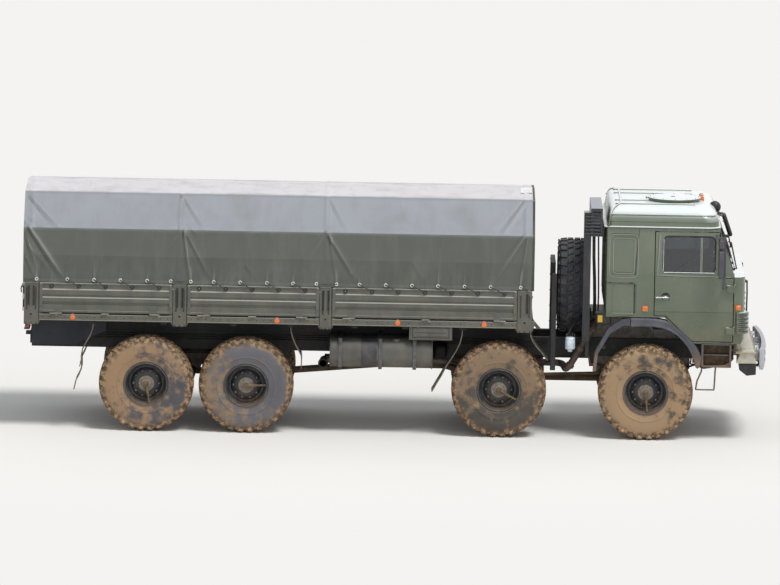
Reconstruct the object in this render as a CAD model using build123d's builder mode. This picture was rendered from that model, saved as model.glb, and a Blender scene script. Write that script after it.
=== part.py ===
"""Eight-wheeled covered cargo truck with a tilting cab.

Millimetres. +X is forward, +Y the truck's left side, +Z up, and the ground is at Z = 0.
X sizes below are measured from the front axle, forward positive, and the drawing helpers
shift them so that the origin ends up under the middle of the whole truck.
"""
from build123d import *
import os
from math import cos, radians, sin, tan

SIDES = (("r", -1), ("l", 1))
SEAT_GAP = 0.3
PIVOT_GAP = 0.3

# Overall layout
FRONT_OVERHANG = 1604
AXLE_SPACINGS = (1940, 3340, 1320)
REAR_OVERHANG = 1642
OVERALL_LENGTH = FRONT_OVERHANG + sum(AXLE_SPACINGS) + REAR_OVERHANG
FRONT_AXLE_X = OVERALL_LENGTH / 2 - FRONT_OVERHANG
AXLES = (
    0,
    -AXLE_SPACINGS[0],
    -AXLE_SPACINGS[0] - AXLE_SPACINGS[1],
    -AXLE_SPACINGS[0] - AXLE_SPACINGS[1] - AXLE_SPACINGS[2],
)
STEERED_AXLES = 2
TRUCK_REAR = AXLES[3] - REAR_OVERHANG

# Wheels and tyres
TYRE_RADIUS = 630
TYRE_WIDTH = 425
TYRE_FACETS = 32
WHEEL_TRACK = 2050
WHEEL_Y = WHEEL_TRACK / 2
SIDEWALL_RADIUS = 500
TREAD_WIDTH = 360
BEAD_WIDTH = 370
RIM_RADIUS = 267
RIM_WALL = 15
RIM_FLANGE_RADIUS = 308
RIM_FLANGE_RISE = 6
RIM_WIDTH = 410
RIM_DISC_OFFSET = 60
RIM_DISC_THICKNESS = 24
HUB_RADIUS = 106
HUB_CAP_LENGTH = 120
HUB_BACK = 45
SPINDLE_RADIUS = 45
SPINDLE_REACH = 130
HAND_HOLES = 8
HAND_HOLE_RADIUS = 28
HAND_HOLE_CIRCLE = 185

# Beam axles and knuckles
DIFF_RADIUS = 205
DIFF_HALF_LENGTH = 120
DIFF_NOSE_RADIUS = 95
DIFF_NOSE_LENGTH = 210
AXLE_TUBE_RADIUS = 75
KINGPIN_Y = 830
KINGPIN_RADIUS = 30
KNUCKLE_RADIUS = 75
KNUCKLE_HALF_HEIGHT = 120
YOKE_GAP = 6
YOKE_EAR = 36
YOKE_DEPTH = 130
BRAKE_RADIUS = 200
BRAKE_WIDTH = 40
BRAKE_INNER_Y = 925

# Ladder frame
RAIL_OUTER_Y = 420
RAIL_WIDTH = 80
RAIL_WEB = 10
RAIL_BOTTOM = 1000
RAIL_TOP = 1240
RAIL_FRONT = 1180
RAIL_REAR = TRUCK_REAR + 94
CROSSMEMBERS = (1080, -980, -2900, -4600, -5940, -8110)
CROSSMEMBER_LENGTH = 120
CROSSMEMBER_HEIGHT = 160
SIDE_PLATE_LENGTH = 1030
SIDE_PLATE_BOTTOM = 1102
SIDE_PLATE_TOP = 1238
TOW_LUG_THICKNESS = 40
TOW_BORE_RADIUS = 22

# Leaf springs: upright ones on the front axles, inverted ones across the rear pair
SPRING_Y = 380
SPRING_HALF_WIDTH = 38
SPRING_LEAF = 16
SPRING_PAD_HALF = 95
SPRING_PAD_HEIGHT = 15
SPRING_LEAF_SHARES = (1, 0.82, 0.64, 0.46, 0.28)
FRONT_SPRING_HALF = 725
FRONT_SPRING_RISE = 130
FRONT_SPRING_EYE = 45
REAR_SPRING_HALF = AXLE_SPACINGS[2] / 2
REAR_SPRING_RISE = 145
REAR_SPRING_OVERHANG = 40
TRUNNION_X = AXLES[2] - REAR_SPRING_HALF
TRUNNION_Z = 790
TRUNNION_RADIUS = 50
TRUNNION_END = 430
TRUNNION_PLATE_INNER = 230
TRUNNION_PLATE_OUTER = 320
TRUNNION_PLATE_HALF = 110

# Transfer case and propeller shafts
TRANSFER_FRONT = -2680
TRANSFER_REAR = -3080
TRANSFER_HALF_WIDTH = 180
TRANSFER_BOTTOM = 760
SHAFT_RADIUS = 45
SHAFT_HEIGHT = 650
SHAFT_JOINT_RADIUS = 62
SHAFT_JOINT_LENGTH = 70
SHAFT_REACH = DIFF_NOSE_LENGTH + SHAFT_JOINT_LENGTH / 2
TRANSFER_SHAFT_HEIGHT = 840
MAIN_SHAFT_HEIGHT = 955

# Tilting cab
CAB_REAR = -547
CAB_FRONT = 1287
CAB_BOTTOM_REAR = 1640
CAB_BOTTOM_FRONT = 1301
CAB_ARCH_REAR = 228
CAB_ARCH_FRONT = 577
CAB_NOSE_BOTTOM = 1383
CAB_NOSE_CHAMFER = 47
SCREEN_SILL = 2192
SCREEN_FOOT = 1146
GUTTER_FRONT = 934
GUTTER_Z = 2815
CAB_HALF_FOOT = 1200
CAB_HALF_CREASE = 1222
CAB_CREASE_Z = 1722
CAB_HALF_GUTTER = 1150
CAB_FRONT_RADIUS = 180
CAB_WALL = 45
TILT_X = 1150
TILT_Z = 1150
TILT_PIN_RADIUS = 25
TILT_EYE_RADIUS = 45
TILT_LUG = 40
TILT_LUG_FOOT = 65

# Doors
DOOR_REAR = 92
DOOR_FRONT = 1129
DOOR_BOTTOM = 1331
DOOR_BOTTOM_REAR = 1668
DOOR_ARCH_REAR = 241
DOOR_ARCH_FRONT = 590
DOOR_TOP = 2772
DOOR_FRAME_FRONT = 938
DOOR_SHOULDER = 2170
DOOR_GAP = 10
DOOR_FLANGE = 32
DOOR_FLANGE_DEPTH = 16
DOOR_HINGE_X = 1142
DOOR_HINGE_Y = 1250
HINGE_BARREL = 11
HINGE_LENGTH = 90
HINGE_LEAF = 6
DOOR_HINGE_HEIGHTS = (1480, 2040)
WINDOW_REAR = 204
WINDOW_FRONT = 876
WINDOW_BOTTOM = 2248
WINDOW_TOP = 2710
WINDOW_RADIUS = 60
GLASS = 6
GLASS_INSET = 18

# Windscreen, side panel recesses, front service lid and corner deflectors
SCREEN_HALF = 1010
SCREEN_BOTTOM = 2262
SCREEN_TOP = 2748
RECESS_DEPTH = 8
SIDE_RECESSES = (
    # rear, front, bottom, top
    (-500, -147, 2186, 2732),
    (-470, -152, 1690, 2080),
)
SERVICE_HALF = 820
SERVICE_BOTTOM = 1490
SERVICE_TOP = 2060
SERVICE_HINGE_Z = 2078
SERVICE_HINGE_REACH = 14
SERVICE_HINGE_LENGTH = 160
SERVICE_GAP = 7
GRILLE_SLOTS = 5
GRILLE_SLOT_HEIGHT = 34
GRILLE_PITCH = 72
GRILLE_BOTTOM = 1600
GRILLE_HALF = 640
DEFLECTOR_BULGE = 60
DEFLECTOR_REAR = 1179
DEFLECTOR_INNER_Y = 1010
DEFLECTOR_OUTER_Y = 1245
DEFLECTOR_BOTTOM = 1444
DEFLECTOR_TOP = 1725
DEFLECTOR_RIBS = 5
DEFLECTOR_GROOVE = 18
DEFLECTOR_GROOVE_DEPTH = 22

# High roof and its round hatch
ROOF_CROWN = 3090
ROOF_REAR_LIP = 47
ROOF_SIDE_LIP = 22
ROOF_FRONT_LIP = 24
ROOF_LIP_HEIGHT = 18
ROOF_WALL = 30
ROOF_SHOULDER_HALF = 1110
ROOF_SHOULDER_Z = 2985
ROOF_CROWN_HALF = 1000
ROOF_NOSE_X = 793
ROOF_NOSE_Z = 3050
ROOF_TAIL_X = -500
ROOF_RIBS = (-760, -380, 380, 760)
ROOF_RIB_WIDTH = 60
ROOF_RIB_HEIGHT = 14
HATCH_X = 351
HATCH_Y = -300
HATCH_RADIUS = 341
HATCH_COLLAR = 20
HATCH_COLLAR_HEIGHT = 26
HATCH_LID = 24
HATCH_HINGE_REACH = 30
ROOF_LAMPS_Y = (-160, 0, 160)
ROOF_LAMP_X = 777

# Wings, steps and mirrors
WING_INNER_Y = 1095
WING_OUTER_Y = 1245
WING_SPLIT = -214
WING_SPLIT_GAP = 12
FRONT_WING_UNDERSIDE = (
    # X, Z from the step box back to the split
    (722, 1006), (676, 966), (648, 984), (593, 1131), (481, 1316), (259, 1498), (-119, 1512), (-214, 1506),
)
REAR_WING_OUTSIDE = (
    # X, Z from the top down
    (-332, 1612), (-516, 1484), (-682, 1165), (-705, 912),
)
REAR_WING_INSIDE = (
    (-665, 912), (-640, 1150), (-485, 1420), (-310, 1530),
)
REAR_WING_TOP = 1628
REAR_WING_ARM_X = -560
REAR_WING_ARM_Z = 1210
REAR_WING_ARM_RADIUS = 24
STEP_REAR = 722
STEP_FRONT = 1120
STEP_BOTTOM = 989
STEP_INNER_Y = 930
STEP_OUTER_Y = 1235
STEP_TREADS = ((1020, 120), (1165, 110))
STEP_TREAD_DEPTH = 170
STEP_TREAD_MARGIN = 40
HANGING_STEP_XS = (766, 946)
HANGING_STEP_WIDTH = 12
HANGING_STEP_INNER_Y = 1150
HANGING_STEP_OUTER_Y = 1210
HANGING_STEP_BOTTOM = 680
HANGING_STEP_TREAD = 22
MIRROR_ARM_RADIUS = 14
MIRROR_Y = 1400
MIRROR_ARM_X = 1000
MIRROR_ARM_FOOT_Z = 2060
MIRROR_ARM_TOP_Z = 2750
MIRROR_ARM_END = 890
MIRROR_HEADS = (
    # X rear, X front, half width, Z bottom, Z top
    (925, 985, 98, 2208, 2573),
    (925, 985, 78, 2592, 2716),
)
MIRROR_CORNER = 24
VIEW_MIRROR_X = 1045
VIEW_MIRROR_Y = -120
VIEW_MIRROR_ARM_TOP = 2925
VIEW_MIRROR_ARM_END = 872

# Bumper and bowed push bar
BEAM_REAR = 1220
BEAM_FRONT = 1451
BEAM_BOTTOM = 1044
BEAM_TOP = 1192
BEAM_HALF = 1200
BEAM_WALL = 12
BUMPER_SHELF_REAR = 1179
BUMPER_SHELF_INNER_Y = 520
BUMPER_SHELF = 10
PUSH_BAR_HALF = 1150
PUSH_BAR_END = 1496
PUSH_BAR_THICKNESS = 50
PUSH_BAR_BOTTOM = 963
PUSH_BAR_TOP = 1229
PUSH_BAR_BRACKETS = (-860, -300, 300, 860)
PUSH_BAR_BRACKET_WIDTH = 30
HEADLAMP_Y = 640
HEADLAMP_RADIUS = 95
HEADLAMP_LENGTH = 40
PUSH_BAR_WINDOW = 250
TOW_LUG_Y = 400
TOW_LUG_X = 1390
TOW_LUG_BOTTOM = 950
TOW_LUG_HALF = 60
TOW_LUG_Z = 1000

# Engine, exhaust, tank and boxes
ENGINE_REAR = -735
ENGINE_FRONT = 600
ENGINE_STEP = 120
ENGINE_BOTTOM = 850
ENGINE_LOW_TOP = 1262
ENGINE_TALL_TOP = 1590
EXHAUST_RADIUS = 45
EXHAUST_ROUTE = (
    # X, Y, Z
    (-680, -340, 1440), (-680, -640, 1440), (-1040, -640, 830), (-1100, -290, 885), (-4271, -290, 885),
    (-4271, -760, 885),
)
EXHAUST_BEND = 110
EXHAUST_CLAMP_RADIUS = 62
EXHAUST_CLAMP_LENGTH = 70
TANK_REAR = -4183
TANK_FRONT = -2822
TANK_BOTTOM = 889
TANK_TOP = 1275
TANK_OUTER_Y = 1190
TANK_INNER_Y = 540
TANK_CORNER = 150
TANK_STRAPS = (-4044, -3515, -3062)
TANK_STRAP_WIDTH = 50
TANK_STRAP = 5
TANK_BRACKET_HEIGHT = 120
TOOLBOX_REAR = -3137
TOOLBOX_FRONT = -2569
TOOLBOX_BOTTOM = 1286
TOOLBOX_OUTER_Y = 1228
TOOLBOX_INNER_Y = 900
LOCKER_BOTTOM = 920
LOCKER_TOP = 1380
LOCKER_OUTER_Y = 1190

# Spare wheel, its carrier and the air intake
SPARE_X = -965
SPARE_Y = -150
SPARE_Z = 1915
CARRIER_POST_Y = 380
CARRIER_POST_TOP = 2241
CARRIER_POST = 60
CARRIER_X = -1235
CARRIER_BAR_HEIGHT = 120
INTAKE_REAR = -764
INTAKE_FRONT = -612
INTAKE_BOTTOM = 2689
INTAKE_TOP = 3061
INTAKE_INNER_Y = 100
INTAKE_OUTER_Y = -1100
INTAKE_SLATS = 6
INTAKE_SLAT_HEIGHT = 26
INTAKE_SLAT_DEPTH = 60
DUCT_REAR = -853
DUCT_FRONT = -757
DUCT_OUTER_Y = -1050
DUCT_INNER_Y = -850
DUCT_BOTTOM = 1290
DUCT_ARM_Z = 1050
DUCT_ARM = 45

# Cargo bed
BED_FRONT = -1500
BED_HALF = 1222
FLOOR_BOTTOM = 1500
FLOOR_TOP = 1535
BED_RAIL_BOTTOM = 1485
BED_RAIL_TOP = 1560
BED_RAIL_WIDTH = 42
BEARER_BOTTOM = 1420
BEARER_LENGTH = 80
BEARERS = (-1600, -2470, -3230, -3900, -4740, -5500, -6420, -7350, -8160)
SUBFRAME_INSET = 8
POST_OUTER_Y = 1250
POST_INNER_Y = 1190
POST_BOTTOM = 1410
POST_TOP = 1966
POST_SPANS = (
    # X rear, X front
    (-8226, -8035), (-6258, -6082), (-4321, -4170), (-1713, -1524),
)
POST_SLOT_WIDTH = 22
POST_SLOT_INSET = 38
POST_SLOT_BOTTOM = 1600
POST_SLOT_TOP = 1900
BOARD_OUTER_Y = 1246
BOARD_THICKNESS = 26
BOARD_BOTTOM = 1570
BOARD_TOP = 1960
BOARD_END_GAP = 6
BOARD_GROOVE_DEPTH = 9
BOARD_GROOVE_HEIGHT = 34
BOARD_GROOVES = (1690, 1840)
BOARD_HINGE_REACH = 6
BOARD_HINGE_Z = 1556
BOARD_HINGE_RADIUS = 8
BOARD_HINGE_LENGTH = 90
BOARD_HINGE_INSET = 260
TAILGATE_OUTER_X = TRUCK_REAR + 18
TAILGATE_HALF = 1176
HEADBOARD_THICKNESS = 24
TAIL_RAIL_X = TRUCK_REAR + 42

# Tent over the bed
TENT_HALF = 1250
TENT_BOTTOM = 1972
TENT_EAVE = 2695
TENT_SHOULDER_HALF = 817
TENT_SHOULDER = 3128
TENT_CROWN = 3190
TENT_CLOTH = 18
BOW_DEPTH = 40
BOW_WIDTH = 44

# Mudflaps and lamps
MUDFLAPS = (
    # X top, X bottom, Z bottom
    (-7310, -7556, 542),
    (-4700, -4561, 870),
    (-2440, -2834, 597),
    (-1540, -1300, 1040),
)
MUDFLAP_THICKNESS = 12
MUDFLAP_INNER_Y = 860
MUDFLAP_OUTER_Y = 1218
RAIL_LAMPS = (-7582, -4884, -3291, -2149)
RAIL_LAMP_RADIUS = 34
RAIL_LAMP_Z = 1522
RAIL_LAMP_DEPTH = 12
TAIL_LAMP_Y = 930

# Cab interior
SEAT_YS = (-560, 560)
SEAT_REAR = -330
SEAT_FRONT = 150
SEAT_HALF = 260
SEAT_HEIGHT = 1840
SEAT_CUSHION = 120
SEAT_BACK_TOP = 2540
DASH_REAR = 860
DASH_FRONT = 1080
DASH_BOTTOM = 1760
DASH_TOP = 2130
DASH_SLOPE = 110
DASH_HALF = 1080
DASH_LEG = 160
STEERING_X = 620
STEERING_Z = 2150
STEERING_TILT = 50
STEERING_RADIUS = 235
STEERING_GRIP = 17
STEERING_COLUMN = 420

# Cab lamps and the front-view mirror
ROOF_LAMP_HALF = 36
ROOF_LAMP_SINK = 40
ROOF_LAMP_HEIGHT = 42
CAB_SIDE_LAMPS = (
    # X, Z
    (-30, 1759), (1196, 1790),
)
CAB_LAMP_DEPTH = 14
CAB_LAMP_HALF = 34
VIEW_MIRROR_HALF = 95
VIEW_MIRROR_DEPTH = 50
VIEW_MIRROR_BOTTOM = 2641
VIEW_MIRROR_TOP = 2880
TOOLBOX_LID_MARGIN = 22
BOARD_STRAP = 8
BOARD_STRAP_LENGTH = 100
TENT_CORNER_TURN = 45
TAIL_LAMP_DEPTH = 45
TAIL_LAMP_HALF = 160
TAIL_LAMP_DROP = 90

os.makedirs("parts", exist_ok=True)


# Drawing helpers, all with X measured from the front axle
def point(x, y, z):
    """Give a point of the truck, with X measured from the front axle."""
    return Vector(FRONT_AXLE_X + x, y, z)


def block(x_limits, y_limits, z_limits, mode=Mode.ADD):
    """Add a box between two limits on each axis."""
    sizes = [abs(high - low) for low, high in (x_limits, y_limits, z_limits)]
    middle = [(high + low) / 2 for low, high in (x_limits, y_limits, z_limits)]
    with Locations(point(*middle)):
        Box(*sizes, mode=mode)


def rod(start, end, radius, mode=Mode.ADD):
    """Add a round bar from one point to another."""
    axis = point(*end) - point(*start)
    with BuildSketch(Plane(origin=point(*start), z_dir=axis)) as section:
        Circle(radius)
    extrude(section.sketch, amount=axis.length, mode=mode)


def side_plate(outline, y_limits, mode=Mode.ADD):
    """Extrude an outline of X and Z points between two Y limits."""
    far = max(y_limits)
    with BuildSketch(Plane.XZ.offset(-far)) as profile:
        with BuildLine():
            Polyline(*[(FRONT_AXLE_X + x, z) for x, z in outline], close=True)
        make_face()
    extrude(profile.sketch, amount=far - min(y_limits), mode=mode)


def both_sides(low, high):
    """Give the two Y ranges, right side first, of what lies between two distances from the middle."""
    return ((-high, -low), (low, high))


def save(builder, label):
    """Name a finished piece and write it as its own file."""
    builder.part.label = label
    export_step(builder.part, f"parts/{label}.step")


# Heights where the leaf springs sit
AXLE_PAD_TOP = TYRE_RADIUS + AXLE_TUBE_RADIUS + SPRING_PAD_HEIGHT
LEAF_STACK = SPRING_LEAF * len(SPRING_LEAF_SHARES)
SPRING_SEAT = AXLE_PAD_TOP + SEAT_GAP
BOGIE_SPRING_SEAT = SPRING_SEAT + REAR_SPRING_RISE


def side_range(sign, inner, outer):
    """Give the Y limits of something between two distances on one side."""
    return (sign * inner, sign * outer)


# Ladder frame: channel rails, crossmembers, spring brackets, trunnion, side plates and tow lugs
with BuildPart() as frame:
    for y_limits in both_sides(RAIL_OUTER_Y - RAIL_WIDTH, RAIL_OUTER_Y):
        block((RAIL_REAR, RAIL_FRONT), y_limits, (RAIL_BOTTOM, RAIL_TOP))
    for x in CROSSMEMBERS:
        middle = (RAIL_BOTTOM + RAIL_TOP) / 2
        block(
            (x - CROSSMEMBER_LENGTH / 2, x + CROSSMEMBER_LENGTH / 2),
            (RAIL_WEB - RAIL_OUTER_Y, RAIL_OUTER_Y - RAIL_WEB),
            (middle - CROSSMEMBER_HEIGHT / 2, middle + CROSSMEMBER_HEIGHT / 2),
        )
    for side, sign in SIDES:
        for axle in AXLES[:STEERED_AXLES]:
            for way in (-1, 1):
                eye = axle + way * (FRONT_SPRING_HALF - FRONT_SPRING_EYE)
                block(
                    (eye - FRONT_SPRING_EYE, eye + FRONT_SPRING_EYE),
                    side_range(sign, RAIL_OUTER_Y - RAIL_WIDTH, RAIL_OUTER_Y),
                    (SPRING_SEAT + LEAF_STACK + FRONT_SPRING_RISE + SEAT_GAP, RAIL_BOTTOM),
                )
        block(
            (TRUNNION_X - TRUNNION_PLATE_HALF, TRUNNION_X + TRUNNION_PLATE_HALF),
            side_range(sign, TRUNNION_PLATE_INNER, TRUNNION_PLATE_OUTER), (TRUNNION_Z, RAIL_TOP - RAIL_WIDTH),
        )
        block(
            (TRUNNION_X - SPRING_PAD_HALF, TRUNNION_X + SPRING_PAD_HALF),
            side_range(sign, TRUNNION_PLATE_INNER, SPRING_Y + SPRING_HALF_WIDTH),
            (TRUNNION_Z, BOGIE_SPRING_SEAT - SEAT_GAP),
        )
        block(
            (RAIL_REAR, RAIL_REAR + SIDE_PLATE_LENGTH),
            (sign * RAIL_OUTER_Y, sign * (RAIL_OUTER_Y + RAIL_WEB)),
            (SIDE_PLATE_BOTTOM, SIDE_PLATE_TOP),
        )
        rod(
            (TILT_X, sign * (RAIL_OUTER_Y - RAIL_WEB), TILT_Z),
            (TILT_X, sign * (RAIL_OUTER_Y + SEAT_GAP + TILT_LUG + TILT_PIN_RADIUS), TILT_Z), TILT_PIN_RADIUS,
        )
    rod((TRUNNION_X, -TRUNNION_END, TRUNNION_Z), (TRUNNION_X, TRUNNION_END, TRUNNION_Z), TRUNNION_RADIUS)
    block(
        (TRUCK_REAR + SEAT_GAP, RAIL_REAR), (-TOW_LUG_HALF, TOW_LUG_HALF),
        (SIDE_PLATE_BOTTOM, SIDE_PLATE_BOTTOM + TOW_LUG_THICKNESS),
    )
    with Locations(point(TRUCK_REAR + TOW_LUG_THICKNESS, 0, SIDE_PLATE_BOTTOM + TOW_LUG_THICKNESS / 2)):
        Cylinder(TOW_BORE_RADIUS, 2 * TOW_LUG_THICKNESS, mode=Mode.SUBTRACT)
save(frame, "frame")

# Beam axles: differential, tubes, spring pads, yokes for the knuckles in front, spindles behind
SPINDLE_END = WHEEL_Y + SPINDLE_REACH
YOKE_INNER = KNUCKLE_HALF_HEIGHT + YOKE_GAP
with BuildPart() as axles:
    for number, axle in enumerate(AXLES):
        steered = number < STEERED_AXLES
        tube_end = KINGPIN_Y - YOKE_DEPTH if steered else BRAKE_INNER_Y
        rod((axle, -tube_end, TYRE_RADIUS), (axle, tube_end, TYRE_RADIUS), AXLE_TUBE_RADIUS)
        rod(
            (axle - DIFF_HALF_LENGTH, 0, TYRE_RADIUS), (axle + DIFF_HALF_LENGTH, 0, TYRE_RADIUS), DIFF_RADIUS,
        )
        rod(
            (axle - DIFF_NOSE_LENGTH, 0, SHAFT_HEIGHT), (axle + DIFF_NOSE_LENGTH, 0, SHAFT_HEIGHT),
            DIFF_NOSE_RADIUS,
        )
        for side, sign in SIDES:
            block(
                (axle - SPRING_PAD_HALF, axle + SPRING_PAD_HALF),
                side_range(sign, SPRING_Y - SPRING_HALF_WIDTH, SPRING_Y + SPRING_HALF_WIDTH),
                (TYRE_RADIUS, AXLE_PAD_TOP),
            )
            if steered:
                block(
                    (axle - KINGPIN_RADIUS, axle + KINGPIN_RADIUS),
                    (sign * (tube_end - AXLE_TUBE_RADIUS), sign * (KINGPIN_Y - KNUCKLE_RADIUS - YOKE_GAP)),
                    (TYRE_RADIUS - YOKE_INNER - YOKE_EAR, TYRE_RADIUS + YOKE_INNER + YOKE_EAR),
                )
                for way in (-1, 1):
                    block(
                        (axle - KINGPIN_RADIUS, axle + KINGPIN_RADIUS),
                        (sign * tube_end, sign * KINGPIN_Y),
                        (TYRE_RADIUS + way * YOKE_INNER, TYRE_RADIUS + way * (YOKE_INNER + YOKE_EAR)),
                    )
                    rod(
                        (axle, sign * KINGPIN_Y, TYRE_RADIUS + way * YOKE_INNER),
                        (axle, sign * KINGPIN_Y, TYRE_RADIUS + way * (YOKE_INNER + YOKE_EAR)),
                        KNUCKLE_RADIUS - YOKE_GAP,
                    )
                rod(
                    (axle, sign * KINGPIN_Y, TYRE_RADIUS - YOKE_INNER - 2 * YOKE_EAR),
                    (axle, sign * KINGPIN_Y, TYRE_RADIUS + YOKE_INNER + 2 * YOKE_EAR),
                    KINGPIN_RADIUS + PIVOT_GAP, mode=Mode.SUBTRACT,
                )
            else:
                rod(
                    (axle, sign * BRAKE_INNER_Y, TYRE_RADIUS),
                    (axle, sign * (BRAKE_INNER_Y + BRAKE_WIDTH), TYRE_RADIUS), BRAKE_RADIUS,
                )
                rod(
                    (axle, sign * BRAKE_INNER_Y, TYRE_RADIUS), (axle, sign * SPINDLE_END, TYRE_RADIUS),
                    SPINDLE_RADIUS,
                )
save(axles, "axles")


def leaf_outline(middle, seat, order, half_length, reach, rise):
    """Give the outline of one spring leaf, flat over its seat and bent beyond it, as X and Z points."""
    edges = []
    for level in (seat + order * SPRING_LEAF, seat + (order + 1) * SPRING_LEAF):
        edge = [(middle, level)]
        for step in LEAF_STEPS:
            bent = step * (half_length - SPRING_PAD_HALF)
            height = level + rise * (bent / (reach - SPRING_PAD_HALF)) ** 2
            edge.append((middle + SPRING_PAD_HALF + bent, height))
            edge.insert(0, (middle - SPRING_PAD_HALF - bent, height))
        edges.append(edge)
    return tuple(edges[0] + edges[1][::-1])


# Leaf springs: the longest leaf lies on top in front, and lowest behind
LEAF_STEPS = (0, 0.25, 0.5, 0.75, 1)
SPRING_ROWS = (
    # middle, seat at the middle, reach, rise at the reach
    (AXLES[0], SPRING_SEAT, FRONT_SPRING_HALF, FRONT_SPRING_RISE),
    (AXLES[1], SPRING_SEAT, FRONT_SPRING_HALF, FRONT_SPRING_RISE),
    (TRUNNION_X, BOGIE_SPRING_SEAT, REAR_SPRING_HALF + REAR_SPRING_OVERHANG, -REAR_SPRING_RISE),
)
with BuildPart() as springs:
    for side, sign in SIDES:
        for middle, seat, reach, rise in SPRING_ROWS:
            for number, share in enumerate(SPRING_LEAF_SHARES):
                order = len(SPRING_LEAF_SHARES) - 1 - number if rise > 0 else number
                side_plate(
                    leaf_outline(middle, seat, order, share * reach, reach, rise),
                    side_range(sign, SPRING_Y - SPRING_HALF_WIDTH, SPRING_Y + SPRING_HALF_WIDTH),
                )
save(springs, "springs")

# Transfer case and propeller shafts, with a joint at each differential
SHAFT_NOSES = (
    # axle, way from it
    (AXLES[0], -1),
    (AXLES[1], 1),
    (AXLES[1], -1),
    (AXLES[2], 1),
    (AXLES[2], -1),
    (AXLES[3], 1),
)
TRANSFER_X = (TRANSFER_FRONT + TRANSFER_REAR) / 2
SHAFT_ROWS = (
    # first X and height, last X and height
    (ENGINE_REAR - SEAT_GAP, MAIN_SHAFT_HEIGHT, TRANSFER_X, MAIN_SHAFT_HEIGHT),
    (AXLES[0] - SHAFT_REACH, SHAFT_HEIGHT, AXLES[1] + SHAFT_REACH, SHAFT_HEIGHT),
    (AXLES[1] - SHAFT_REACH, SHAFT_HEIGHT, TRANSFER_X, TRANSFER_SHAFT_HEIGHT),
    (TRANSFER_X, TRANSFER_SHAFT_HEIGHT, AXLES[2] + SHAFT_REACH, SHAFT_HEIGHT),
    (AXLES[2] - SHAFT_REACH, SHAFT_HEIGHT, AXLES[3] + SHAFT_REACH, SHAFT_HEIGHT),
)
with BuildPart() as drive_line:
    block(
        (TRANSFER_REAR, TRANSFER_FRONT), (-TRANSFER_HALF_WIDTH, TRANSFER_HALF_WIDTH),
        (TRANSFER_BOTTOM, (RAIL_BOTTOM + RAIL_TOP - CROSSMEMBER_HEIGHT) / 2 - SEAT_GAP),
    )
    for first_x, first_z, last_x, last_z in SHAFT_ROWS:
        rod((first_x, 0, first_z), (last_x, 0, last_z), SHAFT_RADIUS)
    for axle, way in SHAFT_NOSES:
        nose = axle + way * (DIFF_NOSE_LENGTH + SEAT_GAP)
        rod((nose, 0, SHAFT_HEIGHT), (nose + way * SHAFT_JOINT_LENGTH, 0, SHAFT_HEIGHT), SHAFT_JOINT_RADIUS)
save(drive_line, "drive_line")

# Steering knuckles: post between the yoke ears, kingpin, brake plate and spindle
for number in range(STEERED_AXLES):
    axle = AXLES[number]
    for side, sign in SIDES:
        with BuildPart() as knuckle:
            rod(
                (axle, sign * KINGPIN_Y, TYRE_RADIUS - KNUCKLE_HALF_HEIGHT),
                (axle, sign * KINGPIN_Y, TYRE_RADIUS + KNUCKLE_HALF_HEIGHT), KNUCKLE_RADIUS,
            )
            rod(
                (axle, sign * KINGPIN_Y, TYRE_RADIUS - YOKE_INNER - YOKE_EAR),
                (axle, sign * KINGPIN_Y, TYRE_RADIUS + YOKE_INNER + YOKE_EAR), KINGPIN_RADIUS,
            )
            rod(
                (axle, sign * KINGPIN_Y, TYRE_RADIUS), (axle, sign * SPINDLE_END, TYRE_RADIUS),
                SPINDLE_RADIUS,
            )
            rod(
                (axle, sign * BRAKE_INNER_Y, TYRE_RADIUS),
                (axle, sign * (BRAKE_INNER_Y + BRAKE_WIDTH), TYRE_RADIUS), BRAKE_RADIUS,
            )
        save(knuckle, f"knuckle_{number + 1}{side}")

# Tyre section as half width and radius from the tread to the bead
TYRE_SECTION = (
    # half width, radius
    (TREAD_WIDTH / 2, TYRE_RADIUS), (TYRE_WIDTH / 2, SIDEWALL_RADIUS),
    (BEAD_WIDTH / 2, RIM_RADIUS + RIM_WALL / 2),
)


def ring_sketch(plane, apothem):
    """Draw the many-sided outline of a wheel on a plane across its axle."""
    with BuildSketch(plane) as outline:
        RegularPolygon(apothem, TYRE_FACETS, major_radius=False, rotation=180 / TYRE_FACETS)
    return outline.sketch


def wheel_plane(centre, axis, distance):
    """Give the plane across a wheel at a distance outward along its axis."""
    across = Vector(0, 0, 1)
    return Plane(origin=centre + axis * distance, x_dir=across, z_dir=axis)


def tyre_solid(centre, axis):
    """Build a tyre round an axis, bead to tread, open to fit its rim."""
    with BuildPart() as tyre:
        for way in (-1, 1):
            rings = [
                ring_sketch(wheel_plane(centre, axis, way * half), radius) for half, radius in TYRE_SECTION
            ]
            loft(rings, ruled=True)
        extrude(ring_sketch(wheel_plane(centre, axis, -TREAD_WIDTH / 2), TYRE_RADIUS), amount=TREAD_WIDTH)
        bore = ring_sketch(wheel_plane(centre, axis, -TYRE_WIDTH), RIM_RADIUS + SEAT_GAP)
        extrude(bore, amount=2 * TYRE_WIDTH, mode=Mode.SUBTRACT)
    return tyre


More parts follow.
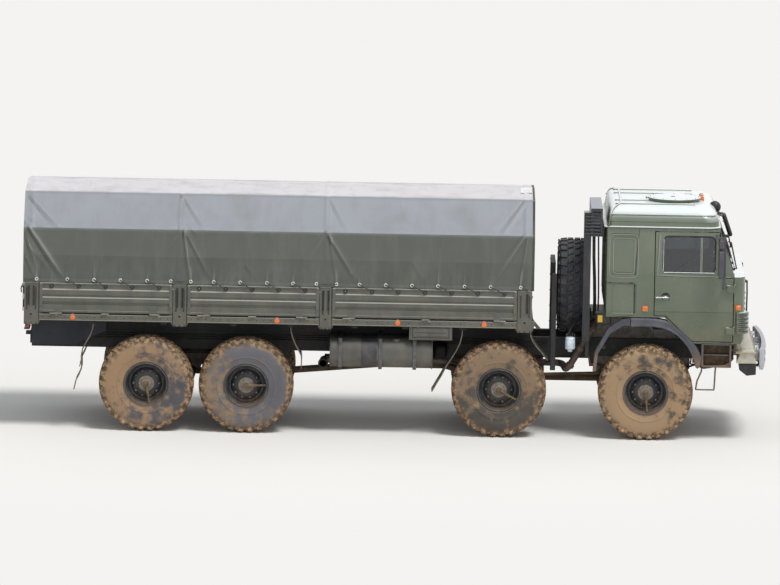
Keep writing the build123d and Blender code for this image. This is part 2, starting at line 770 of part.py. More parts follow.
def rim_solid(centre, axis):
    """Build a rim: flanged barrel, disc with hand holes, hub bored for the spindle and hub cap."""
    barrel_half = BEAD_WIDTH / 2 + SEAT_GAP
    with BuildPart() as rim:
        extrude(ring_sketch(wheel_plane(centre, axis, -RIM_WIDTH / 2), RIM_RADIUS), amount=RIM_WIDTH)
        flange_start = barrel_half + RIM_FLANGE_RISE
        for way in (-1, 1):
            flange = ring_sketch(wheel_plane(centre, axis * way, flange_start), RIM_FLANGE_RADIUS)
            extrude(flange, amount=RIM_WIDTH / 2 - flange_start)
        dish = ring_sketch(wheel_plane(centre, axis, -RIM_WIDTH / 2), RIM_RADIUS - RIM_WALL)
        extrude(dish, amount=RIM_WIDTH / 2 + RIM_DISC_OFFSET, mode=Mode.SUBTRACT)
        recess_start = RIM_DISC_OFFSET + RIM_DISC_THICKNESS
        recess = ring_sketch(wheel_plane(centre, axis, recess_start), RIM_RADIUS - RIM_WALL)
        extrude(recess, amount=RIM_WIDTH, mode=Mode.SUBTRACT)
        with BuildSketch(wheel_plane(centre, axis, RIM_DISC_OFFSET - HUB_BACK)) as hub:
            Circle(HUB_RADIUS)
        extrude(hub.sketch, amount=HUB_CAP_LENGTH + HUB_BACK)
        with BuildSketch(wheel_plane(centre, axis, -RIM_WIDTH)) as bore:
            Circle(SPINDLE_RADIUS + PIVOT_GAP)
        extrude(bore.sketch, amount=RIM_WIDTH + SPINDLE_REACH + SEAT_GAP, mode=Mode.SUBTRACT)
        with BuildSketch(wheel_plane(centre, axis, RIM_DISC_OFFSET)) as hand_holes:
            with PolarLocations(HAND_HOLE_CIRCLE, HAND_HOLES):
                RegularPolygon(HAND_HOLE_RADIUS, HAND_HOLES)
        extrude(hand_holes.sketch, amount=RIM_DISC_THICKNESS, mode=Mode.SUBTRACT)
    return rim


for number, axle in enumerate(AXLES):
    for side, sign in SIDES:
        wheel_centre = point(axle, sign * WHEEL_Y, TYRE_RADIUS)
        outward = Vector(0, sign, 0)
        save(tyre_solid(wheel_centre, outward), f"tyre_{number + 1}{side}")
        save(rim_solid(wheel_centre, outward), f"rim_{number + 1}{side}")

# Cab body as three crossed profiles, so that every wall follows the outside at an even thickness
CAB_SIDE_OUTLINE = (
    # X, Z round the side of the cab
    (CAB_REAR, CAB_BOTTOM_REAR), (CAB_ARCH_REAR, CAB_BOTTOM_REAR), (CAB_ARCH_FRONT, CAB_BOTTOM_FRONT),
    (CAB_FRONT - CAB_NOSE_CHAMFER, CAB_BOTTOM_FRONT), (CAB_FRONT, CAB_NOSE_BOTTOM), (CAB_FRONT, SCREEN_SILL),
    (SCREEN_FOOT, SCREEN_SILL), (GUTTER_FRONT, GUTTER_Z), (CAB_REAR, GUTTER_Z),
)
CAB_CROSS_OUTLINE = (
    (CAB_HALF_FOOT, CAB_BOTTOM_FRONT), (CAB_HALF_CREASE, CAB_CREASE_Z), (CAB_HALF_GUTTER, GUTTER_Z),
    (-CAB_HALF_GUTTER, GUTTER_Z), (-CAB_HALF_CREASE, CAB_CREASE_Z), (-CAB_HALF_FOOT, CAB_BOTTOM_FRONT),
)


def raise_top(outline, rise):
    """Lengthen an outline's walls upward past its top edge, each along its own slope."""
    top = max(height for across, height in outline)
    raised = []
    for index, (across, height) in enumerate(outline):
        if height == top:
            neighbours = (outline[index - 1], outline[(index + 1) % len(outline)])
            foot_across, foot_height = min(neighbours, key=lambda corner: corner[1])
            across += (across - foot_across) * rise / (height - foot_height)
            height += rise
        raised.append((across, height))
    return raised


def crossed_profiles(side_outline, cross_outline, inset, front_radius, open_top=0):
    """Cross a side, a front and a plan outline, each moved in by an inset, and raise the top edge."""
    top = max(z for x, z in side_outline)
    lifted_side = [(FRONT_AXLE_X + x, z) for x, z in raise_top(side_outline, open_top)]
    lifted_cross = raise_top(cross_outline, open_top)
    half = max(y for y, z in cross_outline)
    rear = min(x for x, z in side_outline)
    front = max(x for x, z in side_outline)
    with BuildPart(mode=Mode.PRIVATE) as volume:
        with BuildSketch(Plane.XZ.offset(-2 * half)) as side_sketch:
            with BuildLine():
                Polyline(*lifted_side, close=True)
            make_face()
            offset(amount=-inset, kind=Kind.INTERSECTION)
        extrude(side_sketch.sketch, amount=4 * half)
        with BuildSketch(Plane.YZ.offset(FRONT_AXLE_X + rear - half)) as cross_sketch:
            with BuildLine():
                Polyline(*lifted_cross, close=True)
            make_face()
            offset(amount=-inset, kind=Kind.INTERSECTION)
        extrude(cross_sketch.sketch, amount=front - rear + 2 * half, mode=Mode.INTERSECT)
        with BuildSketch(Plane.XY) as plan_sketch:
            with Locations((FRONT_AXLE_X + (front + rear) / 2, 0)):
                Rectangle(front - rear - 2 * inset, 2 * (half - inset))
            fillet(plan_sketch.vertices().group_by(Axis.X)[-1], front_radius - inset)
        extrude(plan_sketch.sketch, amount=2 * top, mode=Mode.INTERSECT)
    return volume.part


def cab_volume(inset, open_top=0):
    """Give the cab's outer form moved inward by an inset, or outward by a negative one."""
    return crossed_profiles(CAB_SIDE_OUTLINE, CAB_CROSS_OUTLINE, inset, CAB_FRONT_RADIUS, open_top)


def cab_skin(outer_inset, inner_inset):
    """Give the layer of the cab's walls between two insets."""
    return cab_volume(outer_inset) - cab_volume(inner_inset, open_top=inner_inset + CAB_WALL)


CAB_SKIN = cab_skin(0, CAB_WALL)
GLASS_SKIN = cab_skin(GLASS_INSET, GLASS_INSET + GLASS)
GROOVE_SKIN = cab_skin(0, RECESS_DEPTH)
DOOR_INNER_VOLUME = cab_volume(DOOR_FLANGE_DEPTH)


def rounded_side_prism(rear, front, bottom, top, radius, y_limits):
    """Give a rounded window-shaped prism across one side of the cab."""
    with BuildPart(mode=Mode.PRIVATE) as prism:
        with BuildSketch(Plane.XZ.offset(-max(y_limits))) as window:
            with Locations((FRONT_AXLE_X + (rear + front) / 2, (bottom + top) / 2)):
                RectangleRounded(front - rear, top - bottom, radius)
        extrude(window.sketch, amount=max(y_limits) - min(y_limits))
    return prism.part


def box_solid(x_limits, y_limits, z_limits):
    """Give a box between two limits on each axis as a loose solid."""
    with BuildPart(mode=Mode.PRIVATE) as loose:
        block(x_limits, y_limits, z_limits)
    return loose.part


def door_outline(growth):
    """Give the outline of a door, moved outward by a growth, as X and Z points."""
    slant = growth / 2
    return (
        (DOOR_REAR - growth, DOOR_BOTTOM_REAR - growth), (DOOR_ARCH_REAR - slant, DOOR_BOTTOM_REAR - growth),
        (DOOR_ARCH_FRONT - slant, DOOR_BOTTOM - growth), (DOOR_FRONT + growth, DOOR_BOTTOM - growth),
        (DOOR_FRONT + growth, DOOR_SHOULDER + growth), (DOOR_FRAME_FRONT + growth, DOOR_SHOULDER + growth),
        (DOOR_FRAME_FRONT + growth, DOOR_TOP + growth), (DOOR_REAR - growth, DOOR_TOP + growth),
    )


def door_prism(growth, sign):
    """Give the prism of one door's outline through the side wall."""
    with BuildPart(mode=Mode.PRIVATE) as prism:
        side_plate(
            door_outline(growth),
            side_range(sign, CAB_HALF_GUTTER - 2 * CAB_WALL, 2 * CAB_HALF_CREASE),
        )
    return prism.part


def screen_prism(shrink):
    """Give the prism of the windscreen's opening, seen from the front."""
    with BuildPart(mode=Mode.PRIVATE) as prism:
        with BuildSketch(Plane.YZ.offset(FRONT_AXLE_X + GUTTER_FRONT - 2 * CAB_WALL)) as screen:
            with Locations((0, (SCREEN_BOTTOM + SCREEN_TOP) / 2)):
                RectangleRounded(
                    2 * (SCREEN_HALF - shrink), SCREEN_TOP - SCREEN_BOTTOM - 2 * shrink,
                    WINDOW_RADIUS - shrink,
                )
        extrude(screen.sketch, amount=CAB_FRONT - GUTTER_FRONT)
    return prism.part


def service_prism(growth):
    """Give the prism of the front service lid."""
    return box_solid(
        (SCREEN_FOOT, 2 * CAB_FRONT),
        (-SERVICE_HALF - growth, SERVICE_HALF + growth), (SERVICE_BOTTOM - growth, SERVICE_TOP + growth),
    )


# Cab shell: hollow body with floor, door openings, windscreen opening, service opening and tilt lugs
with BuildPart() as cab_shell:
    add(CAB_SKIN)
    for side, sign in SIDES:
        add(door_prism(DOOR_GAP, sign), mode=Mode.SUBTRACT)
        for rear, front, bottom, top in SIDE_RECESSES:
            recess = rounded_side_prism(
                rear, front, bottom, top, WINDOW_RADIUS / 2,
                side_range(sign, CAB_HALF_GUTTER / 2, 2 * CAB_HALF_CREASE),
            )
            add(recess & GROOVE_SKIN, mode=Mode.SUBTRACT)
        deflector_box = box_solid(
            (DEFLECTOR_REAR, 2 * CAB_FRONT), side_range(sign, DEFLECTOR_INNER_Y, DEFLECTOR_OUTER_Y),
            (DEFLECTOR_BOTTOM, DEFLECTOR_TOP),
        )
        add(cab_skin(-DEFLECTOR_BULGE, CAB_WALL / 2) & deflector_box)
        pitch = (DEFLECTOR_TOP - DEFLECTOR_BOTTOM) / DEFLECTOR_RIBS
        for rib in range(1, DEFLECTOR_RIBS):
            level = DEFLECTOR_BOTTOM + rib * pitch
            groove_box = box_solid(
                (DEFLECTOR_REAR - 1, 2 * CAB_FRONT),
                side_range(sign, DEFLECTOR_INNER_Y, 2 * DEFLECTOR_OUTER_Y),
                (level - DEFLECTOR_GROOVE / 2, level + DEFLECTOR_GROOVE / 2),
            )
            groove_depth = DEFLECTOR_BULGE - DEFLECTOR_GROOVE_DEPTH
            add(cab_skin(-2 * DEFLECTOR_BULGE, -groove_depth) & groove_box, mode=Mode.SUBTRACT)
        lug_inner = RAIL_OUTER_Y + SEAT_GAP
        side_plate(
            (
                (TILT_X - TILT_LUG_FOOT / 2, TILT_Z - TILT_LUG_FOOT / 2),
                (TILT_X + TILT_LUG_FOOT / 2, TILT_Z + TILT_LUG_FOOT / 4),
                (TILT_X - TILT_LUG_FOOT / 2, CAB_BOTTOM_FRONT + CAB_WALL / 2),
                (TILT_X - 2 * TILT_LUG_FOOT, CAB_BOTTOM_FRONT + CAB_WALL / 2),
            ),
            side_range(sign, lug_inner, lug_inner + TILT_LUG),
        )
        rod(
            (TILT_X, sign * lug_inner, TILT_Z), (TILT_X, sign * (lug_inner + TILT_LUG), TILT_Z),
            TILT_EYE_RADIUS,
        )
        rod(
            (TILT_X, sign * CAB_WALL, TILT_Z), (TILT_X, sign * 2 * RAIL_OUTER_Y, TILT_Z),
            TILT_PIN_RADIUS + PIVOT_GAP, mode=Mode.SUBTRACT,
        )
        for height in DOOR_HINGE_HEIGHTS:
            for way in (-1, 1):
                near = height + way * (HINGE_LENGTH / 2 + PIVOT_GAP)
                block(
                    (DOOR_HINGE_X - HINGE_LEAF / 2, DOOR_HINGE_X + 2 * HINGE_LEAF),
                    side_range(sign, CAB_HALF_CREASE - CAB_WALL, DOOR_HINGE_Y),
                    (near, near + way * HINGE_BARREL),
                )
                rod(
                    (DOOR_HINGE_X, sign * DOOR_HINGE_Y, near),
                    (DOOR_HINGE_X, sign * DOOR_HINGE_Y, near + way * HINGE_BARREL), HINGE_BARREL,
                )
    add(screen_prism(0), mode=Mode.SUBTRACT)
    add(service_prism(SERVICE_GAP), mode=Mode.SUBTRACT)
    for way in (-1, 1):
        near = way * (SERVICE_HALF / 2 + SERVICE_HINGE_LENGTH / 2 + PIVOT_GAP)
        hinge_x = CAB_FRONT + SERVICE_HINGE_REACH
        rod(
            (hinge_x, near, SERVICE_HINGE_Z), (hinge_x, near + way * 2 * HINGE_BARREL, SERVICE_HINGE_Z),
            HINGE_BARREL,
        )
        block(
            (CAB_FRONT - CAB_WALL / 2, hinge_x), (near, near + way * 2 * HINGE_BARREL),
            (SERVICE_HINGE_Z, SERVICE_HINGE_Z + HINGE_BARREL),
        )
save(cab_shell, "cab_shell")

# Doors, their glass and the mirrors they carry
for side, sign in SIDES:
    window = rounded_side_prism(
        WINDOW_REAR, WINDOW_FRONT, WINDOW_BOTTOM, WINDOW_TOP, WINDOW_RADIUS,
        side_range(sign, CAB_HALF_GUTTER / 2, 2 * CAB_HALF_CREASE),
    )
    pane = rounded_side_prism(
        WINDOW_REAR + SEAT_GAP, WINDOW_FRONT - SEAT_GAP, WINDOW_BOTTOM + SEAT_GAP, WINDOW_TOP - SEAT_GAP,
        WINDOW_RADIUS - SEAT_GAP, side_range(sign, CAB_HALF_GUTTER / 2, 2 * CAB_HALF_CREASE),
    )
    with BuildPart() as door:
        add(CAB_SKIN & door_prism(0, sign))
        add(DOOR_INNER_VOLUME & (door_prism(0, sign) - door_prism(-DOOR_FLANGE, sign)), mode=Mode.SUBTRACT)
        add(window, mode=Mode.SUBTRACT)
        for height in DOOR_HINGE_HEIGHTS:
            barrel_low = (DOOR_HINGE_X, sign * DOOR_HINGE_Y, height - HINGE_LENGTH / 2)
            barrel_high = (DOOR_HINGE_X, sign * DOOR_HINGE_Y, height + HINGE_LENGTH / 2)
            rod(barrel_low, barrel_high, HINGE_BARREL)
            block(
                (DOOR_FRONT - 2 * CAB_WALL, DOOR_HINGE_X),
                side_range(sign, DOOR_HINGE_Y - HINGE_LEAF, DOOR_HINGE_Y + HINGE_LEAF),
                (height - HINGE_LENGTH / 2, height + HINGE_LENGTH / 2),
            )
            block(
                (DOOR_FRONT - 2 * CAB_WALL, DOOR_FRONT - CAB_WALL),
                side_range(sign, CAB_HALF_CREASE - CAB_WALL, DOOR_HINGE_Y),
                (height - HINGE_LENGTH / 2, height + HINGE_LENGTH / 2),
            )
    save(door, f"door_{side}")
    with BuildPart() as door_glass:
        add(GLASS_SKIN & pane)
    save(door_glass, f"door_glass_{side}")
    with BuildPart() as mirrors:
        arm_x = (MIRROR_ARM_X - MIRROR_ARM_RADIUS, MIRROR_ARM_X + MIRROR_ARM_RADIUS)
        arm_y = side_range(sign, CAB_HALF_GUTTER, MIRROR_Y + MIRROR_ARM_RADIUS)
        block(arm_x, arm_y, (MIRROR_ARM_FOOT_Z - MIRROR_ARM_RADIUS, MIRROR_ARM_FOOT_Z + MIRROR_ARM_RADIUS))
        block(
            arm_x, side_range(sign, MIRROR_Y - MIRROR_ARM_RADIUS, MIRROR_Y + MIRROR_ARM_RADIUS),
            (MIRROR_ARM_FOOT_Z - MIRROR_ARM_RADIUS, MIRROR_ARM_TOP_Z),
        )
        top_z = (MIRROR_ARM_TOP_Z - 2 * MIRROR_ARM_RADIUS, MIRROR_ARM_TOP_Z)
        block(
            (MIRROR_ARM_END, arm_x[1]),
            side_range(sign, MIRROR_Y - MIRROR_ARM_RADIUS, MIRROR_Y + MIRROR_ARM_RADIUS), top_z,
        )
        block(
            (MIRROR_ARM_END, MIRROR_ARM_END + 2 * MIRROR_ARM_RADIUS),
            side_range(sign, CAB_HALF_GUTTER - CAB_WALL, MIRROR_Y), top_z,
        )
        for rear, front, half_width, bottom, top in MIRROR_HEADS:
            with BuildSketch(Plane.YZ.offset(FRONT_AXLE_X + rear)) as head:
                with Locations((sign * MIRROR_Y, (bottom + top) / 2)):
                    RectangleRounded(2 * half_width, top - bottom, MIRROR_CORNER)
            extrude(head.sketch, amount=front - rear)
            block(
                (front, MIRROR_ARM_X),
                side_range(sign, MIRROR_Y - MIRROR_ARM_RADIUS, MIRROR_Y + MIRROR_ARM_RADIUS),
                ((bottom + top) / 2 - MIRROR_ARM_RADIUS, (bottom + top) / 2 + MIRROR_ARM_RADIUS),
            )
        add(cab_volume(-SEAT_GAP, open_top=CAB_WALL), mode=Mode.SUBTRACT)
    save(mirrors, f"mirrors_{side}")

with BuildPart() as windscreen:
    add(GLASS_SKIN & screen_prism(SEAT_GAP))
save(windscreen, "windscreen")

# Front service lid with its ventilation slots
with BuildPart() as service_lid:
    add(CAB_SKIN & service_prism(0))
    for slot in range(GRILLE_SLOTS):
        level = GRILLE_BOTTOM + slot * GRILLE_PITCH
        block(
            (CAB_FRONT - CAB_WALL / 2, CAB_FRONT + 1), (-GRILLE_HALF, GRILLE_HALF),
            (level, level + GRILLE_SLOT_HEIGHT), mode=Mode.SUBTRACT,
        )
    hinge_x = CAB_FRONT + SERVICE_HINGE_REACH
    for way in (-1, 1):
        middle = way * SERVICE_HALF / 2
        limits = (middle - SERVICE_HINGE_LENGTH / 2, middle + SERVICE_HINGE_LENGTH / 2)
        rod((hinge_x, limits[0], SERVICE_HINGE_Z), (hinge_x, limits[1], SERVICE_HINGE_Z), HINGE_BARREL)
        block(
            (CAB_FRONT, hinge_x + HINGE_BARREL / 2), limits,
            (SERVICE_TOP - CAB_WALL, SERVICE_HINGE_Z),
        )
save(service_lid, "service_lid")

# Roof: domed shell with a drip lip, pressed ribs, a collar for the hatch and the front-view mirror
ROOF_SIDE_OUTLINE = (
    (CAB_REAR - ROOF_REAR_LIP / 2, GUTTER_Z), (GUTTER_FRONT + ROOF_FRONT_LIP / 2, GUTTER_Z),
    (ROOF_NOSE_X + ROOF_FRONT_LIP, ROOF_NOSE_Z), (ROOF_NOSE_X - ROOF_SHOULDER_HALF / 10, ROOF_CROWN),
    (ROOF_TAIL_X, ROOF_CROWN), (CAB_REAR - ROOF_REAR_LIP / 2, ROOF_SHOULDER_Z),
)
ROOF_CROSS_OUTLINE = (
    (CAB_HALF_GUTTER, GUTTER_Z), (ROOF_SHOULDER_HALF, ROOF_SHOULDER_Z), (ROOF_CROWN_HALF, ROOF_CROWN),
    (-ROOF_CROWN_HALF, ROOF_CROWN), (-ROOF_SHOULDER_HALF, ROOF_SHOULDER_Z), (-CAB_HALF_GUTTER, GUTTER_Z),
)


def roof_volume(inset):
    """Give the roof's outer form moved inward by an inset."""
    return crossed_profiles(ROOF_SIDE_OUTLINE, ROOF_CROSS_OUTLINE, inset, CAB_FRONT_RADIUS)


with BuildPart() as cab_roof:
    add(roof_volume(0))
    with BuildSketch(Plane.XY.offset(GUTTER_Z + SEAT_GAP)) as lip:
        with Locations((FRONT_AXLE_X + (GUTTER_FRONT + ROOF_FRONT_LIP + CAB_REAR - ROOF_REAR_LIP) / 2, 0)):
            Rectangle(
                GUTTER_FRONT + ROOF_FRONT_LIP - CAB_REAR + ROOF_REAR_LIP,
                2 * (CAB_HALF_GUTTER + ROOF_SIDE_LIP),
            )
        fillet(lip.vertices().group_by(Axis.X)[-1], CAB_FRONT_RADIUS)
    extrude(lip.sketch, amount=ROOF_LIP_HEIGHT)
    for y in ROOF_RIBS:
        block(
            (ROOF_TAIL_X + ROOF_RIB_WIDTH, ROOF_NOSE_X - 3 * ROOF_RIB_WIDTH),
            (y - ROOF_RIB_WIDTH / 2, y + ROOF_RIB_WIDTH / 2),
            (ROOF_CROWN - ROOF_RIB_HEIGHT, ROOF_CROWN + ROOF_RIB_HEIGHT),
        )
    rod(
        (HATCH_X, HATCH_Y, ROOF_CROWN - ROOF_WALL / 2), (HATCH_X, HATCH_Y, ROOF_CROWN + HATCH_COLLAR_HEIGHT),
        HATCH_RADIUS,
    )
    add(roof_volume(ROOF_WALL), mode=Mode.SUBTRACT)
    block(
        (CAB_REAR + CAB_WALL, GUTTER_FRONT - CAB_WALL),
        (CAB_WALL - CAB_HALF_GUTTER, CAB_HALF_GUTTER - CAB_WALL),
        (GUTTER_Z - ROOF_WALL, GUTTER_Z + 2 * ROOF_WALL), mode=Mode.SUBTRACT,
    )
    block(
        (2 * CAB_REAR, 2 * CAB_FRONT), (-2 * CAB_HALF_GUTTER, 2 * CAB_HALF_GUTTER),
        (GUTTER_Z - CAB_WALL, GUTTER_Z + SEAT_GAP), mode=Mode.SUBTRACT,
    )
    rod(
        (HATCH_X, HATCH_Y, GUTTER_Z), (HATCH_X, HATCH_Y, 2 * ROOF_CROWN), HATCH_RADIUS - HATCH_COLLAR,
        mode=Mode.SUBTRACT,
    )
    arm = MIRROR_ARM_RADIUS / 2
    arm_y = (VIEW_MIRROR_Y - arm, VIEW_MIRROR_Y + arm)
    block((VIEW_MIRROR_X - arm, VIEW_MIRROR_X + arm), arm_y, (VIEW_MIRROR_BOTTOM, VIEW_MIRROR_ARM_TOP))
    block(
        (VIEW_MIRROR_ARM_END, VIEW_MIRROR_X + arm), arm_y,
        (VIEW_MIRROR_ARM_TOP - 2 * arm, VIEW_MIRROR_ARM_TOP),
    )
    with BuildSketch(Plane.YZ.offset(FRONT_AXLE_X + VIEW_MIRROR_X - VIEW_MIRROR_DEPTH / 2)) as mirror_head:
        with Locations((VIEW_MIRROR_Y, (VIEW_MIRROR_BOTTOM + VIEW_MIRROR_TOP) / 2)):
            RectangleRounded(2 * VIEW_MIRROR_HALF, VIEW_MIRROR_TOP - VIEW_MIRROR_BOTTOM, MIRROR_CORNER)
    extrude(mirror_head.sketch, amount=VIEW_MIRROR_DEPTH)
save(cab_roof, "cab_roof")

# Round hatch lid, hinged at the rear of its collar
HATCH_SEAT_Z = ROOF_CROWN + HATCH_COLLAR_HEIGHT + SEAT_GAP
HATCH_HINGE_X = HATCH_X - HATCH_RADIUS - HATCH_HINGE_REACH
HATCH_HINGE_Z = HATCH_SEAT_Z + HINGE_BARREL
with BuildPart() as hatch_lid:
    rod(
        (HATCH_X, HATCH_Y, HATCH_SEAT_Z), (HATCH_X, HATCH_Y, HATCH_SEAT_Z + HATCH_LID),
        HATCH_RADIUS + HATCH_COLLAR / 2,
    )
    fillet(hatch_lid.edges().sort_by(Axis.Z)[-1], HATCH_LID / 2)
    half_barrel = HINGE_LENGTH / 2
    rod(
        (HATCH_HINGE_X, HATCH_Y - half_barrel, HATCH_HINGE_Z),
        (HATCH_HINGE_X, HATCH_Y + half_barrel, HATCH_HINGE_Z),
        HINGE_BARREL,
    )
    block(
        (HATCH_HINGE_X, HATCH_X - HATCH_RADIUS / 2), (HATCH_Y - half_barrel, HATCH_Y + half_barrel),
        (HATCH_HINGE_Z - HINGE_LEAF / 2, HATCH_HINGE_Z + HINGE_LEAF / 2),
    )
save(hatch_lid, "hatch_lid")

# Seats, dash panel and steering wheel on the cab floor
FLOOR_LOW = CAB_BOTTOM_FRONT + CAB_WALL + SEAT_GAP
FLOOR_HIGH = CAB_BOTTOM_REAR + CAB_WALL + SEAT_GAP
with BuildPart() as cab_interior:
    for y in SEAT_YS:
        block((SEAT_REAR, SEAT_FRONT), (y - SEAT_HALF / 2, y + SEAT_HALF / 2), (FLOOR_HIGH, SEAT_HEIGHT))
        side_plate(
            (
                (SEAT_REAR, SEAT_HEIGHT), (SEAT_FRONT, SEAT_HEIGHT), (SEAT_FRONT, SEAT_HEIGHT + SEAT_CUSHION),
                (SEAT_REAR + SEAT_CUSHION, SEAT_HEIGHT + SEAT_CUSHION), (SEAT_REAR, SEAT_BACK_TOP),
                (SEAT_REAR - SEAT_CUSHION, SEAT_BACK_TOP),
            ),
            (y - SEAT_HALF, y + SEAT_HALF),
        )
    side_plate(
        (
            (DASH_REAR, DASH_BOTTOM), (DASH_FRONT, DASH_BOTTOM), (DASH_FRONT, DASH_TOP),
            (DASH_REAR + DASH_SLOPE, DASH_TOP), (DASH_REAR, DASH_TOP - DASH_SLOPE),
        ),
        (-DASH_HALF, DASH_HALF),
    )
    block((DASH_FRONT - DASH_SLOPE, DASH_FRONT), (-DASH_LEG, DASH_LEG), (FLOOR_LOW, DASH_BOTTOM))
    wheel_middle = point(STEERING_X, SEAT_YS[1], STEERING_Z)
    wheel_tilt = Vector(-cos(radians(STEERING_TILT)), 0, sin(radians(STEERING_TILT)))
    with Locations(Plane(origin=wheel_middle, z_dir=wheel_tilt)):
        Torus(STEERING_RADIUS, STEERING_GRIP)
        Box(2 * STEERING_RADIUS, 2 * STEERING_GRIP, STEERING_GRIP)
    rod(
        (STEERING_X, SEAT_YS[1], STEERING_Z),
        (STEERING_X + STEERING_COLUMN * cos(radians(STEERING_TILT)), SEAT_YS[1],
         STEERING_Z - STEERING_COLUMN * sin(radians(STEERING_TILT))),
        STEERING_GRIP,
    )
save(cab_interior, "cab_interior")

# Front wings with their step boxes and hanging steps, tilting with the cab
with BuildPart() as cab_wings:
    for side, sign in SIDES:
        top = CAB_BOTTOM_FRONT - SEAT_GAP
        side_plate(
            FRONT_WING_UNDERSIDE + (
                (WING_SPLIT, CAB_BOTTOM_REAR - SEAT_GAP),
                (CAB_ARCH_REAR - SEAT_GAP, CAB_BOTTOM_REAR - SEAT_GAP),
                (CAB_ARCH_FRONT - SEAT_GAP, top), (STEP_REAR, top),
            ),
            side_range(sign, WING_INNER_Y, WING_OUTER_Y),
        )
        block((STEP_REAR, STEP_FRONT), side_range(sign, STEP_INNER_Y, STEP_OUTER_Y), (STEP_BOTTOM, top))
        for level, height in STEP_TREADS:
            block(
                (STEP_REAR + STEP_TREAD_MARGIN, STEP_FRONT - STEP_TREAD_MARGIN),
                side_range(sign, STEP_OUTER_Y - STEP_TREAD_DEPTH, 2 * STEP_OUTER_Y),
                (level, level + height), mode=Mode.SUBTRACT,
            )
        for x in HANGING_STEP_XS:
            block(
                (x, x + HANGING_STEP_WIDTH), side_range(sign, HANGING_STEP_INNER_Y, HANGING_STEP_OUTER_Y),
                (HANGING_STEP_BOTTOM, STEP_BOTTOM),
            )
        block(
            (HANGING_STEP_XS[0], HANGING_STEP_XS[1] + HANGING_STEP_WIDTH),
            side_range(sign, HANGING_STEP_INNER_Y, HANGING_STEP_OUTER_Y),
            (HANGING_STEP_BOTTOM, HANGING_STEP_BOTTOM + HANGING_STEP_TREAD),
        )
save(cab_wings, "cab_wings")


def skin_pad(outer_inset, x_limits, y_limits, z_limits):
    """Give a pad that lies on the cab's skin within a box, as thick as its negative inset."""
    return cab_skin(outer_inset, -SEAT_GAP) & box_solid(x_limits, y_limits, z_limits)


# Cab lamps: roof markers, corner and pillar lamps
ROOF_LAMP_SEAT = ROOF_CROWN + SEAT_GAP
with BuildPart() as cab_lamps:
    for y in ROOF_LAMPS_Y:
        block(
            (ROOF_LAMP_X - 2 * ROOF_LAMP_HALF, ROOF_LAMP_X - ROOF_LAMP_HALF),
            (y - ROOF_LAMP_HALF, y + ROOF_LAMP_HALF),
            (ROOF_LAMP_SEAT - ROOF_LAMP_SINK, ROOF_LAMP_SEAT + ROOF_LAMP_HEIGHT),
        )
    for side, sign in SIDES:
        for x, z in CAB_SIDE_LAMPS:
            add(skin_pad(
                -CAB_LAMP_DEPTH, (x - CAB_LAMP_HALF, x + CAB_LAMP_HALF),
                side_range(sign, CAB_HALF_GUTTER, 2 * CAB_HALF_CREASE),
                (z - CAB_LAMP_HALF, z + CAB_LAMP_HALF),
            ))
    add(roof_volume(0), mode=Mode.SUBTRACT)
save(cab_lamps, "cab_lamps")

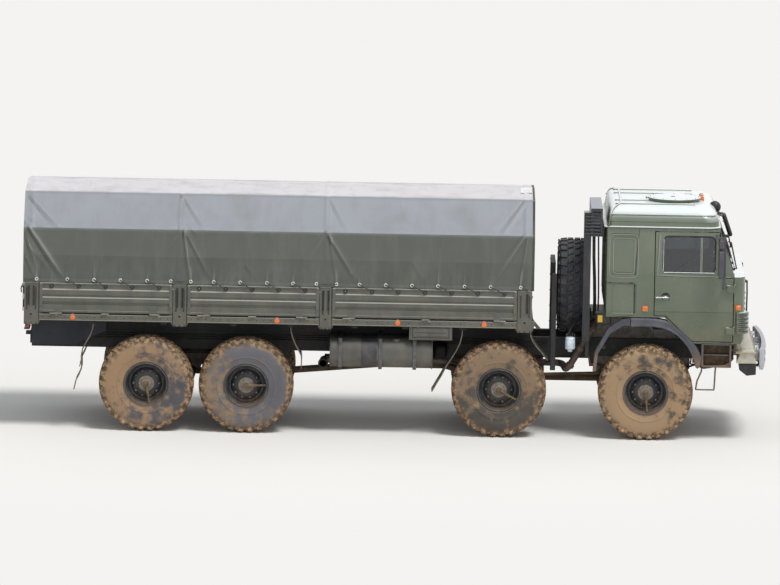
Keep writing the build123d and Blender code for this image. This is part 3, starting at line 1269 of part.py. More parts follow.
# Bumper beam, its shelf, the bowed push bar on brackets and tow lugs
with BuildPart() as bumper:
    side_plate(
        (
            (BEAM_REAR, BEAM_BOTTOM), (BEAM_FRONT, BEAM_BOTTOM), (BEAM_FRONT, BEAM_TOP),
            (BEAM_REAR, BEAM_TOP),
        ),
        (-BEAM_HALF, BEAM_HALF),
    )
    block(
        (BEAM_REAR + BEAM_WALL, BEAM_FRONT - BEAM_WALL), (-BEAM_HALF, BEAM_HALF),
        (BEAM_BOTTOM + BEAM_WALL, BEAM_TOP - BEAM_WALL), mode=Mode.SUBTRACT,
    )
    for side, sign in SIDES:
        block(
            (BUMPER_SHELF_REAR, BEAM_FRONT), side_range(sign, BUMPER_SHELF_INNER_Y, WING_OUTER_Y),
            (BEAM_TOP - BUMPER_SHELF, BEAM_TOP),
        )
        block(
            (RAIL_FRONT + SEAT_GAP, BEAM_REAR + BEAM_WALL),
            side_range(sign, RAIL_OUTER_Y - RAIL_WIDTH, RAIL_OUTER_Y), (BEAM_BOTTOM, BEAM_TOP),
        )
        block(
            (BEAM_REAR, BEAM_FRONT), side_range(sign, TOW_LUG_Y - TOW_LUG_THICKNESS / 2,
                                                TOW_LUG_Y + TOW_LUG_THICKNESS / 2),
            (TOW_LUG_BOTTOM, BEAM_BOTTOM + BEAM_WALL),
        )
        rod(
            (TOW_LUG_X, 0, TOW_LUG_Z), (TOW_LUG_X, sign * BEAM_HALF, TOW_LUG_Z), TOW_BORE_RADIUS,
            mode=Mode.SUBTRACT,
        )
    with BuildSketch(Plane.XY.offset(PUSH_BAR_BOTTOM)) as bow:
        bow_front = FRONT_AXLE_X + FRONT_OVERHANG
        bow_end = FRONT_AXLE_X + PUSH_BAR_END + PUSH_BAR_THICKNESS
        with BuildLine():
            outer_bow = ThreePointArc((bow_end, -PUSH_BAR_HALF), (bow_front, 0), (bow_end, PUSH_BAR_HALF))
            Line(outer_bow @ 1, (bow_end - PUSH_BAR_THICKNESS, PUSH_BAR_HALF))
            inner_bow = ThreePointArc(
                (bow_end - PUSH_BAR_THICKNESS, PUSH_BAR_HALF), (bow_front - PUSH_BAR_THICKNESS, 0),
                (bow_end - PUSH_BAR_THICKNESS, -PUSH_BAR_HALF),
            )
            Line(inner_bow @ 1, outer_bow @ 0)
        make_face()
    extrude(bow.sketch, amount=PUSH_BAR_TOP - PUSH_BAR_BOTTOM)
    for side, sign in SIDES:
        block(
            (BEAM_FRONT + SEAT_GAP, 2 * FRONT_OVERHANG),
            side_range(sign, HEADLAMP_Y - PUSH_BAR_WINDOW / 2, HEADLAMP_Y + PUSH_BAR_WINDOW / 2),
            (BEAM_BOTTOM - BEAM_WALL, BEAM_TOP - BEAM_WALL), mode=Mode.SUBTRACT,
        )
    for y in PUSH_BAR_BRACKETS:
        block(
            (BEAM_FRONT, PUSH_BAR_END + PUSH_BAR_THICKNESS / 2),
            (y - PUSH_BAR_BRACKET_WIDTH / 2, y + PUSH_BAR_BRACKET_WIDTH / 2), (BEAM_BOTTOM, BEAM_TOP),
        )
save(bumper, "bumper")

# Engine and gearbox as one plain mass between the rails
with BuildPart() as engine:
    side_plate(
        (
            (ENGINE_REAR, ENGINE_BOTTOM), (ENGINE_FRONT, ENGINE_BOTTOM), (ENGINE_FRONT, ENGINE_LOW_TOP),
            (ENGINE_STEP, ENGINE_LOW_TOP), (ENGINE_STEP - ENGINE_STEP, ENGINE_TALL_TOP),
            (ENGINE_REAR, ENGINE_TALL_TOP),
        ),
        (RAIL_WIDTH - RAIL_OUTER_Y + SEAT_GAP, RAIL_OUTER_Y - RAIL_WIDTH - SEAT_GAP),
    )
save(engine, "engine")

# Exhaust pipe down behind the cab and back inside the frame to its side outlet
with BuildPart() as exhaust:
    with BuildLine() as route:
        FilletPolyline(*[point(*corner) for corner in EXHAUST_ROUTE], radius=EXHAUST_BEND)
    with BuildSketch(Plane(origin=route.wire() @ 0, z_dir=route.wire() % 0)) as pipe:
        Circle(EXHAUST_RADIUS)
    sweep(pipe.sketch, path=route.wire())
    rod(
        (TANK_REAR - EXHAUST_CLAMP_LENGTH, EXHAUST_ROUTE[4][1], EXHAUST_ROUTE[4][2]),
        (TANK_REAR, EXHAUST_ROUTE[4][1], EXHAUST_ROUTE[4][2]), EXHAUST_CLAMP_RADIUS,
    )
save(exhaust, "exhaust")

# Fuel tank with straps and rail brackets
with BuildPart() as fuel_tank:
    with BuildSketch(Plane.YZ.offset(FRONT_AXLE_X + TANK_REAR)) as tank_section:
        with Locations((-(TANK_OUTER_Y + TANK_INNER_Y) / 2, (TANK_BOTTOM + TANK_TOP) / 2)):
            RectangleRounded(TANK_OUTER_Y - TANK_INNER_Y, TANK_TOP - TANK_BOTTOM, TANK_CORNER)
    extrude(tank_section.sketch, amount=TANK_FRONT - TANK_REAR)
    for x in TANK_STRAPS:
        with BuildSketch(Plane.YZ.offset(FRONT_AXLE_X + x - TANK_STRAP_WIDTH / 2)) as strap_section:
            with Locations((-(TANK_OUTER_Y + TANK_INNER_Y) / 2, (TANK_BOTTOM + TANK_TOP) / 2)):
                RectangleRounded(
                    TANK_OUTER_Y - TANK_INNER_Y + 2 * TANK_STRAP, TANK_TOP - TANK_BOTTOM + 2 * TANK_STRAP,
                    TANK_CORNER + TANK_STRAP,
                )
        extrude(strap_section.sketch, amount=TANK_STRAP_WIDTH)
        block(
            (x - TANK_STRAP_WIDTH / 2, x + TANK_STRAP_WIDTH / 2), (-TANK_INNER_Y, -RAIL_OUTER_Y - SEAT_GAP),
            (RAIL_TOP - TANK_BRACKET_HEIGHT, RAIL_TOP),
        )
save(fuel_tank, "fuel_tank")

# Tool box under the bed rail on the right, large locker on the left
with BuildPart() as tool_boxes:
    block(
        (TOOLBOX_REAR, TOOLBOX_FRONT), (-TOOLBOX_OUTER_Y, -TOOLBOX_INNER_Y),
        (TOOLBOX_BOTTOM, BED_RAIL_BOTTOM - SEAT_GAP),
    )
    block(
        (TOOLBOX_REAR + TOOLBOX_LID_MARGIN, TOOLBOX_FRONT - TOOLBOX_LID_MARGIN),
        (-TOOLBOX_OUTER_Y, RECESS_DEPTH - TOOLBOX_OUTER_Y),
        (TOOLBOX_BOTTOM + TOOLBOX_LID_MARGIN, BED_RAIL_BOTTOM - TOOLBOX_LID_MARGIN), mode=Mode.SUBTRACT,
    )
    block(
        (TANK_REAR, TANK_FRONT), (RAIL_OUTER_Y + SEAT_GAP, LOCKER_OUTER_Y), (LOCKER_BOTTOM, LOCKER_TOP),
    )
    for x in TANK_STRAPS:
        block(
            (x, x + TOOLBOX_LID_MARGIN / 2), (LOCKER_OUTER_Y - RECESS_DEPTH, LOCKER_OUTER_Y),
            (LOCKER_BOTTOM, LOCKER_TOP), mode=Mode.SUBTRACT,
        )
save(tool_boxes, "tool_boxes")

# Spare wheel upright behind the cab, its carrier and the air intake beside it
spare_centre = point(SPARE_X, SPARE_Y, SPARE_Z)
backward = Vector(-1, 0, 0)
save(tyre_solid(spare_centre, backward), "spare_tyre")
save(rim_solid(spare_centre, backward), "spare_rim")

with BuildPart() as spare_carrier:
    rear = CARRIER_X - CARRIER_POST / 2
    front = CARRIER_X + CARRIER_POST / 2
    for side, sign in SIDES:
        block(
            (rear, front),
            side_range(sign, CARRIER_POST_Y - CARRIER_POST / 2, CARRIER_POST_Y + CARRIER_POST / 2),
            (RAIL_TOP + SEAT_GAP, CARRIER_POST_TOP),
        )
    for level in (SPARE_Z, CARRIER_POST_TOP - CARRIER_BAR_HEIGHT / 2):
        block(
            (rear, front), (-CARRIER_POST_Y, CARRIER_POST_Y),
            (level - CARRIER_BAR_HEIGHT / 2, level + CARRIER_BAR_HEIGHT / 2),
        )
    rod((rear, SPARE_Y, SPARE_Z), (SPARE_X - RIM_WIDTH / 2, SPARE_Y, SPARE_Z), HUB_RADIUS)
    carrier_hub_end = SPARE_X - RIM_DISC_OFFSET - HUB_CAP_LENGTH - SEAT_GAP
    rod((rear, SPARE_Y, SPARE_Z), (carrier_hub_end, SPARE_Y, SPARE_Z), HUB_RADIUS)
save(spare_carrier, "spare_carrier")

with BuildPart() as air_intake:
    block((INTAKE_REAR, INTAKE_FRONT), (INTAKE_OUTER_Y, INTAKE_INNER_Y), (INTAKE_BOTTOM, INTAKE_TOP))
    slat_pitch = (INTAKE_TOP - INTAKE_BOTTOM) / (INTAKE_SLATS + 1)
    for slat in range(1, INTAKE_SLATS + 1):
        level = INTAKE_BOTTOM + slat * slat_pitch
        block(
            (INTAKE_REAR + INTAKE_SLAT_HEIGHT, INTAKE_FRONT - INTAKE_SLAT_HEIGHT),
            (INTAKE_OUTER_Y, INTAKE_OUTER_Y + INTAKE_SLAT_DEPTH),
            (level - INTAKE_SLAT_HEIGHT / 2, level + INTAKE_SLAT_HEIGHT / 2), mode=Mode.SUBTRACT,
        )
    block(
        (DUCT_REAR, DUCT_FRONT), (DUCT_OUTER_Y, DUCT_INNER_Y),
        (DUCT_BOTTOM, INTAKE_TOP - INTAKE_SLAT_DEPTH),
    )
    block(
        (DUCT_FRONT - DUCT_ARM, DUCT_FRONT), (DUCT_INNER_Y - DUCT_ARM, -RAIL_OUTER_Y - SEAT_GAP),
        (DUCT_ARM_Z, DUCT_ARM_Z + DUCT_ARM),
    )
    block(
        (DUCT_FRONT - DUCT_ARM, DUCT_FRONT), (DUCT_INNER_Y - DUCT_ARM, DUCT_INNER_Y),
        (DUCT_ARM_Z, DUCT_BOTTOM),
    )
save(air_intake, "air_intake")

# Rear halves of the front wings, fixed to the frame by an arm
with BuildPart() as rear_wings:
    for side, sign in SIDES:
        top_front = WING_SPLIT - WING_SPLIT_GAP
        side_plate(
            ((top_front, REAR_WING_INSIDE[3][1]), (top_front, REAR_WING_TOP))
            + REAR_WING_OUTSIDE + REAR_WING_INSIDE,
            side_range(sign, WING_INNER_Y, WING_OUTER_Y),
        )
        rod(
            (REAR_WING_ARM_X, sign * (RAIL_OUTER_Y + SEAT_GAP), REAR_WING_ARM_Z),
            (REAR_WING_ARM_X, sign * (WING_INNER_Y - CAB_WALL), REAR_WING_ARM_Z), REAR_WING_ARM_RADIUS,
        )
        rod(
            (REAR_WING_ARM_X, sign * (WING_INNER_Y - CAB_WALL), REAR_WING_ARM_Z),
            (REAR_WING_ARM_X - CAB_WALL, sign * (WING_INNER_Y + CAB_WALL), REAR_WING_ARM_Z + CAB_WALL),
            REAR_WING_ARM_RADIUS,
        )
        with Locations(point(REAR_WING_ARM_X, sign * (WING_INNER_Y - CAB_WALL), REAR_WING_ARM_Z)):
            Sphere(REAR_WING_ARM_RADIUS)
save(rear_wings, "rear_wings")


# Drop-side boards fill the gaps between the posts, rear gap first
BOARD_SPANS = tuple(
    (rear_post[1] + BOARD_END_GAP, front_post[0] - BOARD_END_GAP)
    for rear_post, front_post in zip(POST_SPANS, POST_SPANS[1:])
)
BOARD_HINGE_Y = BOARD_OUTER_Y + BOARD_HINGE_REACH


def hinge_middles(low, high):
    """Give the middles of the two hinges along an edge."""
    return (low + BOARD_HINGE_INSET, high - BOARD_HINGE_INSET)


# Cargo bed: floor on bearers and subframe beams, side and end rails, and lugs beside each board hinge
with BuildPart() as bed_floor:
    block((TAIL_RAIL_X, BED_FRONT), (-BED_HALF, BED_HALF), (FLOOR_BOTTOM, FLOOR_TOP))
    for y_limits in both_sides(BED_HALF - BED_RAIL_WIDTH, BED_HALF):
        block((TAIL_RAIL_X, BED_FRONT), y_limits, (BED_RAIL_BOTTOM, BED_RAIL_TOP))
    block((TAIL_RAIL_X, TAIL_RAIL_X + BED_RAIL_WIDTH), (-BED_HALF, BED_HALF), (BED_RAIL_BOTTOM, BED_RAIL_TOP))
    for x in BEARERS:
        block(
            (x, x + BEARER_LENGTH), (BED_RAIL_WIDTH - BED_HALF, BED_HALF - BED_RAIL_WIDTH),
            (BEARER_BOTTOM, FLOOR_BOTTOM),
        )
    for y_limits in both_sides(RAIL_OUTER_Y - RAIL_WIDTH + SUBFRAME_INSET, RAIL_OUTER_Y - SUBFRAME_INSET):
        block((TAIL_RAIL_X + BED_RAIL_WIDTH, BED_FRONT), y_limits, (RAIL_TOP + SEAT_GAP, BEARER_BOTTOM))
    for side, sign in SIDES:
        for low, high in BOARD_SPANS:
            for middle in hinge_middles(low, high):
                for way in (-1, 1):
                    near = middle + way * (BOARD_HINGE_LENGTH / 2 + PIVOT_GAP)
                    far = near + way * BOARD_HINGE_RADIUS
                    block(
                        (near, far), side_range(sign, BED_HALF - BED_RAIL_WIDTH / 2, BOARD_HINGE_Y),
                        (BOARD_HINGE_Z - BOARD_HINGE_RADIUS, BOARD_HINGE_Z),
                    )
                    rod(
                        (near, sign * BOARD_HINGE_Y, BOARD_HINGE_Z),
                        (far, sign * BOARD_HINGE_Y, BOARD_HINGE_Z),
                        BOARD_HINGE_RADIUS,
                    )
    for middle in hinge_middles(-TAILGATE_HALF, TAILGATE_HALF):
        for way in (-1, 1):
            near = middle + way * (BOARD_HINGE_LENGTH / 2 + PIVOT_GAP)
            far = near + way * BOARD_HINGE_RADIUS
            block(
                (TAILGATE_OUTER_X - BOARD_HINGE_REACH, TAIL_RAIL_X + BED_RAIL_WIDTH / 2), (near, far),
                (BOARD_HINGE_Z - BOARD_HINGE_RADIUS, BOARD_HINGE_Z),
            )
            rod(
                (TAILGATE_OUTER_X - BOARD_HINGE_REACH, near, BOARD_HINGE_Z),
                (TAILGATE_OUTER_X - BOARD_HINGE_REACH, far, BOARD_HINGE_Z), BOARD_HINGE_RADIUS,
            )
save(bed_floor, "bed_floor")


def tent_outline(inset):
    """Give half the tent's cross outline, right foot first, moved inward by an inset, as Y and Z points."""
    slope = tan(radians(TENT_CORNER_TURN / 2)) * inset
    half = TENT_HALF - inset
    return (
        (half, TENT_BOTTOM), (half, TENT_EAVE - slope),
        (TENT_SHOULDER_HALF - slope, TENT_SHOULDER - inset), (0, TENT_CROWN - inset),
    )


def tent_loop(inset):
    """Give the whole closed tent outline with an inset."""
    half = tent_outline(inset)
    return half + tuple((-y, z) for y, z in reversed(half[:-1]))


# Posts along both sides, headboard in front and bows over the posts
with BuildPart() as bed_frame:
    for side, sign in SIDES:
        for rear, front in POST_SPANS:
            block((rear, front), side_range(sign, BED_HALF + SEAT_GAP, POST_OUTER_Y), (POST_BOTTOM, POST_TOP))
            block(
                (rear, front), side_range(sign, POST_INNER_Y, BED_HALF + 1),
                (BED_RAIL_TOP + SEAT_GAP, POST_TOP),
            )
            for x in (rear + POST_SLOT_INSET, front - POST_SLOT_INSET):
                block(
                    (x - POST_SLOT_WIDTH / 2, x + POST_SLOT_WIDTH / 2),
                    side_range(sign, POST_OUTER_Y - POST_SLOT_WIDTH, 2 * POST_OUTER_Y),
                    (POST_SLOT_BOTTOM, POST_SLOT_TOP), mode=Mode.SUBTRACT,
                )
    headboard_front = POST_SPANS[-1][1]
    block(
        (headboard_front - HEADBOARD_THICKNESS, headboard_front), (-POST_INNER_Y, POST_INNER_Y),
        (BED_RAIL_TOP + SEAT_GAP, POST_TOP),
    )
    bow_outer = TENT_CLOTH + SEAT_GAP
    for rear, front in POST_SPANS:
        middle = (rear + front) / 2
        limits = (middle - BOW_WIDTH / 2, middle + BOW_WIDTH / 2)
        with BuildSketch(Plane.YZ.offset(FRONT_AXLE_X + limits[0])) as bow_section:
            with BuildLine():
                Polyline(*tent_loop(bow_outer), close=True)
            make_face()
            with BuildLine():
                Polyline(*tent_loop(bow_outer + BOW_DEPTH), close=True)
            make_face(mode=Mode.SUBTRACT)
        extrude(bow_section.sketch, amount=BOW_WIDTH)
        for side, sign in SIDES:
            block(
                limits, side_range(sign, TENT_HALF - bow_outer - BOW_DEPTH, TENT_HALF - bow_outer),
                (POST_TOP - BOW_DEPTH, TENT_BOTTOM + 1),
            )
save(bed_frame, "bed_frame")

# Tent: closed cloth form over the bows with an open rear end
with BuildPart() as tent:
    with BuildSketch(Plane.YZ.offset(FRONT_AXLE_X + TRUCK_REAR)) as tent_section:
        with BuildLine():
            Polyline(*tent_loop(0), close=True)
        make_face()
    extrude(tent_section.sketch, amount=BED_FRONT - TRUCK_REAR)
    with BuildSketch(Plane.YZ.offset(FRONT_AXLE_X + TRUCK_REAR - TENT_CLOTH)) as hollow_section:
        with BuildLine():
            Polyline(
                *[(y, z - (TENT_CLOTH if z == TENT_BOTTOM else 0)) for y, z in tent_loop(TENT_CLOTH)], close=True,
            )
        make_face()
    extrude(hollow_section.sketch, amount=BED_FRONT - TRUCK_REAR, mode=Mode.SUBTRACT)
save(tent, "tent")



def hinged_board(half_length, foot, turn):
    """Build a board with its hinge axis at a foot point, turned from facing right about the vertical."""
    height = BOARD_TOP - BOARD_BOTTOM
    with BuildPart(mode=Mode.PRIVATE) as panel:
        with Locations(
            (0, BOARD_HINGE_REACH + BOARD_THICKNESS / 2, BOARD_BOTTOM - BOARD_HINGE_Z + height / 2)
        ):
            Box(2 * half_length, BOARD_THICKNESS, height)
        for level in BOARD_GROOVES:
            with Locations((0, BOARD_HINGE_REACH, level - BOARD_HINGE_Z)):
                Box(2 * half_length - 2 * BOARD_GROOVE_HEIGHT, 2 * BOARD_GROOVE_DEPTH, BOARD_GROOVE_HEIGHT,
                    mode=Mode.SUBTRACT)
        for x in (BOARD_HINGE_INSET - half_length, half_length - BOARD_HINGE_INSET):
            with Locations(Location((x, 0, 0), (0, 90, 0))):
                Cylinder(BOARD_HINGE_RADIUS, BOARD_HINGE_LENGTH)
            with Locations((x, BOARD_HINGE_REACH - BOARD_STRAP / 2, BOARD_STRAP_LENGTH / 2)):
                Box(BOARD_HINGE_LENGTH, BOARD_STRAP, BOARD_STRAP_LENGTH)
            with Locations((x, BOARD_HINGE_REACH, BOARD_STRAP_LENGTH - BOARD_STRAP)):
                Box(BOARD_HINGE_LENGTH, 2 * BOARD_STRAP, 2 * BOARD_STRAP)
    return panel.part.moved(Location(foot, (0, 0, turn)))


# Drop-side boards, numbered from the rear, and the tailgate
for number, (low, high) in enumerate(BOARD_SPANS):
    for side, sign in SIDES:
        with BuildPart() as board:
            foot = point((low + high) / 2, sign * BOARD_HINGE_Y, BOARD_HINGE_Z)
            add(hinged_board((high - low) / 2, foot, 0 if sign < 0 else 180))
        save(board, f"side_board_{number + 1}{side}")
with BuildPart() as tailgate:
    foot = point(TAILGATE_OUTER_X - BOARD_HINGE_REACH, 0, BOARD_HINGE_Z)
    add(hinged_board(TAILGATE_HALF, foot, -90))
save(tailgate, "tailgate")

# Mudflaps hung from the bed and from the bed's front bearer
with BuildPart() as mudflaps:
    top_z = BEARER_BOTTOM - SEAT_GAP
    for top_x, low_x, low_z in MUDFLAPS:
        for y_limits in both_sides(MUDFLAP_INNER_Y, MUDFLAP_OUTER_Y):
            side_plate(
                (
                    (top_x, top_z), (top_x + MUDFLAP_THICKNESS, top_z),
                    (low_x + MUDFLAP_THICKNESS, low_z), (low_x, low_z),
                ),
                y_limits,
            )
save(mudflaps, "mudflaps")

# Lamps of the chassis: headlamps on the bumper, side markers on the bed rails, tail lamps below it
with BuildPart() as chassis_lamps:
    for side, sign in SIDES:
        lamp_z = (BEAM_BOTTOM + BEAM_TOP) / 2
        rod(
            (BEAM_FRONT + SEAT_GAP, sign * HEADLAMP_Y, lamp_z),
            (BEAM_FRONT + HEADLAMP_LENGTH, sign * HEADLAMP_Y, lamp_z), HEADLAMP_RADIUS,
        )
        for x in RAIL_LAMPS:
            rod(
                (x, sign * (BED_HALF + SEAT_GAP), RAIL_LAMP_Z),
                (x, sign * (BED_HALF + RAIL_LAMP_DEPTH), RAIL_LAMP_Z), RAIL_LAMP_RADIUS,
            )
        block(
            (BEARERS[-1] - SEAT_GAP - TAIL_LAMP_DEPTH, BEARERS[-1] - SEAT_GAP),
            side_range(sign, TAIL_LAMP_Y - TAIL_LAMP_HALF, TAIL_LAMP_Y + TAIL_LAMP_HALF),
            (BEARER_BOTTOM + SEAT_GAP - TAIL_LAMP_DROP, BED_RAIL_BOTTOM - SEAT_GAP),
        )
save(chassis_lamps, "chassis_lamps")
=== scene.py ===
"""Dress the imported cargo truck: finishes, cloth, treads, lamps, ropes and studio.

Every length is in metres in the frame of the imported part. Places named in millimetres are
measured from the front axle, forward positive, as the part's own sizes are.
"""

import logging
import math
import random
from dataclasses import dataclass, field
from enum import Enum
from typing import Dict, Iterable, List, Optional, Sequence, Tuple, Union

import bmesh
import bpy
from mathutils import Euler, Matrix, Vector, noise


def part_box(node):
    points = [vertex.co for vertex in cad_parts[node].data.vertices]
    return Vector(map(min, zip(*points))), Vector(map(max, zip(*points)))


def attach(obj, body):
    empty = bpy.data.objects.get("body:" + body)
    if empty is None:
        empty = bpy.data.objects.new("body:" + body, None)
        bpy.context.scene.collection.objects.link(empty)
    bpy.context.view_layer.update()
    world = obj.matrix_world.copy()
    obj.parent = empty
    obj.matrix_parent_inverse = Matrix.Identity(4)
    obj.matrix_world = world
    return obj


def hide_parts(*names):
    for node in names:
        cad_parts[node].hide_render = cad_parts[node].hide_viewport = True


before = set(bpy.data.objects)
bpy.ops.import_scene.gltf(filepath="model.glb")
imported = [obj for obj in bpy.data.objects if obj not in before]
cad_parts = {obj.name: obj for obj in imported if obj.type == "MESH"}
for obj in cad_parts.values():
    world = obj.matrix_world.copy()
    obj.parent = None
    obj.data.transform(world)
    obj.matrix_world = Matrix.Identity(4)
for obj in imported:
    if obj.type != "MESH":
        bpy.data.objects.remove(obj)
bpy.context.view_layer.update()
LOG = logging.getLogger("truck")

Point = Tuple[float, float, float]
Profile = Sequence[Tuple[float, float]]
Tree = bpy.types.NodeTree
Socket = bpy.types.NodeSocket
Material = bpy.types.Material
Part = bmesh.types.BMesh
Vert = bmesh.types.BMVert
Colour = Union[str, Socket]
Value = Union[float, Socket]
MM = 0.001
SRGB_KNEE = 0.04045
FRONT_AXLE_X = (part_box("rim_1r")[0][0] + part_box("rim_1r")[1][0]) / 2
SIDES: Dict[str, int] = {"r": -1, "l": 1}
# the frame's origin, as a place from the front axle
ORIGIN = (-FRONT_AXLE_X / MM, 0, 0)
AXLE_XS = (0, -1940, -5280, -6600)
HUB_Z = 630
WHEEL_Y = 1025


def at(x: float, y: float, z: float) -> Vector:
    """Turn a place in millimetres from the front axle into the frame's metres.

    Args:
        x: forward distance from the front axle.
        y: distance to the left of the middle.
        z: height above the ground.

    Returns:
        The place in the frame, in metres.
    """
    return Vector((FRONT_AXLE_X + x * MM, y * MM, z * MM))


def new_object(name: str, data: bpy.types.ID) -> bpy.types.Object:
    """Make an object of a mesh, a lamp or a camera and put it in the scene."""
    made = bpy.data.objects.new(name, data)
    bpy.context.scene.collection.objects.link(made)
    return made


# Finishes ---------------------------------------------------------------------------------------

def linear(colour: str) -> Tuple[float, float, float, float]:
    """Turn an sRGB hex colour into a linear one.

    Args:
        colour: six hex digits after a hash sign.

    Returns:
        Red, green, blue and alpha as Blender's sockets take them.
    """
    parts = (int(colour[i:i + 2], 16) / 255 for i in (1, 3, 5))
    return (*(c / 12.92 if c <= SRGB_KNEE else ((c + 0.055) / 1.055) ** 2.4 for c in parts), 1.0)


def add_node(tree: Tree, kind: str, inputs: Optional[dict] = None, **settings) -> bpy.types.Node:
    """Add one shader node with its settings, values and links.

    Args:
        tree: the node tree to add to.
        kind: the node's type name, without the words that all shader nodes share.
        inputs: socket name or number to a value, or to another node's output.
        settings: attributes of the node itself.

    Returns:
        The new node.
    """
    node = tree.nodes.new("ShaderNode" + kind)
    for name, value in settings.items():
        setattr(node, name, value)
    for key, value in (inputs or {}).items():
        if isinstance(value, Socket):
            tree.links.new(value, node.inputs[key])
        else:
            node.inputs[key].default_value = value
    return node


class Pattern(Enum):
    """Kinds of surface pattern, by the texture node that draws each."""

    CLOUD = "TexNoise"
    THREAD = "TexWave"


def coordinates(tree: Tree, centre: Sequence[float] = (0, 0, 0),
                stretch: Sequence[float] = (1, 1, 1)) -> Socket:
    """Give object coordinates, moved so that a pattern starts at a place of the truck.

    Args:
        tree: the node tree to add to.
        centre: the place, in metres.
        stretch: how much denser the pattern is along each axis.

    Returns:
        The coordinates' socket.
    """
    place = add_node(tree, "TexCoord").outputs["Object"]
    moved = add_node(tree, "VectorMath", {0: place, 1: tuple(centre)}, operation="SUBTRACT")
    return add_node(tree, "VectorMath", {0: moved.outputs[0], 1: tuple(stretch)}, operation="MULTIPLY").outputs[0]


def cloud(tree: Tree, size_mm: float, detail: float = 3.0,
          stretch: Sequence[float] = (1, 1, 1)) -> Socket:
    """Give a cloudy value from 0 to 1 whose blots are of a real size.

    Args:
        tree: the node tree to add to.
        size_mm: the blots' size in millimetres.
        detail: how many finer layers lie over the blots.
        stretch: how much denser the blots are along each axis.

    Returns:
        The value's socket.
    """
    return add_node(tree, Pattern.CLOUD.value, {
        "Vector": coordinates(tree, stretch=stretch), "Scale": 1 / (size_mm * MM), "Detail": detail,
        "Roughness": 0.6,
    }).outputs[0]


def distance_along(tree: Tree, axis: int) -> Socket:
    """Give the distance along one of the frame's axes, as 0 for X, 1 for Y or 2 for Z."""
    return add_node(tree, "SeparateXYZ", {0: coordinates(tree)}).outputs[axis]


def blend_colours(tree: Tree, share: Socket, first: Colour, second: Colour) -> Socket:
    """Blend two colours, each a hex colour or a socket.

    Args:
        tree: the node tree to add to.
        share: the second colour's share.
        first: the colour at 0.
        second: the colour at 1.

    Returns:
        The blended colour's socket.
    """
    ends = [linear(end) if isinstance(end, str) else end for end in (first, second)]
    return add_node(tree, "Mix", {0: share, 6: ends[0], 7: ends[1]}, data_type="RGBA").outputs[2]


def ramp(tree: Tree, value: Socket, low: float, high: float, start: float = 0.0, end: float = 1.0) -> Socket:
    """Give a smooth step of a value.

    Args:
        tree: the node tree to add to.
        value: the value's socket.
        low: the value where the step starts.
        high: the value where the step ends.
        start: what the step gives before it.
        end: what the step gives after it.

    Returns:
        The step's socket.
    """
    return add_node(tree, "MapRange", {"Value": value, "From Min": low, "From Max": high, "To Min": start,
                                       "To Max": end}, interpolation_type="SMOOTHSTEP").outputs[0]


def arithmetic(tree: Tree, operation: str, *terms: Value) -> Socket:
    """Give the result of one sum.

    Args:
        tree: the node tree to add to.
        operation: the sum's name.
        terms: the values or sockets that go into it, in order.

    Returns:
        The result's socket.
    """
    return add_node(tree, "Math", dict(enumerate(terms)), operation=operation).outputs[0]


@dataclass(frozen=True)
class Mud:
    """Dried mud and road dust that thicken towards the ground.

    The eye sees a pale film that ends in blots, with a duller and rougher surface under it.
    """

    colour: str = "#8F7558"
    damp: str = "#6B5642"
    top: float = 1.3
    full: float = 0.5
    most: float = 0.85
    blot_mm: float = 90.0

    def mask(self, tree: Tree) -> Socket:
        """Give the mud's cover, from 0 to its most, at each height."""
        level = ramp(tree, distance_along(tree, 2), self.top, self.full)
        blots = arithmetic(tree, "SUBTRACT", cloud(tree, self.blot_mm, 6.0), 0.5)
        return ramp(tree, arithmetic(tree, "MULTIPLY_ADD", blots, 1.5, level), 0.1, 0.95, 0.0, self.most)


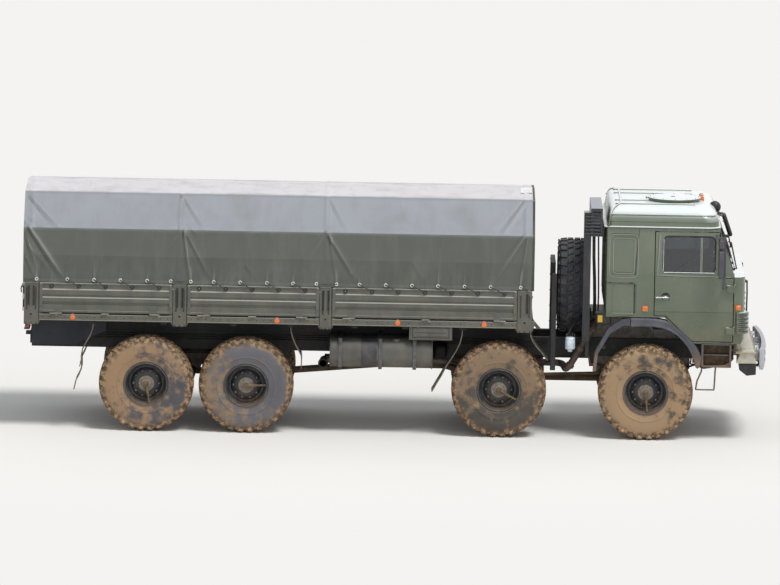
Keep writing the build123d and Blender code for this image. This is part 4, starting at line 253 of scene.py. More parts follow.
@dataclass(frozen=True)
class Finish:
    """One finish of the truck: a base colour, its mottling, its grain and its dirt."""

    name: str
    colour: str
    shade: str
    roughness: float = 0.5
    metallic: float = 0.0
    coat: float = 0.0
    sheen: float = 0.0
    patch_mm: float = 350.0
    grain_mm: float = 5.0
    bump_mm: float = 0.25
    dust: str = "#8A8271"
    dusty: float = 0.18
    mud: Optional[Mud] = None
    # the colour of a painted sky reflection, which takes over on faces that point up
    sky: Optional[str] = None
    edge_mm: float = 0.0

    def base(self, tree: Tree) -> Socket:
        """Give the clean colour, mottled between its two tones, with a painted sky reflection that makes it paler where
        it faces up.
        """
        tone = blend_colours(tree, ramp(tree, cloud(tree, self.patch_mm, 5.0), 0.3, 0.7), self.colour, self.shade)
        if not self.sky:
            return tone
        upward = add_node(tree, "SeparateXYZ", {0: add_node(tree, "NewGeometry").outputs["Normal"]}).outputs[2]
        return blend_colours(tree, ramp(tree, upward, 0.25, 0.92), tone, self.sky)

    def grain(self, tree: Tree) -> Socket:
        """Give the height of the fine surface, from 0 to 1."""
        return cloud(tree, self.grain_mm, 2.0)

    def build(self) -> Material:
        """Make the material, or give it where it is made already."""
        made = bpy.data.materials.get(self.name)
        if made:
            return made
        material = bpy.data.materials.new(self.name)
        material.use_nodes = True
        tree = material.node_tree
        tree.nodes.clear()
        add_node(tree, "OutputMaterial", {"Surface": self.shader(tree).outputs[0]})
        return material

    def shader(self, tree: Tree) -> bpy.types.Node:
        """Give the shader of the finish under its dust and mud."""
        film = ramp(tree, cloud(tree, 4 * self.patch_mm / 5, 8.0, (1, 1, 0.6)), 0.42, 0.75, 0.0, self.dusty)
        colour = blend_colours(tree, film, self.base(tree), self.dust)
        rough = ramp(tree, film, 0.0, 0.5, self.roughness, min(1.0, self.roughness + 0.35))
        if self.mud:
            cover = self.mud.mask(tree)
            tone = blend_colours(tree, ramp(tree, cloud(tree, 240.0, 4.0), 0.35, 0.65), self.mud.colour, self.mud.damp)
            colour = blend_colours(tree, cover, colour, tone)
            rough = add_node(tree, "Mix", {0: cover, 2: rough, 3: 0.95}, data_type="FLOAT").outputs[0]
        normal = add_node(tree, "Bump", {"Height": self.grain(tree), "Distance": self.bump_mm * MM})
        if self.edge_mm:
            soft = add_node(tree, "Bevel", {"Radius": self.edge_mm * MM}, samples=6)
            tree.links.new(soft.outputs[0], normal.inputs["Normal"])
        return add_node(tree, "BsdfPrincipled", {
            "Base Color": colour, "Roughness": rough, "Metallic": self.metallic, "Coat Weight": self.coat,
            "Sheen Weight": self.sheen, "Normal": normal.outputs[0],
        })


@dataclass(frozen=True)
class SplitFinish(Finish):
    """Several paints on one node: each takes over in front of a place along the truck."""

    # X from the front axle, and the colour in front of it
    bounds: Tuple[Tuple[float, str], ...] = ()

    def base(self, tree: Tree) -> Socket:
        """Give the rearmost colour, taken over by each other one in front of its place."""
        tone = super().base(tree)
        along = distance_along(tree, 0)
        for x, colour in self.bounds:
            tone = blend_colours(tree, ramp(tree, along, at(x - 3, 0, 0).x, at(x + 3, 0, 0).x), tone, colour)
        return tone


@dataclass(frozen=True)
class Canvas(Finish):
    """Proofed cotton canvas, woven: dull, with streaks where rain ran down, painted highlight along its fold ridges and
    painted shade in its fold troughs.

    The real threads are 0.8 mm apart, too fine to show, so they are drawn 6 mm apart.
    """

    thread_mm: float = 6.0
    # the pale colour is a painted highlight on the fold ridges, and deep is a painted shade in the fold troughs
    ridge_highlight: str = "#A3A69F"
    deep: str = "#2E312B"
    # heights with the tone above each: a small step halfway up the wall, then painted sky light that makes the shoulder
    # and top paler
    height_bands: Tuple[Tuple[float, str], ...] = ()

    def base(self, tree: Tree) -> Socket:
        """Give the canvas tone, changed in bands by height with painted sky light on the shoulder and top, streaks down
        the walls, and painted highlight and shade on the folds.
        """
        tone = super().base(tree)
        height = distance_along(tree, 2)
        for level, band_tone in self.height_bands:
            tone = blend_colours(tree, ramp(tree, height, level - 0.006, level + 0.006), tone, band_tone)
        streaks = ramp(tree, cloud(tree, 130.0, 4.0, (1, 0.35, 0.12)), 0.48, 0.72, 0.0, 0.2)
        tone = blend_colours(tree, streaks, tone, self.dust)
        # the fold's lift, read from the crease attribute, paints a highlight on the ridges and shade in the troughs
        crease = add_node(tree, "Attribute", attribute_name="crease").outputs["Fac"]
        tone = blend_colours(tree, ramp(tree, crease, 0.25, 1.3, 0.0, 0.62), tone, self.ridge_highlight)
        return blend_colours(tree, ramp(tree, crease, -0.1, -0.75, 0.0, 0.6), tone, self.deep)

    def grain(self, tree: Tree) -> Socket:
        """Give the weave, from two crossed sets of threads."""
        inputs = {"Vector": coordinates(tree), "Scale": 1 / (self.thread_mm * MM) / math.tau * math.pi}
        return arithmetic(tree, "MAXIMUM", *(
            add_node(tree, Pattern.THREAD.value, inputs, bands_direction=way).outputs[1] for way in "XZ"))


@dataclass(frozen=True)
class MuddyTyre(Finish):
    """Worn black tyre rubber under dried mud, laid round one wheel's own centre."""

    centre: Point = (0.0, 0.0, 0.0)
    wall_mud: str = "#9A7B5C"
    tread_mud: str = "#A98A69"
    damp_mud: str = "#5E4C3A"
    wall_cover: float = 0.8
    clear_side: Point = (0.0, 0.0, 1.0)
    clear_reach: float = 0.5

    def base(self, tree: Tree) -> Socket:
        """Give the rubber with mud on its wall and thicker mud on its tread."""
        place = coordinates(tree, self.centre, (1, 0, 1))
        radius = add_node(tree, "VectorMath", {0: place}, operation="LENGTH").outputs["Value"]
        aside = add_node(tree, "VectorMath", {0: place, 1: self.clear_side}, operation="DOT_PRODUCT").outputs["Value"]
        blots = arithmetic(tree, "SUBTRACT", cloud(tree, 120.0, 7.0), 0.5)
        away = arithmetic(tree, "MULTIPLY_ADD", aside, -self.clear_reach, self.wall_cover)
        cover = arithmetic(tree, "MULTIPLY_ADD", blots, 2.2, away)
        wall = blend_colours(tree, ramp(tree, cover, 0.25, 0.8), super().base(tree), self.wall_mud)
        edge = arithmetic(tree, "MULTIPLY_ADD", blots, 0.12, radius)
        lumps = ramp(tree, cloud(tree, 55.0, 5.0), 0.4, 0.62)
        tread = blend_colours(tree, lumps, self.damp_mud, self.tread_mud)
        return blend_colours(tree, ramp(tree, edge, 0.51, 0.57), wall, tread)


@dataclass(frozen=True)
class ClearFinish(Finish):
    """Glass or clear plastic, which lets light through."""

    tint: str = "#DDE6E4"

    def shader(self, tree: Tree) -> bpy.types.Node:
        """Give the smeared glass, which light goes through."""
        smear = ramp(tree, cloud(tree, self.patch_mm, 6.0), 0.45, 0.75, self.roughness, self.roughness + 0.03)
        return add_node(tree, "BsdfPrincipled", {
            "Base Color": linear(self.tint), "Roughness": smear, "IOR": 1.5, "Transmission Weight": 1.0,
        })


# Enamel over steel: gloss under a film of dust, mud that thins upwards from the sills, and a painted sky reflection
# that turns faces pointing up near white
CAB_ENAMEL = Finish("green_enamel", "#59644F", "#525D49", 0.24, coat=0.5, patch_mm=500, grain_mm=40, bump_mm=0.15,
                    dusty=0.15, mud=Mud(top=1.9, full=0.9, most=0.4, blot_mm=160), sky="#F0F4F3", edge_mm=14)
ROOF_ENAMEL = Finish("roof_enamel", "#5F6A55", "#566150", 0.3, coat=0.15, patch_mm=450, grain_mm=40, bump_mm=0.15,
                     dusty=0.02, sky="#E9EFED", edge_mm=26)
# darker green strips: painted shade in the pressed grooves and along the door's crease
GROOVE_SHADE_ENAMEL = Finish("groove_painted_shade", "#3E4637", "#363E30", 0.4, coat=0.2, patch_mm=200, grain_mm=12, bump_mm=0.1,
                       dusty=0.2)
# paler green strips: painted highlight along the pressed ridges, the window frames and the hinge plates
RIDGE_HIGHLIGHT_ENAMEL = Finish("ridge_painted_highlight", "#8E9784", "#7F8876", 0.3, coat=0.4, patch_mm=200, grain_mm=12, bump_mm=0.1,
                      dusty=0.2)
# darker, duller green than the cab's: painted shade on the rear wall, under a dust film
REAR_ENAMEL = Finish("rear_shade_and_dust_enamel", "#475040", "#3C4436", 0.85, patch_mm=240, grain_mm=12, dusty=0.3)
# Satin paint over pressed boards: flatter gloss, rain streaks, a dust film and mud low down, and a painted highlight
# that makes faces pointing up paler
BOARD_PAINT = Finish("board_satin_paint", "#5C5D55", "#50514A", 0.45, patch_mm=260, grain_mm=9, dusty=0.25,
                     mud=Mud(top=1.7, full=1.2, most=0.25, blot_mm=120), sky="#A9ABA0")
# Chassis paint: near black and dull, dusty where it is out of the rain
CHASSIS_PAINT = Finish("chassis_paint", "#101114", "#0C0D0F", 0.6, patch_mm=200, grain_mm=7, dusty=0.07,
                       mud=Mud(top=1.25, full=0.35, most=0.6))
# black paint tinted deep blue: a painted sky reflection
SKY_TINTED_BLACK = Finish("black_paint_sky_reflection", "#0B1226", "#080D1B", 0.5, patch_mm=220, grain_mm=7, dusty=0.04,
                   mud=Mud(top=1.2, full=0.5, most=0.35))
# Moulded wing plastic: a fine grain, scuffed pale and sprayed with mud from beneath
WING_PLASTIC = Finish("wing_moulded_plastic", "#464752", "#3B3C46", 0.45, patch_mm=180, grain_mm=4, dusty=0.18,
                      mud=Mud(top=1.5, full=0.9, most=0.55, blot_mm=70))
# Wheel steel: dark paint on the rims, and hubs worn and dusty
RIM_PAINT = Finish("rim_steel_paint", "#262931", "#303136", 0.45, patch_mm=120, grain_mm=5, dusty=0.25,
                   mud=Mud(top=0.75, full=0.1, most=0.5, blot_mm=60))
HUB_STEEL = Finish("hub_dusty_steel", "#8E8478", "#6B655E", 0.55, metallic=0.3, patch_mm=40, grain_mm=4, dusty=0.5)
# Moulded trim and rubber: dull black, greyed by dust
TRIM_BLACK = Finish("trim_moulded_plastic", "#191B1D", "#131517", 0.45, patch_mm=120, grain_mm=3, dusty=0.1)
SEAL_RUBBER = Finish("seal_rubber", "#191A1B", "#131415", 0.7, patch_mm=90, grain_mm=3, dusty=0.2)
FLAP_RUBBER = Finish("flap_moulded_rubber", "#2B2A29", "#211F1E", 0.8, patch_mm=140, grain_mm=6, bump_mm=0.6, dusty=0.4,
                     mud=Mud(top=1.3, full=0.3, most=0.75))
DUSTY_EDGE = Finish("flap_dusty_rubber", "#77705F", "#57503F", 0.85, patch_mm=60, grain_mm=4, dusty=0.5)
# Steel and alloy fittings: polished, worn, muddy or stained by heat
BRIGHT_STEEL = Finish("polished_steel", "#C9CBCC", "#B4B7B8", 0.18, metallic=1.0, patch_mm=60, grain_mm=8,
                      bump_mm=0.05, dusty=0.1)
AIR_ARM_STEEL = Finish("air_arm_muddy_steel", "#7E6647", "#4A3E31", 0.7, metallic=0.1, patch_mm=60, grain_mm=4,
                       dusty=0.4)
BARE_STEEL = Finish("bare_steel", "#6F6A64", "#4F4A45", 0.48, metallic=0.7, patch_mm=60, grain_mm=4, dusty=0.3)
EXHAUST_STEEL = Finish("heat_stained_steel", "#75665B", "#544841", 0.6, metallic=0.3, patch_mm=90, grain_mm=4,
                       dusty=0.3)
TANK_ALUMINIUM = SplitFinish("tank_satin_paint", "#55554F", "#4B4B46", 0.5, patch_mm=260, grain_mm=8, dusty=0.3,
                             mud=Mud(top=1.2, full=0.7, most=0.35, blot_mm=80),
                             bounds=((-3770, "#2F323A"), (-3560, "#55554F")))
STRAP_STEEL = Finish("strap_dusty_steel", "#5E5E60", "#47474A", 0.5, metallic=0.2, patch_mm=60, grain_mm=5, dusty=0.35)
BUMPER_PAINT = SplitFinish("bumper_pale_paint", "#A39A84", "#948A72", 0.5, patch_mm=120, grain_mm=6, dusty=0.2,
                           mud=Mud(top=1.2, full=0.8, most=0.35, blot_mm=70), bounds=((1455, "#B4B6BC"),))
# Lenses: clear coated plastic, red and orange at the rear and sides and clear at the front
LAMP_PLASTIC = SplitFinish("lamp_lens_plastic", "#A8341C", "#9A2C18", 0.2, coat=0.4, patch_mm=60, grain_mm=6,
                           dusty=0.12, bounds=((-8100, "#EA7526"), (1400, "#C9CED1")))
WORN_STEEL = Finish("worn_zinc_steel", "#8D8C84", "#6C6B62", 0.42, metallic=0.6, patch_mm=40, grain_mm=4, dusty=0.3)
WORN_ALLOY = Finish("worn_alloy_tube", "#B9BABD", "#8F9094", 0.34, metallic=0.75, patch_mm=70, grain_mm=5, dusty=0.3)
BEIGE_PLATE = Finish("beige_plate_paint", "#CBC7BC", "#BDB7A6", 0.5, patch_mm=90, grain_mm=6, dusty=0.1,
                     mud=Mud(top=1.5, full=0.7, most=0.35, blot_mm=60))
# moulded black, with a painted grey-blue highlight on faces that point up
INTAKE_BLACK = Finish("intake_moulded_black", "#24262A", "#1B1D20", 0.38, patch_mm=160, grain_mm=4, dusty=0.1,
                      sky="#8A8E98")
CANISTER_TIN = Finish("canister_printed_tin", "#DDE6EC", "#B4C4D2", 0.3, metallic=0.15, patch_mm=50, grain_mm=5,
                      bump_mm=0.05, dusty=0.15)
YELLOW_PATCH = Finish("yellow_patch_foil", "#D9B32E", "#C9A322", 0.45, patch_mm=40, grain_mm=5, bump_mm=0.05, dusty=0.1)
ORANGE_LENS = Finish("orange_lens_plastic", "#EA7526", "#DA661B", 0.2, coat=0.4, patch_mm=60, grain_mm=6, dusty=0.12)
WHITE_LENS = Finish("clear_lens_glass", "#C9CED1", "#AEB4B8", 0.12, coat=0.6, patch_mm=60, grain_mm=14, dusty=0.15)
# Mirror silver and window glass
MIRROR_SILVER = Finish("mirror_silver", "#E6E9EA", "#DDE1E3", 0.03, metallic=1.0, patch_mm=200, grain_mm=60,
                       bump_mm=0.0, dusty=0.05)
# its dark grey tint stands in for the shade inside the cab: painted shade seen through the glass
WINDOW_GLASS = ClearFinish("window_glass", "#DDE6E4", "#DDE6E4", 0.0, patch_mm=260, tint="#6A737A")
FLOOR_WOOD = Finish("floor_planks", "#6E5C45", "#57472F", 0.7, patch_mm=90, grain_mm=10, bump_mm=0.6, dusty=0.3)
SEAT_CLOTH = Finish("seat_woven_cloth", "#3E4038", "#34362F", 0.9, sheen=0.4, patch_mm=120, grain_mm=4, bump_mm=0.5,
                    dusty=0.15)
CAB_LINING = Finish("cab_lining_plastic", "#7C7B72", "#6F6E66", 0.7, patch_mm=200, grain_mm=5, dusty=0.15)
# Canvas: proofed cotton, dull, with painted sky light on the panels that face the sky, a shaded copy for the end panel,
# curtain and inner skirt, a dark strip of painted shade at the front edge, and its patch
TENT_CANVAS = Canvas("proofed_canvas", "#52564F", "#494D46", 0.42, sheen=0.2, patch_mm=500, bump_mm=0.5,
                     dust="#77776B", dusty=0.25, height_bands=((2.33, "#565A53"), (2.692, "#8A8E95"), (3.122, "#D8D3D4")))
END_CANVAS = Canvas("shaded_canvas", "#4E5349", "#464A41", 0.8, sheen=0.2, patch_mm=400, bump_mm=0.5,
                    dust="#6B6B60", dusty=0.25)
# a dark strip along the cover's front edge: painted shade there
FRONT_EDGE_SHADE = Canvas("front_edge_painted_shade", "#33362F", "#2B2D28", 0.85, sheen=0.2, patch_mm=120, bump_mm=0.6, dusty=0.15)
PALE_PATCH = Canvas("pale_patch_cloth", "#F4F5F4", "#ECEDEC", 0.8, patch_mm=90, bump_mm=0.4, dusty=0.15)
GROMMET_ALLOY = Finish("grommet_alloy", "#E9E7DF", "#CBC8BC", 0.35, metallic=0.2, patch_mm=30, grain_mm=3, bump_mm=0.1,
                       dusty=0.25)
ROPE_FIBRE = Finish("rope_fibre", "#2E2D29", "#45423A", 0.9, sheen=0.2, patch_mm=30, grain_mm=3, bump_mm=0.6)
# The studio's floor, which isn't part of the truck
FLOOR_FINISH = Finish("studio_floor_paint", "#EDEBE6", "#EBE9E4", 0.9, patch_mm=3000, grain_mm=900, bump_mm=0.0,
                      dusty=0.0)
# Tyres: worn black rubber that dried mud covers in part, each axle's in its own way
TYRES: Dict[int, MuddyTyre] = {
    axle: MuddyTyre(f"tyre_mud_{axle}", colour, shade, 0.8, centre=tuple(at(AXLE_XS[axle - 1], 0, HUB_Z)),
                    wall_mud=wall, tread_mud=tread, wall_cover=cover, clear_side=side, clear_reach=reach)
    for axle, colour, shade, wall, tread, cover, side, reach in (
        # axle, rubber tones, mud tones, the wall's cover, and the side that stays clear with its reach
        (1, "#4A463F", "#3C3934", "#A08465", "#AD8F6D", 0.8, (0.5, 0, 0.6), 0.9),
        (2, "#504A42", "#403C37", "#877058", "#A18366", 0.5, (0.1, 0, -1), 0.8),
        (3, "#66656A", "#58575A", "#8C755C", "#9F8264", 0.32, (0.9, 0, 0.3), 0.8),
        (4, "#56555A", "#474649", "#9A7D5F", "#A88A69", 0.6, (0.9, 0, -0.35), 0.7),
    )
}
# Mirror housings: moulded plastic, with a painted bluish-grey sky reflection in its colour
MIRROR_HOUSING = Finish("mirror_moulded_housing", "#4B4A54", "#403F48", 0.45, patch_mm=90, grain_mm=5, dusty=0.15)
# the spare's black rubber, tinted bluish grey by a painted sky highlight
SPARE_RUBBER = Finish("spare_tyre_rubber", "#363841", "#292B33", 0.6, patch_mm=140, grain_mm=5, dusty=0.3)


# Shapes -----------------------------------------------------------------------------------------

STILL = (Matrix.Identity(4),)
AXIS_TURNS = {
    "y": Matrix.Identity(4),
    "x": Matrix.Rotation(math.radians(90), 4, "Z"),
    "z": Matrix.Rotation(math.radians(-90), 4, "X"),
}


def around(count: int, centre: Point = (0, 0, 0), axis: Point = (0, 1, 0)) -> List[Matrix]:
    """Give the turns that repeat something round an axis.

    Args:
        count: how many there are on the whole turn.
        centre: a place on the axis, in metres.
        axis: the axis's direction.

    Returns:
        One matrix for each, the first one still.
    """
    pivot = Matrix.Translation(centre)
    return [pivot @ Matrix.Rotation(math.tau * number / count, 4, Vector(axis)) @ pivot.inverted()
            for number in range(count)]


def round_edges(part: Part, width: float, segments: int = 1, sharp: float = 0.5) -> None:
    """Round the sharp edges of a part.

    Args:
        part: the part.
        width: the rounding's width in millimetres.
        segments: how many faces round each edge.
        sharp: the smallest angle, in radians, of an edge that is rounded.
    """
    edges = [edge for edge in part.edges if len(edge.link_faces) == 2 and edge.calc_face_angle(0) > sharp]
    bmesh.ops.bevel(part, geom=edges, offset=width * MM, affect="EDGES", segments=segments, profile=0.5, material=-1,
                    clamp_overlap=True)


def bridge_rings(part: Part, rings: Sequence[Sequence[Vert]]) -> None:
    """Close the wall between each ring of vertices and the next.

    Args:
        part: the part.
        rings: the rings in order, with edges round each.
    """
    for first, second in zip(rings, rings[1:]):
        edges = {edge for ring in (set(first), set(second)) for vert in ring for edge in vert.link_edges
                 if edge.other_vert(vert) in ring}
        bmesh.ops.bridge_loops(part, edges=list(edges))


def fill_grid(part: Part, rows: Sequence[Sequence[Vert]]) -> None:
    """Close a grid of vertices with faces.

    Args:
        part: the part that the vertices belong to.
        rows: the vertices, row by row.
    """
    for first, second in zip(rows, rows[1:]):
        for corners in zip(first, first[1:], second[1:], second):
            part.faces.new(corners)


def rounded_outline(x_limits: Sequence[float], y_limits: Sequence[float], radii: Sequence[float],
                    steps: int = 4) -> Profile:
    """Give a rounded rectangle's corner places in order round it, from the high corner.

    Args:
        x_limits: its low and high side in the first direction.
        y_limits: its low and high side in the second direction.
        radii: the four corners' radii.
        steps: the edges round each corner.

    Returns:
        The places in both directions.
    """
    places = []
    for number, radius in enumerate(radii):
        high_x, high_y = number in (0, 3), number < 2
        centre = (x_limits[high_x] - radius * (1 if high_x else -1), y_limits[high_y] - radius * (1 if high_y else -1))
        for step in range(steps + 1):
            angle = math.radians(90 * number + 90 / steps * step)
            places.append((centre[0] + radius * math.cos(angle), centre[1] + radius * math.sin(angle)))
    return places


class Shape:
    """A mesh that sub-assemblies add boxes, rods and spun forms to, at places in millimetres of the truck."""

    def __init__(self, part: Optional[Part] = None) -> None:
        """Start with a part, or empty."""
        self.mesh = part or bmesh.new()

    def add(self, part: Part, place: Matrix = STILL[0], copies: Iterable[Matrix] = STILL) -> None:
        """Add a part at a place, and again for each further copy.

        Args:
            part: the part, which is used up.
            place: where the part goes.
            copies: the moves of the placed part, one for each time it is there.
        """
        made = bpy.data.meshes.new("part")
        part.to_mesh(made)
        part.free()
        for copy in copies:
            moved = made.copy()
            moved.transform(copy @ place)
            self.mesh.from_mesh(moved)
            bpy.data.meshes.remove(moved)
        bpy.data.meshes.remove(made)

    def box(self, low: Point, high: Point, bevel: float = 3.0, turn: Optional[Euler] = None, segments: int = 1,
            copies: Iterable[Matrix] = STILL) -> None:
        """Add a box with rounded edges.

        Args:
            low: the lowest corner.
            high: the highest corner.
            bevel: the edges' rounding.
            turn: a turn about the box's own middle.
            segments: faces across each rounding.
            copies: the moves of each copy.
        """
        part = bmesh.new()
        bmesh.ops.create_cube(part, size=1.0)
        bmesh.ops.scale(part, vec=[abs(b - a) * MM for a, b in zip(low, high)], verts=part.verts)
        if bevel:
            round_edges(part, bevel, segments)
        place = Matrix.Translation(at(*[(a + b) / 2 for a, b in zip(low, high)]))
        self.add(part, place @ turn.to_matrix().to_4x4() if turn else place, copies)

    def rod(self, first: Point, last: Point, radius: float, steps: int = 16, bevel: float = 0.0,
            last_radius: Optional[float] = None, copies: Iterable[Matrix] = STILL) -> None:
        """Add a round rod or cone between two places.

        Args:
            first: the first end's middle.
            last: the other end's middle.
            radius: the rod's radius.
            steps: the sides round it.
            bevel: the rounding of its end edges.
            last_radius: the radius at the other end, where it differs.
            copies: the moves of each copy.
        """
        ends = at(*first), at(*last)
        run = ends[1] - ends[0]
        part = bmesh.new()
        bmesh.ops.create_cone(part, cap_ends=True, segments=steps, radius1=radius * MM,
                              radius2=(radius if last_radius is None else last_radius) * MM, depth=run.length)
        if bevel:
            round_edges(part, bevel, sharp=1.2 if steps > 6 else 0.8)
        turn = run.to_track_quat("Z", "Y").to_matrix().to_4x4()
        self.add(part, Matrix.Translation((ends[0] + ends[1]) / 2) @ turn, copies)

    def spun(self, profile: Profile, centre: Point, axis: str = "y", steps: int = 48, closed: bool = False,
             outward: int = 1, copies: Iterable[Matrix] = STILL) -> None:
        """Add a form spun about an axis through a place.

        Args:
            profile: places as radius and offset along the axis.
            centre: the place on the axis.
            axis: the axis's letter.
            steps: faces round the form.
            closed: whether the profile ends where it starts.
            outward: 1, or -1 to turn the form's offsets round.
            copies: the moves of each copy.
        """
        part = bmesh.new()
        line = [part.verts.new((radius * MM, outward * offset * MM, 0)) for radius, offset in profile]
        pairs = list(zip(line, line[1:])) + ([(line[-1], line[0])] if closed else [])
        edges = [part.edges.new(pair) for pair in pairs]
        bmesh.ops.spin(part, geom=[*line, *edges], cent=(0, 0, 0), axis=(0, 1, 0), angle=math.tau, steps=steps,
                       use_merge=True)
        bmesh.ops.remove_doubles(part, verts=part.verts, dist=0.00001)
        self.add(part, Matrix.Translation(at(*centre)) @ AXIS_TURNS[axis], copies)

    def prism(self, outline: Profile, limits: Tuple[float, float], bevel: float = 0.0, plane: str = "xz",
              copies: Iterable[Matrix] = STILL) -> None:
        """Add a prism of an outline in X and Z between two Y limits, or in Y and Z between two X limits.

        Args:
            outline: the corners.
            limits: the prism's two ends.
            bevel: the rounding of its edges.
            plane: the outline's plane, xz or yz.
            copies: the moves of each copy.
        """
        part = bmesh.new()
        near, far = limits
        places = [(a, near, b) if plane == "xz" else (near, a, b) for a, b in outline]
        face = part.faces.new([part.verts.new(at(*place)) for place in places])
        pushed = bmesh.ops.extrude_face_region(part, geom=[face])["geom"]
        step = Vector((0, (far - near) * MM, 0) if plane == "xz" else ((far - near) * MM, 0, 0))
        bmesh.ops.translate(part, vec=step, verts=[item for item in pushed if isinstance(item, Vert)])
        if bevel:
            round_edges(part, bevel)
        self.add(part, copies=copies)

    def tube(self, path: Sequence[Point], radius: float, steps: int = 8, copies: Iterable[Matrix] = STILL,
             radii: Optional[Sequence[float]] = None) -> None:
        """Add a bent round tube with a ring at each place of its path.

        Args:
            path: the places along the tube's middle.
            radius: the tube's radius.
            steps: the sides round it.
            copies: the moves of each copy.
            radii: the radius at each place, where it changes.
        """
        part = bmesh.new()
        points = [at(*place) for place in path]
        rings = []
        for number, place in enumerate(points):
            ahead = points[min(number + 1, len(points) - 1)] - points[max(number - 1, 0)]
            turn = ahead.to_track_quat("Z", "Y").to_matrix().to_4x4()
            wide = (radii[number] if radii else radius) * MM
            rings.append(bmesh.ops.create_circle(part, cap_ends=number in (0, len(points) - 1), segments=steps,
                                                 radius=wide, matrix=Matrix.Translation(place) @ turn)["verts"])
        bridge_rings(part, rings)
        self.add(part, copies=copies)

    def piece(self, name: str, finish: Finish, body: str, slot: str, smooth: float = 35.0,
              stands_for: Sequence[str] = ()) -> bpy.types.Object:
        """Close the shape and make it a dressed piece that rides on a body.

        Args:
            name: the piece's name.
            finish: its finish.
            body: the CAD body it rides on.
            slot: a material slot's name; not used.
            smooth: the largest angle, in degrees, that is shaded smooth.
            stands_for: the CAD nodes that it replaces.

        Returns:
            The piece.
        """
        bmesh.ops.recalc_face_normals(self.mesh, faces=self.mesh.faces)
        mesh = bpy.data.meshes.new(name)
        self.mesh.to_mesh(mesh)
        self.mesh.free()
        mesh.shade_smooth()
        mesh.set_sharp_from_angle(angle=math.radians(smooth))
        mesh.materials.append(finish.build())
        made = new_object(name, mesh)
        if stands_for:
            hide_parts(*stands_for)
        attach(made, body)
        LOG.info("piece %s: %d faces on %s", name, len(mesh.polygons), body)
        return made


# Wheels -----------------------------------------------------------------------------------------

def stand_wheel(shapes: Sequence[Shape], centre: Point, axis: str, turned: bool) -> None:
    """Move shapes made round the origin to a wheel's place.

    Args:
        shapes: the shapes.
        centre: the wheel's middle.
        axis: the letter of the axis it turns about.
        turned: whether they are turned half round first.
    """
    half = Matrix.Rotation(math.pi, 4, "Z") if turned else STILL[0]
    place = Matrix.Translation(at(*centre)) @ AXIS_TURNS[axis] @ half
    for shape in shapes:
        bmesh.ops.transform(shape.mesh, matrix=place, verts=shape.mesh.verts)


@dataclass
class Tyre:
    """One cross-country tyre: carcass with a bead line and two rows of lugs each side of its middle."""

    name: str
    centre: Point
    finish: Finish
    body: str
    node: str
    outward: int = -1
    axis: str = "y"
    radius: float = 629.0
    lug_height: float = 23.0
    pitches: int = 30
    # how much lower the tread stands past the shoulder
    shoulder_drop: float = 11.0
    shoulder: float = 150.0
    # radius, offset from the tyre's middle
    wall: Profile = ((272, 176), (292, 186), (318, 192), (352, 201), (372, 206), (378, 211), (386, 211), (392, 207),
                     (430, 210), (470, 212), (510, 210), (540, 204), (566, 195), (584, 185), (597, 170), (604, 140),
                     (607, 90), (608, 40))
    # where each end of a lug starts and stops, as shares of a pitch, and its offset
    shoulder_lug: Tuple[Point, ...] = ((0.05, 0.62, 92.0), (0.20, 0.78, 178.0))
    middle_lug: Tuple[Point, ...] = ((0.30, 0.86, 10.0), (0.05, 0.60, 82.0))

    def lug(self, row: Tuple[Point, ...], side: int, shift: float) -> Part:
        """Make one lug of the tread.

        Args:
            row: the lug's inner and outer end.
            side: 1 or -1, the side of the tread.
            shift: how far round its row starts, in pitches.

        Returns:
            The lug.
        """
        part = bmesh.new()
        (low_in, high_in, inner), (low_out, high_out, outer) = row
        foot, top = [], []
        for share, offset in ((low_in, inner), (high_in, inner), (high_out, outer), (low_out, outer)):
            drop = self.shoulder_drop if offset > self.shoulder else 0.0
            turn = (shift + share) * math.tau / self.pitches * side
            for radius, verts in ((self.radius - self.lug_height - 12 - drop, foot), (self.radius - drop, top)):
                verts.append(part.verts.new((radius * MM * math.cos(turn), side * offset * MM,
                                             -radius * MM * math.sin(turn))))
        part.faces.new(foot)
        part.faces.new(top)
        for number in range(4):
            after = (number + 1) % 4
            part.faces.new((foot[number], foot[after], top[after], top[number]))
        bmesh.ops.recalc_face_normals(part, faces=part.faces)
        round_edges(part, 5.0, sharp=0.3)
        return part

    def side_lug(self, side: int, turn: float) -> Tuple[Part, Matrix]:
        """Make the end of a shoulder lug, which runs down the tyre's wall.

        Args:
            side: 1 or -1, the side of the tread.
            turn: how far round it stands, in radians.

        Returns:
            The lug's end and its place.
        """
        part = bmesh.new()
        bmesh.ops.create_cube(part, size=1.0)
        bmesh.ops.scale(part, vec=(66 * MM, 20 * MM, 50 * MM), verts=part.verts)
        round_edges(part, 6.0)
        place = (Matrix.Rotation(turn, 4, "Y") @ Matrix.Translation((577 * MM, side * 189 * MM, 0))
                 @ Matrix.Rotation(side * math.radians(28), 4, "Z"))
        return part, place

    def build(self) -> bpy.types.Object:
        """Make the tyre, which stands for the CAD's many-sided one."""
        shape = Shape()
        half = list(self.wall)
        shape.spun(half + [(radius, -offset) for radius, offset in reversed(half)], ORIGIN, steps=4 * self.pitches,
                   closed=True)
        ring = around(self.pitches)
        for side in (1, -1):
            first = 0.0 if side > 0 else 0.5
            shape.add(self.lug(self.shoulder_lug, side, first), copies=ring)
            shape.add(self.lug(self.middle_lug, side, first + 0.35), copies=ring)
            shape.add(*self.side_lug(side, (first + 0.48) * math.tau / self.pitches * side), ring)
        stand_wheel([shape], self.centre, self.axis, self.outward > 0)
        return shape.piece(self.name, self.finish, self.body, "tyre_rubber", 32.0, (self.node,))


